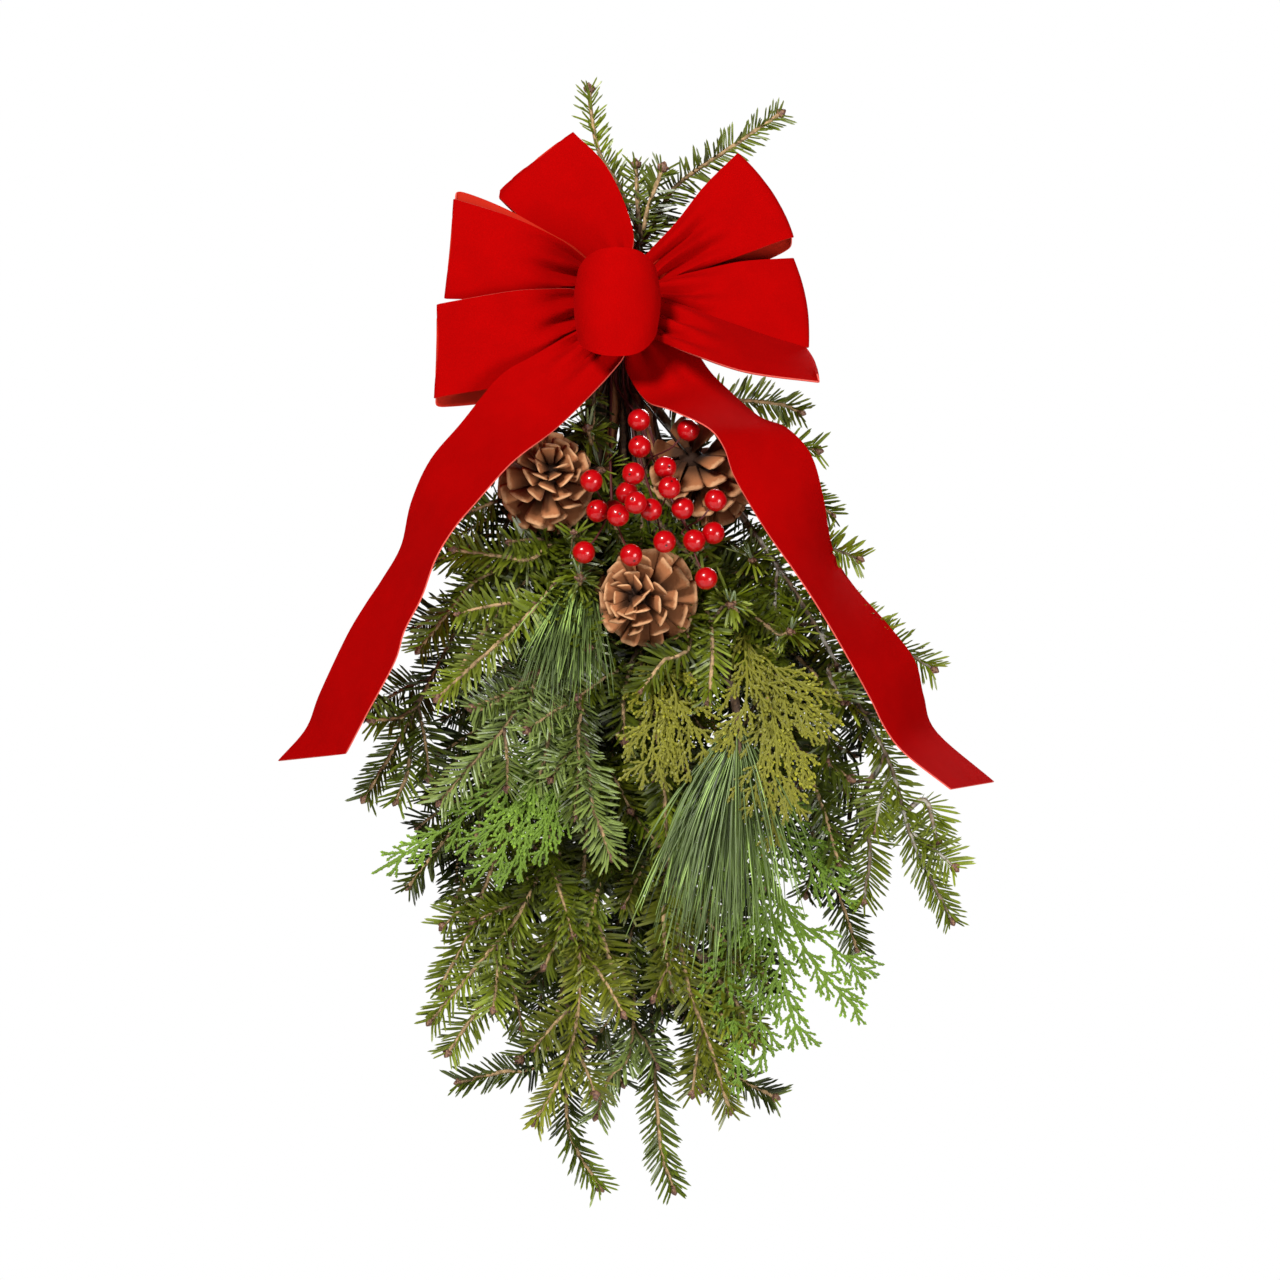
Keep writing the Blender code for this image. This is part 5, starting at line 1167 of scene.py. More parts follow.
def scale_leaf_shape():
    """One scale of cedar foliage: a short flattened bud that overlaps the next."""
    half, thick, length = SCALE_LEAF
    points = [(0, 0, -0.3 * length), (half, 0, 0.25 * length), (0, thick, 0.2 * length),
              (-half, 0, 0.25 * length), (0, -thick, 0.2 * length), (0, 0.2 * thick, 0.75 * length)]
    faces = []
    for j in range(4):
        i = (j + 1) % 4
        faces += [(0, 1 + i, 1 + j), (5, 1 + j, 1 + i)]
    along = [0, 0.5, 0.5, 0.5, 0.5, 1.0]
    return pattern("scale_leaf_shape", points, faces, along, rounded=False)


def turned_shape(name, profile, sides, along):
    """A round closed shape along +Z from (height, radius) pairs, with how far along each of them is."""
    rings = [circle(radius, height, sides) for height, radius in profile]
    return pattern(name, *swept(rings), np.repeat(along, sides))


# A bud's (height, radius) pairs, and each of the three buds' lean and size
BUD_PROFILE = ((-0.0010, 0.0010), (0.0002, 0.0019), (0.0017, 0.0021), (0.0032, 0.0013), (0.0042, 0.0003))
BUD_TURNS = ((0.0, 1.0), (0.9, 0.8), (-0.9, 0.8))
BUD_SIDES = 6


def bud_shape():
    """Three pointed buds side by side, the middle one the largest."""
    points, faces = [], []
    for lean, size in BUD_TURNS:
        rings = [[(x * math.cos(lean) + z * math.sin(lean), y, z * math.cos(lean) - x * math.sin(lean))
                  for x, y, z in circle(size * radius, size * height, BUD_SIDES)]
                 for height, radius in BUD_PROFILE]
        first = len(points)
        new_points, new_faces = swept(rings)
        points += new_points
        faces += [tuple(first + v for v in face) for face in new_faces]
    return pattern("bud_shape", points, faces)


# A berry's rings from its wire's end to its dimple, in shares of half a turn
BERRY_RINGS = 13
BERRY_FROM = 0.04
BERRY_TURNS = 0.92
BERRY_SIDES = 20
BERRY_FLATTER_FROM = 10
BERRY_FLATTER = 0.97
BERRY_DIMPLE = 0.0004


def berry_shape():
    """A waxy berry that swells from its wire, with a small dimple at its far end."""
    profile = []
    for k in range(BERRY_RINGS):
        angle = math.pi * (BERRY_FROM + BERRY_TURNS * k / (BERRY_RINGS - 1))
        flatter = 1.0 if k < BERRY_FLATTER_FROM else BERRY_FLATTER
        height = BERRY_RADIUS * (1 - math.cos(angle) * flatter)
        profile.append((height, BERRY_RADIUS * math.sin(angle)))
    profile.append((profile[-1][0] - BERRY_DIMPLE, BERRY_DIMPLE))
    lowest = profile[0][0]
    profile = [(height - lowest, radius) for height, radius in profile]
    return turned_shape("berry_shape", profile, BERRY_SIDES, np.linspace(0, 1, len(profile)))


# A cone scale's sections: share of its length, half width, thickness and lift, in scale widths
CONE_SCALE_SECTIONS = ((0.0, 0.35, 0.10, 0.0), (0.45, 0.66, 0.13, 0.0), (0.78, 0.96, 0.20, 0.03),
                       (0.93, 1.0, 0.30, 0.08), (1.0, 0.74, 0.20, 0.13))
CONE_SCALE_CORNERS = (0, 50, 90, 130, 180, 230, 270, 310)


def cone_scale_shape():
    """A woody cone scale with a thick rounded end, one long and one wide to each side, along +Z."""
    rings, along = [], []
    for share, wide, thick, lift in CONE_SCALE_SECTIONS:
        rings.append([(wide * math.cos(angle), 0.5 * thick * math.sin(angle) + lift, share)
                      for angle in np.radians(CONE_SCALE_CORNERS)])
        along += [share] * len(CONE_SCALE_CORNERS)
    return pattern("cone_scale_shape", *swept(rings), along)


# Ribbon

RIBBON_ROWS = 100
RIBBON_COLUMNS = 20
PINCH_BULGE = 0.0015
PLEAT_WAVES = 2.6
PLEAT_STEEPEST = 2.2
PLEATS_BEGIN = 0.16
PLEATS_GROW_OVER = 0.25
PLEATS_UNEVEN = 1.12
PLEAT_MOST_SPARE = 1.4
PLEAT_DRIFT = 0.10
PLEAT_DRIFTS = 7
BELLY = 0.0016
KNOT_CROWN = 0.0040
KNOT_ROUNDNESS = 0.98
KNOT_NARROWED = 0.91
KNOT_LENGTHENED = 0.10
# How gathered the knot's ribbon is where its creases begin at the back, and over how much more they grow
KNOT_CREASED_FROM = 0.32
KNOT_CREASED_OVER = 0.15
SHARP_EDGE = math.radians(50)
# How much the knot's corners are rounded off: upper ones, lower right and lower left
KNOT_CORNERS = (0.20, 0.24, 0.06)
KNOT_Z = (HANGER_PLACE[1] - KNOT_MIDDLE[1]) * STEP
KNOT_X = (KNOT_MIDDLE[0] - HANGER_PLACE[0]) * STEP

# How far a loop's lower edge comes forward of its upper one at the fold, beyond the part's lean
LEANS_FORWARD = {"bow_loop_lower_right": 0.046, "bow_loop_lower_left": -0.016, "bow_loop_middle_right": 0.025}
# How far a loop's upper and lower edges spread beside the knot, where its pleats meet the next loop
SPREADS_AT_KNOT = {"bow_loop_lower_left": (0.0085, 0.0), "bow_loop_middle_left": (0.0, 0.0030),
                   "bow_loop_lower_right": (0.0105, 0.0), "bow_loop_middle_right": (0.0, 0.0060),
                   "bow_loop_upper_right": (0.0, 0.0030)}
SPREAD_AT = 0.19
SPREAD_OVER = 0.13
# How far a loop is opened beside its fold: front upper edge, front lower, back upper and back lower
OPENED_AT_FOLD = {"bow_loop_lower_left": (0.0045, 0.0010, 0.0030, 0.0060),
                  "bow_loop_middle_left": (0.0, 0.0020, 0.0026, 0.0020),
                  "bow_loop_upper_right": (0.0, 0.0, 0.0, 0.0070)}
# Where that opening is widest and how far it reaches, in shares of the loop from its fold
OPENED_USUALLY = (0.12, 0.17)
OPENED = {"bow_loop_middle_left": (0.075, 0.065)}
# How far the corners of a fold are drawn in, and over how much of the loop
FOLD_ROUNDED = 0.0052
FOLD_TURN = 0.028
# How far the middle of a fold stands out beyond its corners, and over how much of the loop
FOLD_BULGES = {"bow_loop_upper_left": 0.0046, "bow_loop_upper_right": 0.0034, "bow_loop_middle_right": 0.0022}
FOLD_BULGE = 0.0012
BULGES_OVER = 0.10
# How far a loop's back upper edge is pressed down between its fold and the knot, and where
PRESSED_DOWN = {"bow_loop_middle_left": 0.0036}
PRESSED_FROM_FOLD = 0.215
PRESSED_OVER = 0.070


def sheet_normals(grid):
    """Unit normals of a grid of points."""
    normals = np.cross(np.gradient(grid, axis=0), np.gradient(grid, axis=1))
    return normals / np.maximum(np.linalg.norm(normals, axis=2), 1e-12)[:, :, None]


def bell(along, middle, reach):
    """1 at one place along a ribbon, and less and less away from it."""
    return np.exp(-((along - middle) / reach) ** 2)


def shaped_edges(name, edge_a, edge_b, along):
    """A ribbon's edges row by row, leaned, spread, opened and rounded as the photograph has them."""
    line_a = smooth_like(edge_a, RIBBON_ROWS)
    line_b = smooth_like(edge_b, RIBBON_ROWS)
    lean = LEANS_FORWARD.get(name, 0.0) * np.sin(math.pi * along) ** 2
    line_a[:, 1] += lean / 2
    line_b[:, 1] -= lean / 2
    if name in SPREADS_AT_KNOT:
        beside = bell(np.minimum(along, 1 - along), SPREAD_AT, SPREAD_OVER)
        line_a[:, 2] += SPREADS_AT_KNOT[name][0] * beside
        line_b[:, 2] -= SPREADS_AT_KNOT[name][1] * beside
    if name in LOOPS:
        turn = FOLD_ROUNDED * bell(along, 0.5, FOLD_TURN)
        line_a[:, 2] -= turn
        line_b[:, 2] += turn
    if name in OPENED_AT_FOLD:
        front_a, front_b, back_a, back_b = OPENED_AT_FOLD[name]
        in_front = bell(along - 0.5, *OPENED.get(name, OPENED_USUALLY))
        behind = in_front[::-1]
        line_a[:, 2] += front_a * in_front + back_a * behind
        line_b[:, 2] -= front_b * in_front + back_b * behind
    line_a[:, 2] -= PRESSED_DOWN.get(name, 0.0) * bell(0.5 - along, PRESSED_FROM_FOLD, PRESSED_OVER)
    return line_a, line_b


def ribbon_grid(name, edge_a, edge_b):
    """The middle surface of a ribbon: ruled between its edges, gathered into pleats where it is pinched."""
    columns = np.linspace(0, 1, RIBBON_COLUMNS + 1)
    along = np.linspace(0, 1, RIBBON_ROWS)
    line_a, line_b = shaped_edges(name, edge_a, edge_b, along)
    grid = line_a[:, None, :] * (1 - columns)[None, :, None] + line_b[:, None, :] * columns[None, :, None]
    arch = (4 * columns * (1 - columns))[None, :]
    if name in LOOPS:
        out = unit((line_a + line_b)[RIBBON_ROWS // 2] - (line_a + line_b)[0])
        bulge = FOLD_BULGES.get(name, FOLD_BULGE) * bell(along, 0.5, BULGES_OVER)
        grid += bulge[:, None, None] * arch[:, :, None] * out
    shown = np.linalg.norm(line_a - line_b, axis=1)
    gathered = np.clip((RIBBON_WIDTH - shown) / RIBBON_WIDTH, 0, 1)
    lifted = pleats(shown, gathered, along, columns)
    normals = sheet_normals(grid)
    if name == "bow_centre_loop":
        crown = KNOT_CROWN * np.sin(math.pi * along)[:, None] * np.sin(math.pi * columns)[None, :]
        creased = np.clip((gathered - KNOT_CREASED_FROM) / KNOT_CREASED_OVER, 0, 1)[:, None]
        return knot_form(grid - normals * (crown + lifted * creased)[:, :, None])
    ahead = np.where(normals[:, :, 1:2] < 0, 1.0, -1.0)
    trough = PINCH_BULGE * gathered[:, None] * arch
    grid = grid + normals * ahead * trough[:, :, None]
    return grid + sheet_normals(grid) * lifted[:, :, None]


def knot_form(grid):
    """The knot narrowed, drawn out downwards and rounded off at its corners."""
    aside = (grid[:, :, 0] - KNOT_X) / (KNOT_HALF_WIDTH * STEP)
    above = grid[:, :, 2] - KNOT_Z
    cut = np.where(above > 0, KNOT_CORNERS[0], np.where(aside > 0, *KNOT_CORNERS[1:]))
    above = above * (1 - cut * aside ** 4)
    grid[:, :, 2] = KNOT_Z + above + KNOT_LENGTHENED * np.minimum(above, 0)
    grid[:, :, 0] = KNOT_X + (grid[:, :, 0] - KNOT_X) * KNOT_NARROWED
    return grid


def pleats(shown, gathered, along, columns):
    """How far the pleats lift the cloth: deep enough to take up its width, and gone where it lies open."""
    spare = np.clip(RIBBON_WIDTH / shown - 1, 0, PLEAT_MOST_SPARE)
    steepness = np.minimum(PLEAT_STEEPEST, 2 * np.sqrt(spare))
    fade = np.clip((gathered - PLEATS_BEGIN) / PLEATS_GROW_OVER, 0, 1)
    height = fade * steepness * shown / (2 * math.pi * PLEAT_WAVES)
    drift = PLEAT_DRIFT * np.sin(PLEAT_DRIFTS * along)[:, None]
    flat_at_edges = np.sin(math.pi * columns) ** 0.4
    wave = np.sin(2 * math.pi * (PLEAT_WAVES * columns[None, :] ** PLEATS_UNEVEN + drift)) * flat_at_edges
    belly = BELLY * np.sin(math.pi * along) ** 2
    return height[:, None] * wave + belly[:, None] * np.sin(math.pi * columns)[None, :]


def ribbon_piece(name, grid, outward, finishes):
    """A closed strip: velvet on its outer face, lining on its inner one and the cut edge round it."""
    normals = sheet_normals(grid) * outward
    outer = (grid + normals * RIBBON_THICKNESS / 2).reshape(-1, 3)
    inner = (grid - normals * RIBBON_THICKNESS / 2).reshape(-1, 3)
    rows, wide = grid.shape[:2]
    size = rows * wide
    faces, which = [], []
    for k in range(rows - 1):
        for j in range(wide - 1):
            a = k * wide + j
            quad = (a, a + 1, a + wide + 1, a + wide)
            quad = tuple(reversed(quad)) if outward > 0 else quad
            faces += [tuple(reversed(quad)), tuple(size + v for v in quad)]
            which += [0, 1]
    rim = [(k * wide + wide - 1, (k + 1) * wide + wide - 1) for k in range(rows - 1)]
    rim += [((k + 1) * wide, k * wide) for k in range(rows - 1)]
    rim += [(j, j + 1) for j in range(wide - 1)]
    rim += [((rows - 1) * wide + j + 1, (rows - 1) * wide + j) for j in range(wide - 1)]
    for a, b in rim:
        quad = (a, b, size + b, size + a)
        faces.append(tuple(reversed(quad)) if outward > 0 else quad)
        which.append(2)
    mesh = bpy.data.meshes.new(name)
    mesh.from_pydata([tuple(point) for point in np.vstack([outer, inner])], [], faces)
    for finish in finishes:
        mesh.materials.append(finish)
    mesh.polygons.foreach_set("material_index", which)
    add_ribbon_map(mesh, grid)
    mesh.shade_smooth()
    mesh.set_sharp_from_angle(angle=SHARP_EDGE)
    return place_object(name, mesh)


def add_ribbon_map(mesh, grid):
    """A UV map in metres: across the ribbon, and along its middle."""
    rows, wide = grid.shape[:2]
    middle = grid[:, wide // 2]
    across = np.linspace(0, RIBBON_WIDTH, wide)
    places = np.stack([np.tile(across, rows), np.repeat(far_along(middle), wide)], axis=1)
    places = np.vstack([places, places])
    corners = np.zeros(len(mesh.loops), dtype=int)
    mesh.loops.foreach_get("vertex_index", corners)
    mesh.uv_layers.new(name="UVMap").data.foreach_set("uv", places[corners].ravel())


# What the leaves keep clear of: balls a little smaller than the cones and larger than the berries
CONE_KEPT_CLEAR = 0.9
BERRY_KEPT_CLEAR = 1.1
BALL_FROM = 0.02
BALL_RINGS = 7
BALL_SIDES = 12
# How much room a twig, a branchlet, a rosette's twig and a pine needle need
TWIG_ROOM = 0.0035
BRANCHLET_ROOM = 0.002
ROSETTE_ROOM = 0.003
PINE_ROOM = 0.0015
PLACES_TESTED = 12


def keep_clear():
    """The bow, the cones and the berries as one simple mesh, to test twigs and needles against."""
    points, faces = [], []

    def gather(new_points, new_faces):
        first = len(points)
        points.extend(new_points)
        faces.extend(tuple(first + v for v in face) for face in new_faces)

    for name, (edge_a, edge_b, _) in ribbons().items():
        grid = ribbon_grid(name, edge_a, edge_b)[:, ::3]
        rows, wide = grid.shape[:2]
        gather(grid.reshape(-1, 3), [(first, first + 1, first + wide + 1, first + wide)
                                     for k in range(rows - 1)
                                     for first in range(k * wide, (k + 1) * wide - 1)])
    for place, depth, _ in CONES.values():
        gather(*ball(at(*place, depth), CONE_RADIUS * CONE_KEPT_CLEAR))
    for _, berries in PICKS.values():
        for place in berries:
            gather(*ball(at(*place), BERRY_RADIUS * BERRY_KEPT_CLEAR))
    return pattern("kept_clear", points, faces, rounded=False)


def ball(middle, radius):
    """Points and faces of a plain ball."""
    rings = []
    for angle in math.pi * (BALL_FROM + (1 - 2 * BALL_FROM) * np.linspace(0, 1, BALL_RINGS)):
        rings.append([middle + np.array(point) for point in
                      circle(radius * math.sin(angle), -radius * math.cos(angle), BALL_SIDES)])
    return swept(rings)


def touches(tree, path, room):
    """Whether a line, past its foot, comes nearer to the bow, a cone or a berry than the room it needs."""
    places = evenly(np.asarray(path), PLACES_TESTED)[2:]
    return any(tree.find_nearest(Vector(place), room)[0] is not None for place in places)


# Where needles begin: on a stem as a share of its length and past the bundle, on a shoot, on a twig
NEEDLES_FROM = 0.38
NEEDLES_FROM_DARK = 0.24
NEEDLES_PAST_BUNDLE = 0.02
NEEDLES_ON_SHOOT = 0.022
NEEDLES_FROM_AT_MOST = 0.25
NEEDLES_ON_TWIG = 0.003
# Over what length, and what share of the line at most, they grow to full size
NEEDLES_FILL_OVER = 0.014
NEEDLES_FILL_SHARE = 0.25
# Needle sizes as shares of the usual: everywhere, on the upright boughs, on rosettes and from chance
NEEDLE_SIZE = 1.05
UPRIGHT_NEEDLES = 0.92
ROSETTE_NEEDLES = 1.15
NEEDLES_VARY = (0.94, 1.04)
NEEDLES_SHORTEN = 0.22
BUD_SIZES = (0.9, 1.4)
NEEDLE_TONES = (0.22, 1.0)
UPRIGHT_SPACING = 1.1
# Round wood that stands for the part's three-sided stems, and tapers as shares of a shoot's radius
ROUNDED_RADIUS = math.sqrt(3) / 2
LEAST_STEM = 0.0014
STEM_NARROWS = 0.25
SHOOT_TAPER = (1.5, 0.95)
TWIG_TAPER = (1.1, 0.7)
ROSETTE_TAPER = (1.0, 0.8)
# Twigs between the part's side shoots, shorter towards the tip and closer together at the back
FULLER_BEHIND = 0.72
LAYERS_BEHIND = 2
TWIG_SHORTEST = 0.020
TWIG_FROM_TIP = 0.045
TWIG_POINTS = 8
TWIG_LEANS = (38, 52)
TWIG_FORWARD = (-0.10, 0.22)
TWIG_BEND = 0.22
TWIG_SINKS = np.array([0.0, 0.0, -0.06])
TWIG_LENGTHS = (0.75, 1.1)
TWIG_STEPS = (0.7, 1.3)
TWIG_TRIES = 3
TWIG_CUT_BACK = 0.6
TWIGS_FROM = 0.012
# Twigs on side shoots: on how long a shoot, from where, how far apart and how long beside the stem's own
TWIGGED_SHOOT = 0.055
SHOOT_TWIGS_FROM = 0.024
SHOOT_TWIG_SPACING = 1.15
SHOOT_TWIG_LENGTH = 0.62
# Boughs that end in one plain sprig
SINGLE = ("fir_top_left", "fir_top_middle", "fir_top_right", "fir_mid_right", "fir_bottom_curved",
          "fir_bottom_right")
# Cuttings that look light in the photo though they lie among the dark ones
LIGHTER = ("fir_top_middle", "fir_mid_right")
# How nearly the needles of a cutting stand all round it
ALL_ROUND = {"fir_top_left": 0.6, "fir_top_middle": 1.0}
# How squarely a line must point at the viewer for its needles to stand all round it
FACES_VIEWER = 0.6


def twig_path(root, tangent, side, front, length, rng):
    """A short twig that leaves at an angle and bends towards the way of its stem."""
    lean = math.radians(rng.uniform(*TWIG_LEANS))
    aim = unit(math.cos(lean) * tangent + math.sin(lean) * side + rng.uniform(*TWIG_FORWARD) * front)
    share = np.linspace(0, 1, TWIG_POINTS)[:, None]
    bend = TWIG_BEND * tangent + TWIG_SINKS
    return root + length * (aim * share + bend * share ** 2)


def added_twigs(path, begins, spacing, longest, tree, rng):
    """Twigs to the left and right in turn, left out where the bow or a cone is in their way."""
    total = path_length(path)
    tangents, fronts, across = facing(path)
    twigs = []
    sign = rng.choice((-1, 1))
    place = begins
    while place < total - TWIG_FROM_TIP:
        k = int(place / total * (len(path) - 1))
        share = (place - begins) / (total - begins)
        length = (longest * (1 - share) ** 0.8 + TWIG_SHORTEST * share) * rng.uniform(*TWIG_LENGTHS)
        for _ in range(TWIG_TRIES):
            twig = twig_path(path[k], tangents[k], across[k] * sign, fronts[k], length, rng)
            if not touches(tree, twig, TWIG_ROOM):
                twigs.append(twig)
                break
            length *= TWIG_CUT_BACK
        sign = -sign
        place += spacing * rng.uniform(*TWIG_STEPS)
    return twigs


# How far behind the foremost greenery needles reach their darkest painted shade, and the squares that the
# foremost greenery is found in
PAINTED_SHADE_DEEPEST = 0.028
FRONT_SQUARE = 0.011


@functools.lru_cache
def foremost():
    """How far forward stems and side shoots reach in each square of the front view, from which the painted
    shade is worked out.
    """
    reached = {}
    for stem in cuttings().values():
        for path in [stem.path] + [shoot for _, shoot in stem.sides]:
            for x, y, z in path:
                column, row = square_of(x, z)
                for aside, up in itertools.product((-1, 0, 1), (-1, 0, 1)):
                    beside = (column + aside, row + up)
                    reached[beside] = min(reached.get(beside, 0.0), y)
    return reached


def square_of(x, z):
    """The square of the front view that a place lies in."""
    return round(x / FRONT_SQUARE), round(z / FRONT_SQUARE)


def painted_light_share(path):
    """Share of light that painted shade leaves: 1 along a line at the front of the swag, towards 0 where
    other cuttings stand before it.
    """
    reached = foremost()
    behind = [y - reached.get(square_of(x, z), y) for x, y, z in path]
    return 1.0 - np.clip(np.array(behind) / PAINTED_SHADE_DEEPEST, 0, 1)


def needled(path, begins, wood, rng, turned=0.0, size=1.0):
    """The values along one needle-bearing line."""
    total = path_length(path)
    far = np.linspace(0, total, len(path))
    share = np.clip((far - begins) / (total - begins), 0, 1)
    fill = np.clip((far - begins) / min(NEEDLES_FILL_OVER, NEEDLES_FILL_SHARE * total), 0, 1)
    leaf = size * fill * (1.0 - NEEDLES_SHORTEN * share ** 2) * rng.uniform(*NEEDLES_VARY)
    bud = rng.uniform(*BUD_SIZES)
    # Random tones times the painted shade of the greenery in front of the line
    tone = rng.uniform(*NEEDLE_TONES) * painted_light_share(path)
    return {"wood": wood, "leaf": leaf, "share": share, "bud": bud, "turned": turned, "tone": tone}


def is_facing(path):
    """Whether a side shoot points at the viewer, so that its needles stand all round it."""
    return unit(path[-1] - path[len(path) // 2])[1] < -FACES_VIEWER


def tapered(path, shares):
    """Radii along a shoot or twig, from shares of a shoot's radius at its foot and its tip."""
    return np.linspace(SHOOT_RADIUS * shares[0], SHOOT_RADIUS * shares[1], len(path))


# Twigs that point at the viewer, seen as stars of needles: where they end on the front view, with depth
ROSETTES = ((588, 432, 62), (566, 519, 86), (580, 577, 94), (729, 604, 100), (790, 632, 92), (846, 702, 84),
            (600, 470, 66), (752, 560, 78), (470, 548, 70), (700, 548, 74))
ROSETTE_REACH = 0.016
ROSETTE_RISE = 0.004
ROSETTE_ELBOW = 0.6
ROSETTE_NEEDLES_FROM = 0.3


@functools.lru_cache
def rosettes():
    """The end of each rosette's twig, by the name of the fir cutting that it grows on."""
    owners = {}
    firs = [stem for stem in cuttings().values() if stem.kind in FIRS and stem.name not in UPRIGHTS]
    for place in ROSETTES:
        tip = at(*place)
        owner = min(firs, key=lambda stem: np.linalg.norm(stem.path - tip, axis=1).min())
        owners.setdefault(owner.name, []).append(tip)
    return owners


def rosette_path(stem, tip):
    """A twig that leaves the stem where it passes nearest and turns towards the viewer."""
    root = stem.path[np.argmin(np.linalg.norm(stem.path - tip, axis=1))]
    elbow = tip + np.array([0.0, ROSETTE_REACH, ROSETTE_RISE])
    return smooth([root, root + ROSETTE_ELBOW * (elbow - root), elbow, tip], SHOOT_POINTS)


def bough_lines(stem, spacing, longest, tree, rng):
    """A fir bough: its stem, the part's side shoots, its rosettes and the twigs between them."""
    lines = Lines()
    total = path_length(stem.path)
    from_share = NEEDLES_FROM_DARK if stem.kind == FIR_DARK else NEEDLES_FROM
    begins = max(stem.held + NEEDLES_PAST_BUNDLE, from_share * total)
    tip_share = np.clip((np.linspace(0, total, len(stem.path)) - begins) / (total - begins), 0, 1)
    wood = np.maximum(stem.radii * ROUNDED_RADIUS * (1 - STEM_NARROWS * tip_share), LEAST_STEM)
    size = UPRIGHT_NEEDLES if stem.name in UPRIGHTS else NEEDLE_SIZE
    turned = ALL_ROUND.get(stem.name, 0.0)
    lines.add(stem.path, **needled(stem.path, begins, wood, rng, turned, size))
    twigs = []
    if stem.name not in SINGLE:
        twigs = added_twigs(stem.path, begins + TWIGS_FROM, spacing, longest, tree, rng)
    for _, shoot in stem.sides:
        length = path_length(shoot)
        starts = min(NEEDLES_ON_SHOOT, NEEDLES_FROM_AT_MOST * length)
        around = max(turned, float(is_facing(shoot)))
        lines.add(shoot, **needled(shoot, starts, tapered(shoot, SHOOT_TAPER), rng, around, size))
        if length > TWIGGED_SHOOT and not is_facing(shoot):
            twigs += added_twigs(shoot, SHOOT_TWIGS_FROM, spacing * SHOOT_TWIG_SPACING,
                                 longest * SHOOT_TWIG_LENGTH, tree, rng)
    for tip in rosettes().get(stem.name, ()):
        twig = rosette_path(stem, tip)
        if not touches(tree, twig, ROSETTE_ROOM):
            starts = ROSETTE_NEEDLES_FROM * path_length(twig)
            values = needled(twig, starts, tapered(twig, ROSETTE_TAPER), rng, 1.0, ROSETTE_NEEDLES * size)
            # A rosette stands in front: full brightness, without painted shade
            lines.add(twig, **{**values, "tone": 1.0})
    for twig in twigs:
        lines.add(twig, **needled(twig, NEEDLES_ON_TWIG, tapered(twig, TWIG_TAPER), rng, size=size))
    return lines


# Cedar fronds: how far apart the branchlets and their own offshoots stand, how long they are, and how
# much each of these varies
BRANCHLET_SPACING = 0.0062
BRANCHLET_STEPS = (0.8, 1.2)
BRANCHLET_LONGEST = 0.025
BRANCHLET_LENGTHS = (0.55, 1.25)
BRANCHLET_SIDEWAYS = 0.72
BRANCHLET_FORWARD = 0.5
BRANCHLET_TONES = (0.6, 1.0)
OFFSHOOT_SPACING = 0.0042
OFFSHOOT_LONGEST = 0.0085
OFFSHOOT_LENGTHS = (0.75, 1.2)
OFFSHOOTS_SHORTEN = 0.72
OFFSHOOT_SIDEWAYS = 0.62
OFFSHOOT_FORWARD = (-0.08, 0.08)
OFFSHOOT_BEND = 0.10
OFFSHOOT_TONES = (0.8, 1.0)
OFFSHOOT_LEAVES = 0.92
OFFSHOOTS_FROM = 0.22
OFFSHOOTS_TO = 0.93
FROND_WOOD = 0.00078
FROND_TONE = 0.9
MISSING_BRANCHLETS = 0.22
# A frond's outline: how long its branchlets are where it begins, at least, and how soon they grow
FROND_BEGINS = 0.35
FROND_LEAST = 0.22
FROND_WIDENS = 2.2
FROND_NARROWS = 0.6
FROND_BEFORE_NEEDLES = 0.03
FROND_ON_SHOOT = 0.010
CEDAR_SHOOT_WOOD = (0.0011, 0.0007)
# How soon scales cover a stem and a side shoot: steepness, and how far on they begin
STEM_COVERED = (2.0, 0.4)
SHOOT_COVERED = (5, 0.5)


def frond(lines, path, begins, tree, rng):
    """Branchlets and offshoots along one cedar stem, all in the frond's own plane."""
    total = path_length(path)
    tangents, fronts, across = facing(path)
    sign = 1
    place = begins
    while place < total:
        k = min(len(path) - 2, int(place / total * (len(path) - 1)))
        share = (place - begins) / (total - begins)
        full = min(1.0, FROND_BEGINS + FROND_WIDENS * share) * (1 - share) ** FROND_NARROWS + FROND_LEAST
        length = BRANCHLET_LONGEST * full * rng.uniform(*BRANCHLET_LENGTHS)
        branchlet = twig_path(path[k], tangents[k], across[k] * sign * BRANCHLET_SIDEWAYS,
                              fronts[k] * BRANCHLET_FORWARD, length, rng)
        if rng.random() > MISSING_BRANCHLETS and not touches(tree, branchlet, BRANCHLET_ROOM):
            # Random tones times the painted shade of the greenery in front
            tone = rng.uniform(*BRANCHLET_TONES) * painted_light_share(branchlet)
            lines.add(branchlet, wood=FROND_WOOD, leaf=1.0, share=1.0, tone=tone)
            offshoots(lines, branchlet, rng)
        sign = -sign
        place += BRANCHLET_SPACING * rng.uniform(*BRANCHLET_STEPS)


def offshoots(lines, branchlet, rng):
    """The short offshoots to both sides of one branchlet."""
    length = path_length(branchlet)
    tangents, fronts, across = facing(branchlet)
    # Painted shade along the branchlet, which its offshoots share
    branchlet_painted_light = painted_light_share(branchlet)
    sign = 1
    place = OFFSHOOTS_FROM * length
    while place < OFFSHOOTS_TO * length:
        k = int(place / length * (len(branchlet) - 1))
        reach = OFFSHOOT_LONGEST * (1 - OFFSHOOTS_SHORTEN * place / length) * rng.uniform(*OFFSHOOT_LENGTHS)
        aim = unit(tangents[k] + sign * OFFSHOOT_SIDEWAYS * across[k]
                   + rng.uniform(*OFFSHOOT_FORWARD) * fronts[k])
        root = branchlet[k]
        tip = root + reach * (aim + OFFSHOOT_BEND * tangents[k])
        lines.add([root, root + aim * reach * 0.5, tip], wood=FROND_WOOD * 0.9, leaf=OFFSHOOT_LEAVES,
                  share=1.0, tone=rng.uniform(*OFFSHOOT_TONES) * branchlet_painted_light[k])
        sign = -sign
        place += OFFSHOOT_SPACING * rng.uniform(*BRANCHLET_STEPS)


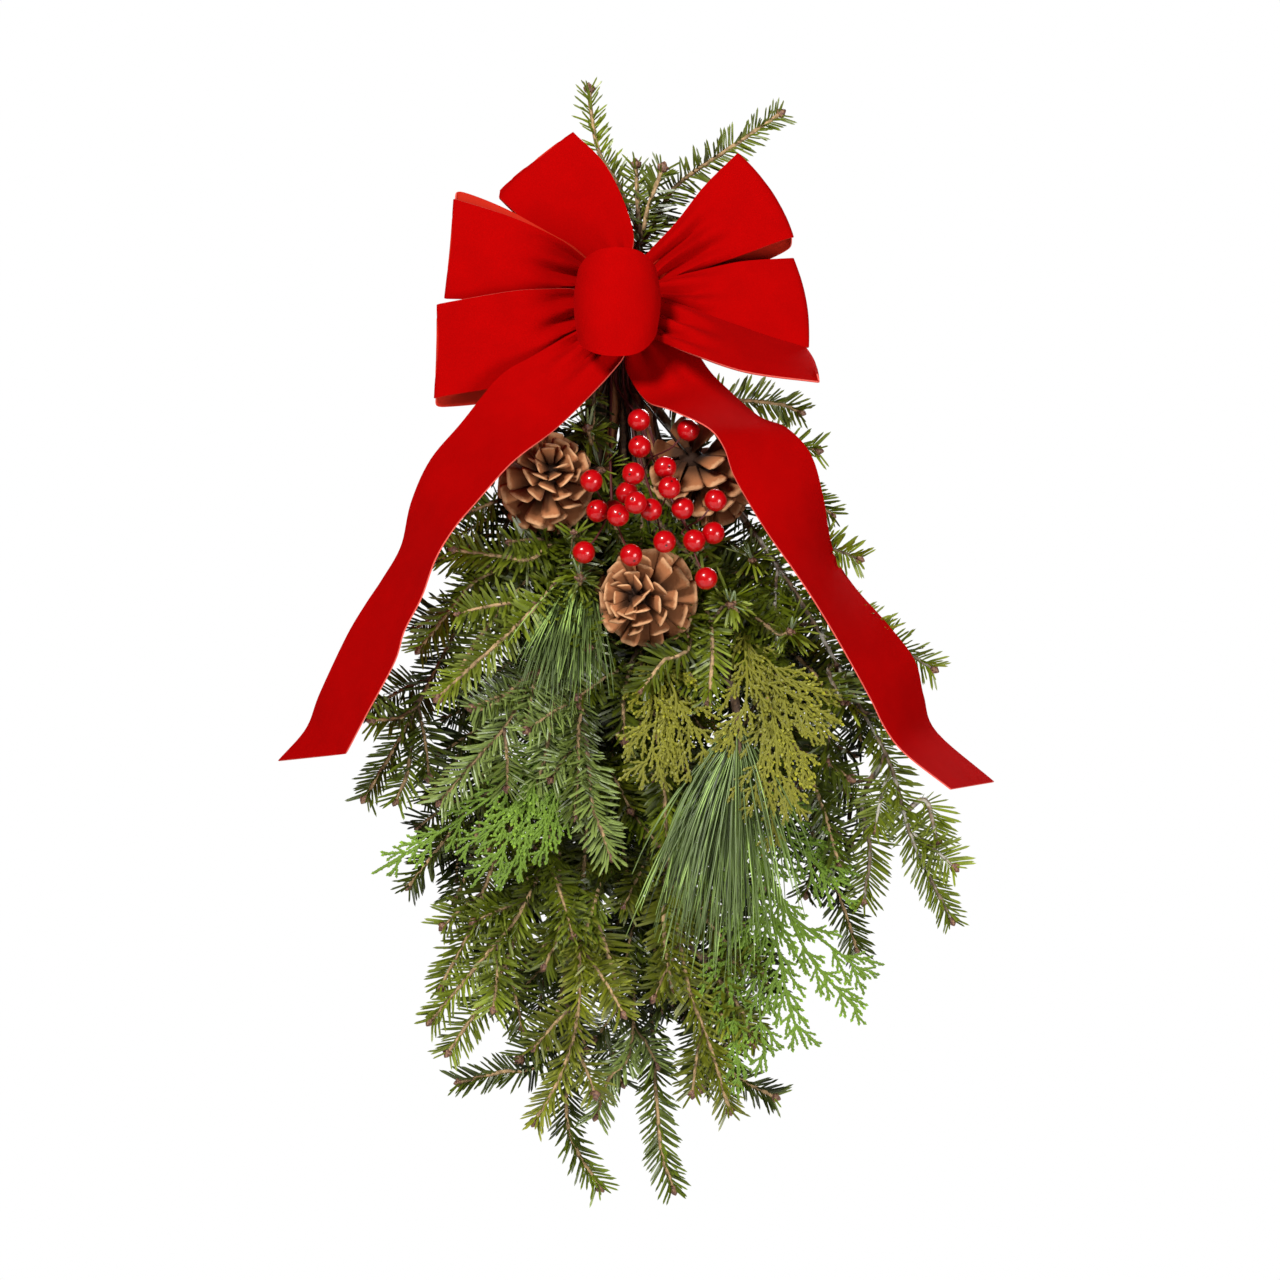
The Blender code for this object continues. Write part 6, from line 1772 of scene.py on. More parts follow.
def cedar_lines(stem, tree, rng):
    """A cedar bough: its stem, the part's side shoots and the frond along each of them."""
    lines = Lines()
    total = path_length(stem.path)
    begins = max(stem.held + NEEDLES_PAST_BUNDLE, stem.needles_from * total - FROND_BEFORE_NEEDLES)
    share = (np.linspace(0, total, len(stem.path)) - begins) / (total - begins)
    covered = np.clip(share * STEM_COVERED[0] - STEM_COVERED[1], 0, 1)
    # The stem and its side shoots carry painted shade from the greenery in front
    lines.add(stem.path, wood=stem.radii * ROUNDED_RADIUS, leaf=covered, share=covered,
              tone=FROND_TONE * painted_light_share(stem.path))
    frond(lines, stem.path, begins, tree, rng)
    for _, shoot in stem.sides:
        grown_over = np.linspace(0, 1, len(shoot)) * SHOOT_COVERED[0]
        lines.add(shoot, wood=np.linspace(*CEDAR_SHOOT_WOOD, len(shoot)),
                  leaf=np.clip(grown_over - SHOOT_COVERED[1], 0, 1), share=np.clip(grown_over, 0, 1),
                  tone=FROND_TONE * painted_light_share(shoot))
        frond(lines, shoot, FROND_ON_SHOOT, tree, rng)
    return lines


# Pine: how many needles each shoot has, how long they are, how widely they spread, how much of the
# shoot's head bears them, and which way they hang
PINES = {"pine_left": (230, 0.088, 1.00, 0.017, np.array([-0.46, -0.20, -0.26])),
         "pine_right": (230, 0.114, 1.10, 0.034, np.array([-0.38, 0.0, -0.28]))}
PINE_NEEDLE_RADII = 0.00052 * np.array([0.8, 1, 1, 1, 1, 0.95, 0.85, 0.65, 0.3])
PINE_FORWARD = 0.22
PINE_LEAVES_AT = 0.001
PINE_TRIES = 5
PINE_CLOSES = 0.12
PINE_FOOT_SPREAD = 1.25
PINE_TIP_CLOSER = 0.75
PINE_SPREADS = (0.3, 1.15)
PINE_LENGTHS = (0.74, 1.04)
PINE_DROOP_BACK = -0.30
PINE_DROOP_ASIDE = (-0.10, 0.10)
PINE_DROOP_OUT = 0.02
PINE_DROOP_DOWN = (-0.30, -0.04)
# Random tones of the pine needles, spread wide enough to be partly painted light and shade among them
PINE_TONES = (0.0, 0.25, 0.6, 1.0)


def pine_needles(stem, tree, rng):
    """Long fine needles that leave the end of a shoot all round and droop one way."""
    count, longest, sweep, head, hangs = PINES[stem.name]
    lines = Lines()
    total = path_length(stem.path)
    tangents, fronts, across = facing(stem.path)
    along = np.linspace(0, 1, len(PINE_NEEDLE_RADII))[:, None]
    for _ in range(count):
        share = rng.random()
        k = int((total - head * (1 - share)) / total * (len(stem.path) - 1))
        for attempt in range(PINE_TRIES):
            angle = rng.uniform(0, 2 * math.pi)
            normal = PINE_FORWARD * math.cos(angle) * fronts[k] + math.sin(angle) * across[k]
            lean = sweep * (PINE_FOOT_SPREAD - PINE_TIP_CLOSER * share) * rng.uniform(*PINE_SPREADS)
            aim = unit(tangents[k] + normal * lean * (1 - PINE_CLOSES * attempt) + hangs)
            length = longest * rng.uniform(*PINE_LENGTHS)
            droop = np.array([PINE_DROOP_BACK * aim[0] + rng.uniform(*PINE_DROOP_ASIDE), PINE_DROOP_OUT,
                              rng.uniform(*PINE_DROOP_DOWN)])
            needle = stem.path[k] + normal * PINE_LEAVES_AT + length * (aim * along + droop * along ** 2)
            if not touches(tree, needle[2:], PINE_ROOM):
                lines.add(needle, wood=PINE_NEEDLE_RADII, tone=rng.choice(PINE_TONES), share=along[:, 0])
                break
    return lines


# Trees of geometry nodes

FOLIAGE_INPUTS = {"Leaf": "Object", "Bud": "Object", "Kept clear": "Object",
                  "Wood finish": "Material", "Leaf finish": "Material", "Bud finish": "Material",
                  "Wood sides": "Int", "Leaf spacing": "Float", "Leaf length": "Float",
                  "Least lean": "Float", "Most lean": "Float", "Least turn": "Float", "Most turn": "Float",
                  "Face": "Float", "Seed": "Int"}
# Leaves lean along their twig more towards its tip, are turned a little to it, and differ in size and tone
LEAVES_CLOSE = 0.36
LEAF_FACES_ALONG = 0.45
LEAF_SIZES = (0.80, 1.10)
LEAF_TONES = (0.45, 1.0)
LEAST_LEAF = 0.08
LEAST_BUD = 0.05


def foliage_tree():
    """Clothes lines: round wood along them, leaves to both sides or all round, and a bud at each end."""
    if "foliage" in bpy.data.node_groups:
        return bpy.data.node_groups["foliage"]
    graph, inputs = new_tree("foliage", FOLIAGE_INPUTS)
    lines = graph.add("GeometryNodeMeshToCurve", None, {"Mesh": inputs["Geometry"]})
    wood = round_wood(graph, lines, inputs)
    leaves = leaves_along(graph, lines, inputs)
    buds = end_buds(graph, lines, inputs)
    return end_tree(graph, graph.add("GeometryNodeJoinGeometry", None, {"Geometry": [buds, leaves, wood]}))


def round_wood(graph, lines, inputs):
    """A round skin along each line, as thick as the line says."""
    profile = graph.add("GeometryNodeCurvePrimitiveCircle", None,
                        {"Resolution": inputs["Wood sides"], "Radius": 1.0})
    skin = graph.add("GeometryNodeCurveToMesh", None,
                     {"Curve": lines, "Profile Curve": profile, "Scale": graph.named("wood"),
                      "Fill Caps": True})
    return finished(graph, skin, inputs["Wood finish"])


def finished(graph, geometry, finish):
    """Copies made real, in one material."""
    real = graph.add("GeometryNodeRealizeInstances", None, {"Geometry": geometry})
    return graph.add("GeometryNodeSetMaterial", None, {"Geometry": real, "Material": finish})


def leaves_along(graph, lines, inputs):
    """Leaves at even steps, to each side in turn, save where one would cut what is kept clear."""
    points = graph.add("GeometryNodeCurveToPoints", {"mode": "LENGTH"},
                       {"Curve": lines, "Length": inputs["Leaf spacing"]})
    tangent = points.other("Tangent")
    front = graph.named("front", "FLOAT_VECTOR")
    side = tangent.maths("CROSS_PRODUCT", front)
    seed = inputs["Seed"]
    turn_side = 1.0 - 2.0 * graph.add("GeometryNodeInputIndex").maths("MODULO", 2.0)
    to_sides = graph.chance(inputs["Least turn"], inputs["Most turn"], seed) * turn_side
    all_round = graph.chance(-math.pi, math.pi, seed + 1)
    turned = graph.named("turned")
    turn = to_sides * (1.0 - turned) + all_round * turned
    closing = 1.0 - LEAVES_CLOSE * graph.named("share") ** 3.0
    lean = graph.chance(inputs["Least lean"], inputs["Most lean"], seed + 2) * closing
    outward = front * turn.maths("COSINE") + side * turn.maths("SINE")
    aim = tangent * lean.maths("COSINE") + outward * lean.maths("SINE")
    size = graph.named("leaf") * graph.chance(*LEAF_SIZES, seed + 3)
    hit = graph.add("GeometryNodeRaycast", None,
                    {"Target Geometry": graph.mesh_of(inputs["Kept clear"]), "Ray Direction": aim,
                     "Source Position": graph.add("GeometryNodeInputPosition"),
                     "Ray Length": size * inputs["Leaf length"]})
    stands = graph.named("leaf").maths("GREATER_THAN", LEAST_LEAF) * (1.0 - hit)
    upper = front * inputs["Face"] + tangent * LEAF_FACES_ALONG
    leaves = graph.repeated(inputs["Leaf"], points, graph.rotation(aim, upper), size, stands)
    # Each leaf's random tones times its line's tone, which holds the painted shade
    tone = graph.named("tone") * graph.chance(*LEAF_TONES, seed + 4)
    return finished(graph, graph.toned(leaves, tone), inputs["Leaf finish"])


def end_buds(graph, lines, inputs):
    """A bud at the far end of each line that bears one."""
    at_end = graph.add("GeometryNodeCurveEndpointSelection", None, {"Start Size": 0, "End Size": 1})
    budded = at_end * graph.named("bud").maths("GREATER_THAN", LEAST_BUD)
    rotation = graph.rotation(graph.add("GeometryNodeInputTangent"), graph.named("front", "FLOAT_VECTOR"))
    buds = graph.repeated(inputs["Bud"], lines, rotation, graph.named("bud"), budded)
    return finished(graph, buds, inputs["Bud finish"])


CONE_CORE = 0.0085
# The core is widest near its middle: what the square root is taken of, over the share of its length
CORE_SPAN = 1.75
CORE_FOOT = 0.75
CORE_ROUND = 1.05
CORE_LEAST = 0.06
CORE_RINGS = 9
CORE_SIDES = 12
GOLDEN_ANGLE = math.radians(137.508)
# A scale's reach as shares of the cone's radius: at least, more where the cone is widest, and by chance
SCALE_REACHES = 0.60
SCALE_REACHES_MORE = 0.36
SCALE_REACH_VARIES = 0.10
WIDEST_BEGINS = 0.15
HEAD_NARROWS = 0.40
# How steeply scales rise, in radians, how much they are tilted, and how wide they are
SCALE_RISES_MORE = 1.20
SCALE_SINKS = 0.26
SCALE_RISE_VARIES = 0.26
SCALE_TILTS = 0.6
SCALE_HALF_WIDTH = 0.0083
SCALES_NARROW = 0.38
SCALE_WIDTHS = (0.82, 1.12)
CONE_INPUTS = {"Scale shape": "Object", "Core shape": "Object", "Scales": "Int",
               "Turn between scales": "Float", "Scale half width": "Float", "Radius": "Float",
               "Length": "Float", "Middle": "Vector", "Turned": "Vector", "Finish": "Material", "Seed": "Int"}


def core_square(share):
    """The square of the core's radius as a share of its widest, for a number or a wire."""
    place = share * CORE_SPAN - CORE_FOOT
    return CORE_ROUND - place * place


def cone_core_shape():
    """The core that the scales stand on, coloured like their feet, in their darkest painted shade."""
    profile = []
    for share in np.linspace(0, 1, CORE_RINGS):
        height = CONE_LENGTH * (CONE_FOOT + (CONE_HEAD - CONE_FOOT) * share)
        profile.append((height, CONE_CORE * math.sqrt(max(CORE_LEAST, core_square(share)))))
    return turned_shape("cone_core_shape", profile, CORE_SIDES, np.zeros(CORE_RINGS))


def cone_tree():
    """An open cone: scales in a spiral round a core, flatter at the foot and closing towards the head."""
    graph, inputs = new_tree("cone", CONE_INPUTS)
    seed = inputs["Seed"]
    line = graph.add("GeometryNodeMeshLine", None, {"Count": inputs["Scales"]})
    index = graph.add("GeometryNodeInputIndex")
    share = index / (inputs["Scales"] - 1.0)
    angle = index * inputs["Turn between scales"]
    height = (CONE_FOOT + (CONE_HEAD - CONE_FOOT) * share) * inputs["Length"]
    core = core_square(share).maths("MAXIMUM", CORE_LEAST) ** 0.5 * CONE_CORE
    widest = (share * (1 - WIDEST_BEGINS) * math.pi + WIDEST_BEGINS * math.pi).maths("SINE")
    full = SCALE_REACHES + SCALE_REACHES_MORE * widest + graph.chance(0.0, SCALE_REACH_VARIES, seed + 2)
    reach = full * (1.0 - HEAD_NARROWS * share ** 3.0) * inputs["Radius"]
    varied = graph.chance(-SCALE_RISE_VARIES, SCALE_RISE_VARIES, seed)
    rise = share ** 1.2 * SCALE_RISES_MORE - SCALE_SINKS + varied
    out = graph.vector(angle.maths("COSINE"), angle.maths("SINE"), 0.0)
    up = graph.vector(0.0, 0.0, 1.0)
    tilted = graph.vector(graph.chance(-SCALE_TILTS, SCALE_TILTS, seed + 3),
                          graph.chance(-SCALE_TILTS, SCALE_TILTS, seed + 4), 1.0)
    aim = out * rise.maths("COSINE") + up * rise.maths("SINE")
    placed = graph.add("GeometryNodeSetPosition", None,
                       {"Geometry": line, "Position": out * core * 0.5 + up * height})
    half = inputs["Scale half width"] * (1.0 - SCALES_NARROW * share ** 2.0)
    half = half * graph.chance(*SCALE_WIDTHS, seed + 5)
    scales = graph.repeated(inputs["Scale shape"], placed, graph.rotation(aim, tilted),
                            graph.vector(half, half, reach - core * 0.5))
    toned = graph.toned(scales, graph.chance(0.0, 1.0, seed + 1))
    both = graph.add("GeometryNodeJoinGeometry", None,
                     {"Geometry": [toned, graph.mesh_of(inputs["Core shape"])]})
    turned = graph.add("GeometryNodeTransform", None,
                       {"Geometry": both, "Translation": inputs["Middle"],
                        "Rotation": graph.add("FunctionNodeEulerToRotation", None,
                                              {"Euler": inputs["Turned"]})})
    return end_tree(graph, finished(graph, turned, inputs["Finish"]))


# Finishes

def shade(red, green, blue):
    """A colour from the usual 0-255 numbers, as the light that it stands for."""
    return tuple(((part / 255 + 0.055) / 1.055) ** 2.4 if part > 10 else part / 3294.6
                 for part in (red, green, blue))


def solid(colour):
    return (*colour[:3], 1.0)


def darker(colour, share):
    """A colour with a share of its light, or lighter where the share is over 1."""
    return solid([part * share for part in colour[:3]])


# Colours that aren't settings
NEEDLE_BACK = shade(150, 168, 138)
DARK_NEEDLE_BACK = shade(104, 122, 96)
LIGHT_NEEDLE_TIP = shade(150, 160, 70)
YELLOW_NEEDLE_TIP = shade(170, 168, 80)
OLD_BARK = (solid(shade(52, 38, 28)), solid(shade(112, 86, 62)))
LICHENED_BARK = shade(112, 96, 76)
LICHEN = solid(shade(176, 172, 160))
PINE_BARK = shade(140, 104, 70)
FROND_BROWN = (solid(shade(110, 66, 36)), solid(shade(164, 110, 62)))
BUD_BROWN = (solid(shade(84, 48, 42)), solid(shade(134, 98, 70)))
VELVET_SHEEN = solid(shade(255, 16, 24))
BERRY_END = solid(shade(70, 8, 8))


class Finish:
    """A material in the making: its shader's fixed values, and the graph that drives the others."""

    def __init__(self, name, roughness, **others):
        self.material = bpy.data.materials.new(name)
        self.material.use_nodes = True
        self.shader = self.material.node_tree.nodes["Principled BSDF"]
        self.graph = Graph(self.material.node_tree)
        for key, value in {"roughness": roughness, **others}.items():
            label = "Specular IOR Level" if key == "specular" else key.replace("_", " ").title()
            self.shader.inputs[label].default_value = value

    def drive(self, name, wire):
        self.graph.tree.links.new(wire.socket, self.shader.inputs[name])

    def painted(self, colour):
        """The material in a colour that the graph works out."""
        self.drive("Base Color", colour)
        return self.material

    def raised(self, height, strength, distance):
        """Relief on the surface."""
        normal = self.graph.add("ShaderNodeBump", None,
                                {"Strength": strength, "Distance": distance, "Height": height}, "Normal")
        self.drive("Normal", normal)


def leaf_finish(name, colour, under, tip=None, roughness=0.36):
    """Living leaves: darkest in painted shade where greenery stands before them, with painted light and shade
    in their wide random tones, some of them pale, paler towards the tip, partly as painted highlight, and
    dull beneath.
    """
    finish = Finish(name, roughness)
    graph = finish.graph
    tone = graph.attribute("tone")
    # From 0.12 to 1.78 times the colour: painted shade behind the greenery in front, and random tones spread
    # wide enough to paint light and shade among the leaves
    base = graph.blend(tone, darker(colour, 0.12), darker(colour, 1.78))
    patchy = graph.blend(graph.ramp(graph.noise(28.0), 0.40, 0.62), base, darker(colour, 0.55))
    # Paler towards the tip where the leaf is brightest: partly the tip's own colour, partly painted highlight
    pale = graph.ramp(graph.attribute("along"), 0.35, 1.0) * graph.ramp(tone, 0.15, 0.8)
    tipped = graph.blend(pale * 0.55, patchy, solid(tip or darker(colour, 1.8)))
    beneath = graph.attribute("under") * graph.ramp(tone, 0.0, 0.6) * 0.65
    finish.raised(graph.noise(900.0), 0.15, 0.0004)
    return finish.painted(graph.blend(beneath, tipped, solid(under)))


def bark_finish(name, colour, lichen=0.0):
    """Twig bark: fine cracks, older and browner near the bundle, and pale lichen where there is some."""
    finish = Finish(name, 0.85)
    graph = finish.graph
    grain = graph.noise(320.0, 5.0)
    cracks = graph.ramp(grain, 0.3, 0.7)
    young = graph.blend(cracks, darker(colour, 0.5), darker(colour, 1.25))
    aged = graph.blend(cracks, *OLD_BARK)
    base = graph.blend(graph.ramp(graph.attribute("share"), 0.05, 0.5), aged, young)
    patches = graph.ramp(graph.noise(110.0, 4.0), 0.46, 0.60) * lichen
    finish.raised(grain + graph.noise(1400.0) * 0.4, 0.5, 0.0006)
    return finish.painted(graph.blend(patches, base, LICHEN))


def frond_wood_finish(name, green):
    """Brown on the stem of a frond and green where scales cover it."""
    finish = Finish(name, 0.7)
    graph = finish.graph
    covered = graph.ramp(graph.attribute("share"), 0.0, 0.1)
    brown = graph.blend(graph.noise(400.0, 4.0), *FROND_BROWN)
    finish.raised(graph.noise(900.0), 0.3, 0.0004)
    return finish.painted(graph.blend(covered, brown, darker(green, 0.8)))


def bud_finish():
    """Mottled brown bud scales."""
    finish = Finish("bud scales", 0.5)
    graph = finish.graph
    mottled = graph.ramp(graph.noise(700.0), 0.35, 0.65)
    finish.raised(mottled, 0.5, 0.0004)
    return finish.painted(graph.blend(mottled, *BUD_BROWN))


def velvet_finish(colour):
    """Cut pile that drinks the light face on and glows at glancing edges, with its lie in faint patches."""
    finish = Finish("red velvet", 0.95, sheen_weight=0.22, sheen_roughness=0.35, sheen_tint=VELVET_SHEEN,
                    specular=0.03)
    graph = finish.graph
    lie = graph.ramp(graph.noise(60.0, 3.0), 0.25, 0.75)
    pile = graph.noise(2600.0, 1.0)
    deep = graph.blend(lie, darker(colour, 0.93), darker(colour, 1.04))
    finish.raised(pile, 0.35, 0.0005)
    return finish.painted(graph.blend(pile * 0.5, deep, darker(colour, 0.55)))


def woven_finish(name, colour, roughness):
    """The plain woven back of the ribbon, or its cut edge."""
    finish = Finish(name, roughness, specular=0.08)
    graph = finish.graph
    place = graph.add("ShaderNodeUVMap", {"uv_map": "UVMap"})
    weave = graph.add("ShaderNodeTexWave", {"wave_type": "BANDS"}, {"Vector": place, "Scale": 420.0}, "Fac")
    finish.raised(weave, 0.3, 0.0003)
    worn = weave * 0.35 + graph.noise(90.0) * 0.3
    return finish.painted(graph.blend(worn, solid(colour), darker(colour, 0.6)))


def cone_finish(colour, pale):
    """Woody scales, in painted shade towards their feet among the other scales and pale at their rough outer
    ends.
    """
    finish = Finish("cone scales", 0.8, specular=0.2)
    graph = finish.graph
    along = graph.attribute("along")
    rough = graph.noise(380.0, 4.0)
    # Painted shade: the scale darkens to 0.06 of its colour towards its foot, deep among the other scales
    inner = graph.blend(graph.ramp(along, 0.25, 0.88), darker(colour, 0.06), solid(colour))
    outer = graph.blend(graph.ramp(along + (rough - 0.5) * 0.22, 0.86, 0.99), inner, solid(pale))
    finish.raised(rough, 0.55, 0.0008)
    return finish.painted(graph.blend(graph.attribute("tone") * 0.45, outer, darker(colour, 0.5)))


def berry_finish(colour):
    """Lacquered red with a darker end."""
    finish = Finish("berry lacquer", 0.35, coat_weight=0.6, coat_roughness=0.03, specular=0.15)
    graph = finish.graph
    worn = graph.ramp(graph.noise(240.0, 3.0), 0.55, 0.85) * 0.35
    red = graph.blend(worn, solid(colour), darker(colour, 0.45))
    finish.raised(graph.noise(160.0), 0.08, 0.0008)
    return finish.painted(graph.blend(graph.ramp(graph.attribute("along"), 0.90, 0.99), red, BERRY_END))


def wire_finish(name, colour, metallic, roughness):
    """Drawn or wrapped wire, a little darker in spots."""
    finish = Finish(name, roughness, metallic=metallic)
    graph = finish.graph
    rough = graph.noise(700.0, 3.0)
    finish.raised(rough, 0.2, 0.0002)
    return finish.painted(graph.blend(graph.ramp(rough, 0.4, 0.8), solid(colour), darker(colour, 0.5)))


def paint_finish(colour):
    """The floor's paint, nearly even."""
    finish = Finish("floor paint", 0.85)
    return finish.painted(finish.graph.blend(finish.graph.noise(3.0), solid(colour), darker(colour, 0.97)))


# Sizes and colours that a user would change

def length_property(name, default, description):
    return FloatProperty(name=name, description=description, default=default, min=0.0001, unit="LENGTH")


def colour_property(name, default, description):
    return FloatVectorProperty(name=name, description=description, default=default, size=3, min=0.0, max=1.0,
                               subtype="COLOR")


def power_property(name, default, description):
    return FloatProperty(name=name, description=description, default=default, min=0.0, unit="POWER")


class SwagRibbonSettings(bpy.types.PropertyGroup):
    velvet: colour_property("Velvet", shade(160, 0, 0), "Pile side of the ribbon")
    lining: colour_property("Lining", shade(186, 36, 18), "Woven back of the ribbon")
    cut_edge: colour_property("Cut edge", shade(210, 88, 76), "Cut edges of the ribbon")


class SwagGreenSettings(bpy.types.PropertyGroup):
    needle_spacing: length_property("Needle spacing", 0.00066, "Distance between needles along a twig")
    twig_spacing: length_property("Twig spacing", 0.036, "Distance between added twigs along a bough")
    twig_length: length_property("Twig length", 0.058, "Length of a bough's longest added twigs")
    scale_spacing: length_property("Cedar scale spacing", 0.0020, "Distance between scales on a cedar frond")
    fir_light: colour_property("Light fir", shade(104, 117, 13), "Light green needles")
    fir_dark: colour_property("Dark fir", shade(88, 102, 18), "Dark green needles")
    fir_blue: colour_property("Bluish fir", shade(134, 152, 84), "Needles that show their undersides")
    fir_yellow: colour_property("Yellowish fir", shade(112, 119, 17), "Yellow-green needles")
    cedar_green: colour_property("Green cedar", shade(100, 130, 18), "Green cedar fronds")
    cedar_gold: colour_property("Golden cedar", shade(120, 118, 10), "Golden cedar fronds")
    pine: colour_property("Pine", shade(118, 140, 72), "Long pine needles")
    twig: colour_property("Twig", shade(166, 136, 96), "Bark of the fir twigs")


class SwagTrimSettings(bpy.types.PropertyGroup):
    cone_scales: IntProperty(name="Cone scales", description="Scales on each cone", default=62,
                             min=20, max=200)
    cone: colour_property("Cone", shade(166, 106, 66), "Cone scales")
    cone_edge: colour_property("Cone edge", shade(206, 156, 112), "Outer ends of the cone scales")
    berry: colour_property("Berry", shade(168, 0, 6), "Berries")
    berry_wire: colour_property("Berry wire", shade(78, 14, 14), "Wrapped wires of the berries")
    wire: colour_property("Wire", shade(60, 58, 52), "Tying wire and hanger")


class SwagStageSettings(bpy.types.PropertyGroup):
    floor: colour_property("Floor", (0.82, 0.82, 0.82), "Pale studio floor")
    key_power: power_property("Key light", 148.0, "Power of the main light")
    fill_power: power_property("Fill light", 66.0, "Power of the fill light")
    back_power: power_property("Back light", 85.0, "Power of the light behind")


# Operators

def shape(name):
    """One of the shapes that the nodes repeat or test against, made when it is first asked for."""
    makers = {"kept_clear": keep_clear, "needle_shape": needle_shape, "scale_leaf_shape": scale_leaf_shape,
              "bud_shape": bud_shape, "berry_shape": berry_shape}
    return bpy.data.objects.get(name) or makers[name]()


def in_the_way():
    """The bow, the cones and the berries as a search tree, for finding what is near them."""
    mesh = shape("kept_clear").data
    return BVHTree.FromPolygons([vertex.co for vertex in mesh.vertices],
                                [tuple(face.vertices) for face in mesh.polygons])


def foliage_values(leaf, bud, sides, spacing):
    """What the foliage tree is given for every piece."""
    return {"Leaf": shape(leaf), "Bud": shape(bud), "Kept clear": shape("kept_clear"),
            "Wood sides": sides, "Leaf spacing": spacing}


def leaf_angles(leans, turns):
    """How far leaves lean from their twig and turn round it, from limits in degrees."""
    names = ("Least lean", "Most lean", "Least turn", "Most turn")
    return dict(zip(names, map(math.radians, (*leans, *turns))))


NEEDLE_ANGLES = leaf_angles((60, 84), (12, 112))
SCALE_ANGLES = leaf_angles((14, 26), (78, 102))
# Bare wood and wire bear no leaves, so the tree looks for them at wide steps
BARE_SPACING = 0.002
# The bough whose bark has lichen on it, and how strongly it shows
LICHENED_BOUGH = "fir_right_big"
LICHEN_SHARE = 0.8
# Every piece draws its chances from its own number
SEED_STEP = 10
PINE_SEED = 7
CONE_SEED = 40


class SWAG_OT_ribbon(bpy.types.Operator):
    """Tie the velvet bow: six loops, two tails and the loop round its middle."""

    bl_idname = "swag.ribbon"
    bl_label = "Bow"

    def execute(self, context):
        settings = context.scene.swag_ribbon
        finishes = (velvet_finish(settings.velvet), woven_finish("ribbon back", settings.lining, 0.8),
                    woven_finish("ribbon cut edge", settings.cut_edge, 0.9))
        for name, (edge_a, edge_b, outward) in ribbons().items():
            if name == "bow_centre_loop":
                edge_a, edge_b = knot_edges(KNOT_ROUNDNESS)
            grid = ribbon_grid(name, edge_a, edge_b)
            piece = ribbon_piece(name + "_velvet", grid, outward, finishes)
            settle_in(piece, name)
            held = "hung" if "tail" in name else "gathered"
        return {"FINISHED"}


class SWAG_OT_fir(bpy.types.Operator):
    """Grow the fir boughs with their twigs, needles and buds."""

    bl_idname = "swag.fir"
    bl_label = "Fir boughs"

    def execute(self, context):
        settings = context.scene.swag_green
        tree = foliage_tree()
        blocked = in_the_way()
        needles = {FIR_LIGHT: leaf_finish("light fir needles", settings.fir_light, NEEDLE_BACK,
                                          LIGHT_NEEDLE_TIP),
                   FIR_DARK: leaf_finish("dark fir needles", settings.fir_dark, DARK_NEEDLE_BACK),
                   FIR_BLUE: leaf_finish("bluish fir needles", settings.fir_dark, settings.fir_blue,
                                         settings.fir_light),
                   FIR_YELLOW: leaf_finish("yellowish fir needles", settings.fir_yellow, NEEDLE_BACK,
                                           YELLOW_NEEDLE_TIP)}
        bark = bark_finish("fir bark", settings.twig)
        old_bark = bark_finish("lichened bark", LICHENED_BARK, LICHEN_SHARE)
        values = {**foliage_values("needle_shape", "bud_shape", 8, settings.needle_spacing), **NEEDLE_ANGLES,
                  "Bud finish": bud_finish(), "Leaf length": NEEDLE_LENGTH}
        for number, stem in enumerate(cuttings().values()):
            if stem.kind not in needles:
                continue
            upright = stem.name in UPRIGHTS
            at_back = not upright and BOUGHS[stem.name][0] < LAYERS_BEHIND
            spacing = settings.twig_spacing * (FULLER_BEHIND if at_back else 1.0)
            lines = bough_lines(stem, spacing, settings.twig_length, blocked, random.Random(number + 1))
            values["Leaf spacing"] = settings.needle_spacing * (UPRIGHT_SPACING if upright else 1.0)
            values["Leaf finish"] = needles[FIR_LIGHT if stem.name in LIGHTER else stem.kind]
            values["Wood finish"] = old_bark if stem.name == LICHENED_BOUGH else bark
            values["Face"] = -1.0 if stem.kind == FIR_BLUE else 1.0
            values["Seed"] = SEED_STEP * number
            piece = grown(stem.name + "_needled", lines.mesh(stem.name + "_lines"), tree, values)
            settle_in(piece, stem.name)
        return {"FINISHED"}


class SWAG_OT_cedar(bpy.types.Operator):
    """Grow the green and golden cedar fronds."""

    bl_idname = "swag.cedar"
    bl_label = "Cedar fronds"

    def execute(self, context):
        settings = context.scene.swag_green
        tree = foliage_tree()
        blocked = in_the_way()
        finishes = {}
        for kind, word, green in ((CEDAR_GREEN, "green", settings.cedar_green),
                                  (CEDAR_GOLD, "golden", settings.cedar_gold)):
            finishes[kind] = (leaf_finish(word + " cedar scales", green, green, roughness=0.55),
                              frond_wood_finish(word + " cedar wood", green))
        values = {**foliage_values("scale_leaf_shape", "bud_shape", 5, settings.scale_spacing),
                  **SCALE_ANGLES, "Leaf length": SCALE_LEAF[2], "Face": 1.0}
        for number, stem in enumerate(cuttings().values()):
            if stem.kind not in finishes:
                continue
            lines = cedar_lines(stem, blocked, random.Random(number + 1))
            values["Leaf finish"], values["Wood finish"] = finishes[stem.kind]
            values["Seed"] = SEED_STEP * number
            piece = grown(stem.name + "_fronds", lines.mesh(stem.name + "_lines"), tree, values)
            settle_in(piece, stem.name)
        return {"FINISHED"}


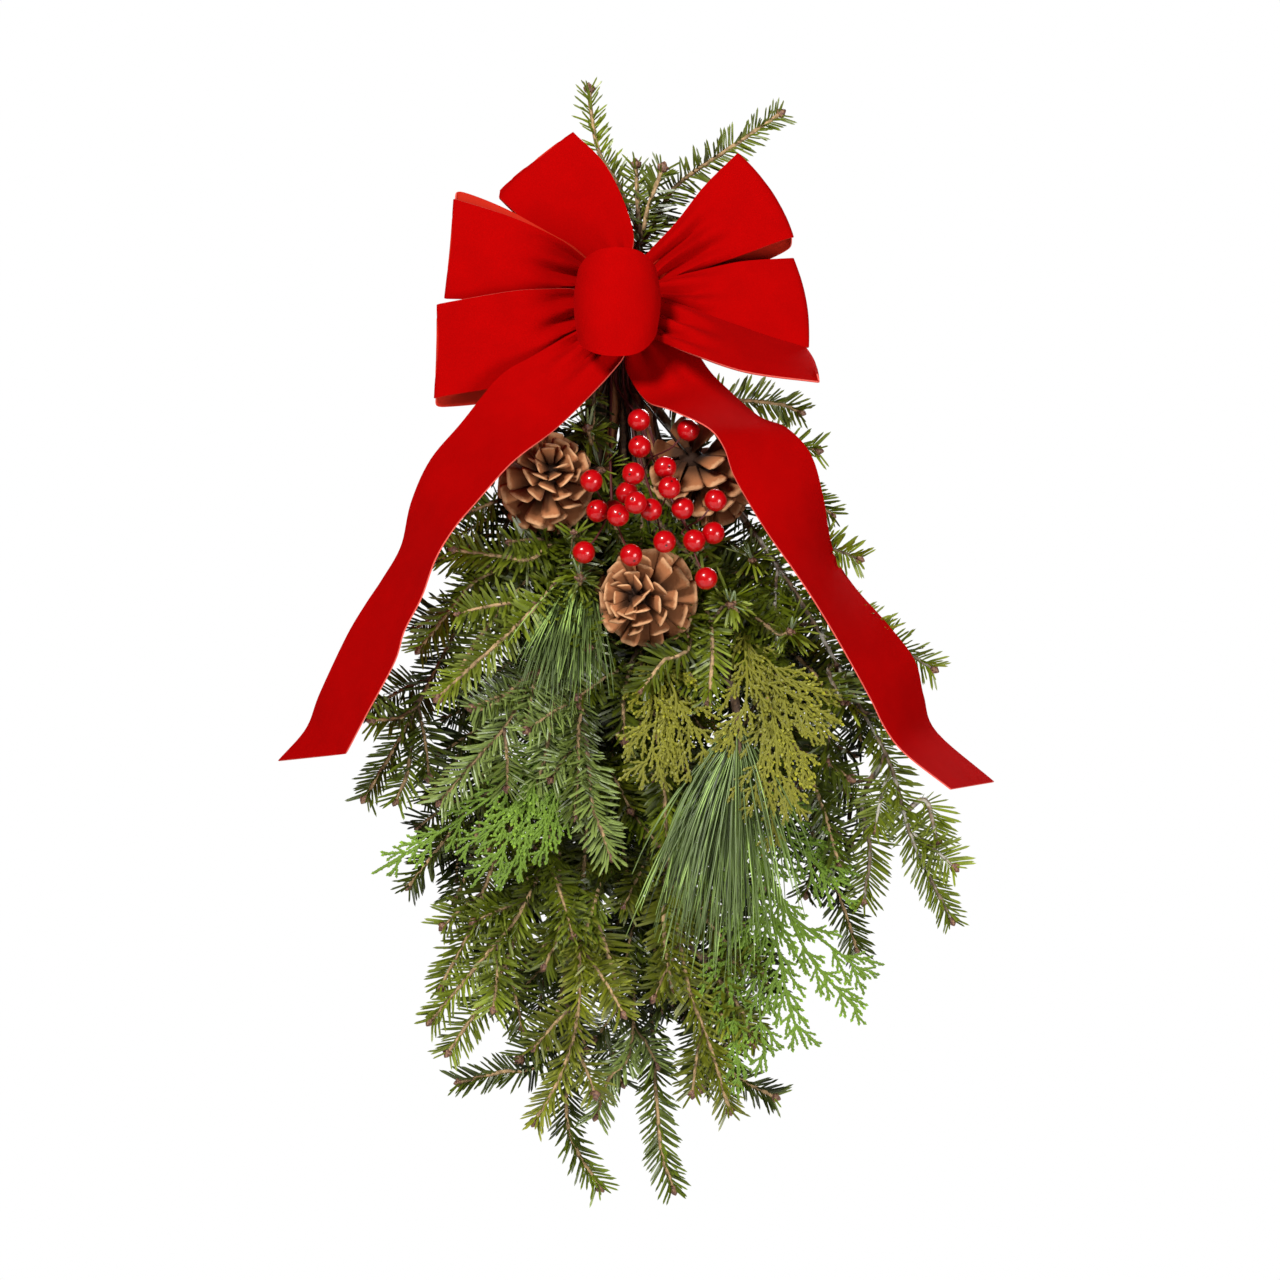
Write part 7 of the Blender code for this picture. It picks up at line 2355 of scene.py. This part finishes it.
class SWAG_OT_pine(bpy.types.Operator):
    """Grow the two pine shoots with their long needles."""

    bl_idname = "swag.pine"
    bl_label = "Pine"

    def execute(self, context):
        settings = context.scene.swag_green
        tree = foliage_tree()
        blocked = in_the_way()
        green = leaf_finish("pine needles", settings.pine, settings.pine, roughness=0.4)
        bark = bark_finish("pine bark", PINE_BARK)
        for number, name in enumerate(PINES):
            stem = cuttings()[name]
            needles = pine_needles(stem, blocked, random.Random(number + PINE_SEED))
            shoot = Lines()
            shoot.add(stem.path, wood=stem.radii)
            for word, lines, sides, finish in (("_needles", needles, 4, green), ("_stem", shoot, 8, bark)):
                values = foliage_values("scale_leaf_shape", "bud_shape", sides, BARE_SPACING)
                values["Wood finish"] = finish
                settle_in(grown(name + word, lines.mesh(name + word + "_lines"), tree, values), name)
        return {"FINISHED"}


class SWAG_OT_cones(bpy.types.Operator):
    """Build the three open cones."""

    bl_idname = "swag.cones"
    bl_label = "Cones"

    def execute(self, context):
        settings = context.scene.swag_trim
        values = {"Scale shape": cone_scale_shape(), "Core shape": cone_core_shape(),
                  "Scales": settings.cone_scales, "Turn between scales": GOLDEN_ANGLE,
                  "Scale half width": SCALE_HALF_WIDTH, "Radius": CONE_RADIUS, "Length": CONE_LENGTH,
                  "Finish": cone_finish(settings.cone, settings.cone_edge)}
        tree = cone_tree()
        for number, (name, (place, depth, axis)) in enumerate(CONES.items()):
            values["Middle"] = Vector(at(*place, depth))
            values["Turned"] = Vector(Vector(axis).to_track_quat("Z", "Y").to_euler())
            values["Seed"] = CONE_SEED + number
            start = bpy.data.meshes.new(name + "_start")
            settle_in(grown(name + "_scales", start, tree, values), name)
        return {"FINISHED"}


class SWAG_OT_berries(bpy.types.Operator):
    """Build the berry picks: red berries on wrapped wires that part from a trunk."""

    bl_idname = "swag.berries"
    bl_label = "Berries"

    def execute(self, context):
        settings = context.scene.swag_trim
        tree = foliage_tree()
        values = {**foliage_values("scale_leaf_shape", "berry_shape", 8, BARE_SPACING),
                  "Bud finish": berry_finish(settings.berry),
                  "Wood finish": wire_finish("wrapped berry wire", settings.berry_wire, 0.0, 0.6)}
        for name, (_, berries) in PICKS.items():
            lines = Lines()
            trunk = trunks()[name]
            lines.add(evenly(trunk, TRUNK_POINTS), wood=TRUNK_WIRE)
            for place in berries:
                middle = at(*place)
                bend = (trunk[-1] + middle) / 2 + PICK_BOW
                foot = middle - unit(middle - bend) * BERRY_RADIUS * BERRY_SEATED
                lines.add(smooth([trunk[-1], bend, foot], PICK_POINTS), wood=PICK_WIRE, bud=1.0)
            settle_in(grown(name + "_pick", lines.mesh(name + "_lines"), tree, values), name)
        return {"FINISHED"}


class SWAG_OT_wires(bpy.types.Operator):
    """Bend the tying wires and the hanger."""

    bl_idname = "swag.wires"
    bl_label = "Wires"

    def execute(self, context):
        settings = context.scene.swag_trim
        tree = foliage_tree()
        values = {**foliage_values("scale_leaf_shape", "bud_shape", 12, BARE_SPACING),
                  "Wood finish": wire_finish("florist's wire", settings.wire, 0.85, 0.42)}
        for name, (line, radius) in wires().items():
            lines = Lines()
            lines.add(line, wood=radius)
            settle_in(grown(name + "_drawn", lines.mesh(name + "_line"), tree, values), name)
        return {"FINISHED"}


class SWAG_OT_stage(bpy.types.Operator):
    """Set up the floor, the soft lights and the camera of the photograph."""

    bl_idname = "swag.stage"
    bl_label = "Stage"

    def execute(self, context):
        settings = context.scene.swag_stage
        add_floor(settings.floor)
        for name, (place, size) in LIGHTS.items():
            add_light(name + "_light", place, size, getattr(settings, name + "_power"))
        add_world(context.scene)
        add_camera(context.scene)
        context.scene.view_settings.view_transform = "Standard"
        return {"FINISHED"}


# Each light's place and size
LIGHTS = {"key": ((-1.3, -2.6, 1.6), 0.8), "fill": ((1.8, -2.2, -0.6), 1.2), "back": ((0.6, 2.8, 1.2), 1.6)}
FLOOR_HEIGHT = -0.80
FLOOR_HALF = 1.6
SWAG_MIDDLE = (0.0127, -0.06, -0.22225)
CAMERA_AWAY = 6.0
CAMERA_SEES_TO = 50.0
FRAME_WIDTH = 1280 * STEP
SENSOR = 36.0
WORLD_LIGHT = 0.06


def add_floor(colour):
    """A floor below the swag, out of the camera's sight."""
    mesh = bpy.data.meshes.new("studio_floor")
    corners = [(-FLOOR_HALF, -FLOOR_HALF, FLOOR_HEIGHT), (FLOOR_HALF, -FLOOR_HALF, FLOOR_HEIGHT),
               (FLOOR_HALF, FLOOR_HALF, FLOOR_HEIGHT), (-FLOOR_HALF, FLOOR_HALF, FLOOR_HEIGHT)]
    mesh.from_pydata(corners, [], [(0, 1, 2, 3)])
    mesh.materials.append(paint_finish(colour))
    place_object("studio_floor", mesh)


def add_light(name, place, size, power):
    """A square lamp that shines on the middle of the swag."""
    light = bpy.data.lights.new(name, "AREA")
    light.size = size
    light.energy = power
    lamp = bpy.data.objects.new(name, light)
    lamp.location = place
    lamp.rotation_euler = (Vector(SWAG_MIDDLE) - Vector(place)).to_track_quat("-Z", "Y").to_euler()
    bpy.context.scene.collection.objects.link(lamp)


def add_world(scene):
    """White to the camera, as in the photograph, and a softer white as light."""
    world = bpy.data.worlds.new("white_studio")
    world.use_nodes = True
    graph = Graph(world.node_tree)
    seen = graph.add("ShaderNodeLightPath", output="Is Camera Ray")
    strength = seen * (1.0 - WORLD_LIGHT) + WORLD_LIGHT
    background = world.node_tree.nodes["Background"]
    background.inputs["Color"].default_value = (1.0, 1.0, 1.0, 1.0)
    graph.tree.links.new(strength.socket, background.inputs["Strength"])
    scene.world = world


def add_camera(scene):
    """A camera straight in front, as far away as the photograph seems to be taken."""
    lens = bpy.data.cameras.new("photo_camera")
    lens.sensor_width = SENSOR
    lens.lens = SENSOR * CAMERA_AWAY / FRAME_WIDTH
    lens.clip_end = CAMERA_SEES_TO
    camera = bpy.data.objects.new("photo_camera", lens)
    camera.location = (SWAG_MIDDLE[0], SWAG_MIDDLE[1] - CAMERA_AWAY, SWAG_MIDDLE[2])
    camera.rotation_euler = (math.pi / 2, 0.0, 0.0)
    scene.collection.objects.link(camera)
    scene.camera = camera


class SWAG_PT_panel(bpy.types.Panel):
    """Lists what the swag is made of, in the order in which it is built."""

    bl_idname = "SWAG_PT_panel"
    bl_label = "Door swag"
    bl_space_type = "VIEW_3D"
    bl_region_type = "UI"
    bl_category = "Swag"

    def draw(self, context):
        for step in STEPS:
            self.layout.operator(step.bl_idname, text=step.bl_label)
        for group in SETTINGS:
            settings = getattr(context.scene, group)
            box = self.layout.box()
            for name in settings.bl_rna.properties.keys():
                if name not in {"rna_type", "name"}:
                    box.prop(settings, name)


SETTINGS = {"swag_ribbon": SwagRibbonSettings, "swag_green": SwagGreenSettings, "swag_trim": SwagTrimSettings,
            "swag_stage": SwagStageSettings}
STEPS = (SWAG_OT_stage, SWAG_OT_ribbon, SWAG_OT_fir, SWAG_OT_cedar, SWAG_OT_pine, SWAG_OT_cones,
         SWAG_OT_berries, SWAG_OT_wires)


def register():
    for group, settings in SETTINGS.items():
        bpy.utils.register_class(settings)
        setattr(bpy.types.Scene, group, PointerProperty(type=settings))
    for step in STEPS:
        bpy.utils.register_class(step)
    bpy.utils.register_class(SWAG_PT_panel)


def unregister():
    bpy.utils.unregister_class(SWAG_PT_panel)
    for step in reversed(STEPS):
        bpy.utils.unregister_class(step)
    for group, settings in SETTINGS.items():
        delattr(bpy.types.Scene, group)
        bpy.utils.unregister_class(settings)


def main():
    register()
    bpy.ops.swag.stage()
    bpy.ops.swag.ribbon()
    bpy.ops.swag.fir()
    bpy.ops.swag.cedar()
    bpy.ops.swag.pine()
    bpy.ops.swag.cones()
    bpy.ops.swag.berries()
    bpy.ops.swag.wires()
    for pattern in [thing for thing in bpy.data.objects if "only_a_pattern" in thing]:
        bpy.data.objects.remove(pattern)
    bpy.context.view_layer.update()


if __name__ == "__main__":
    main()
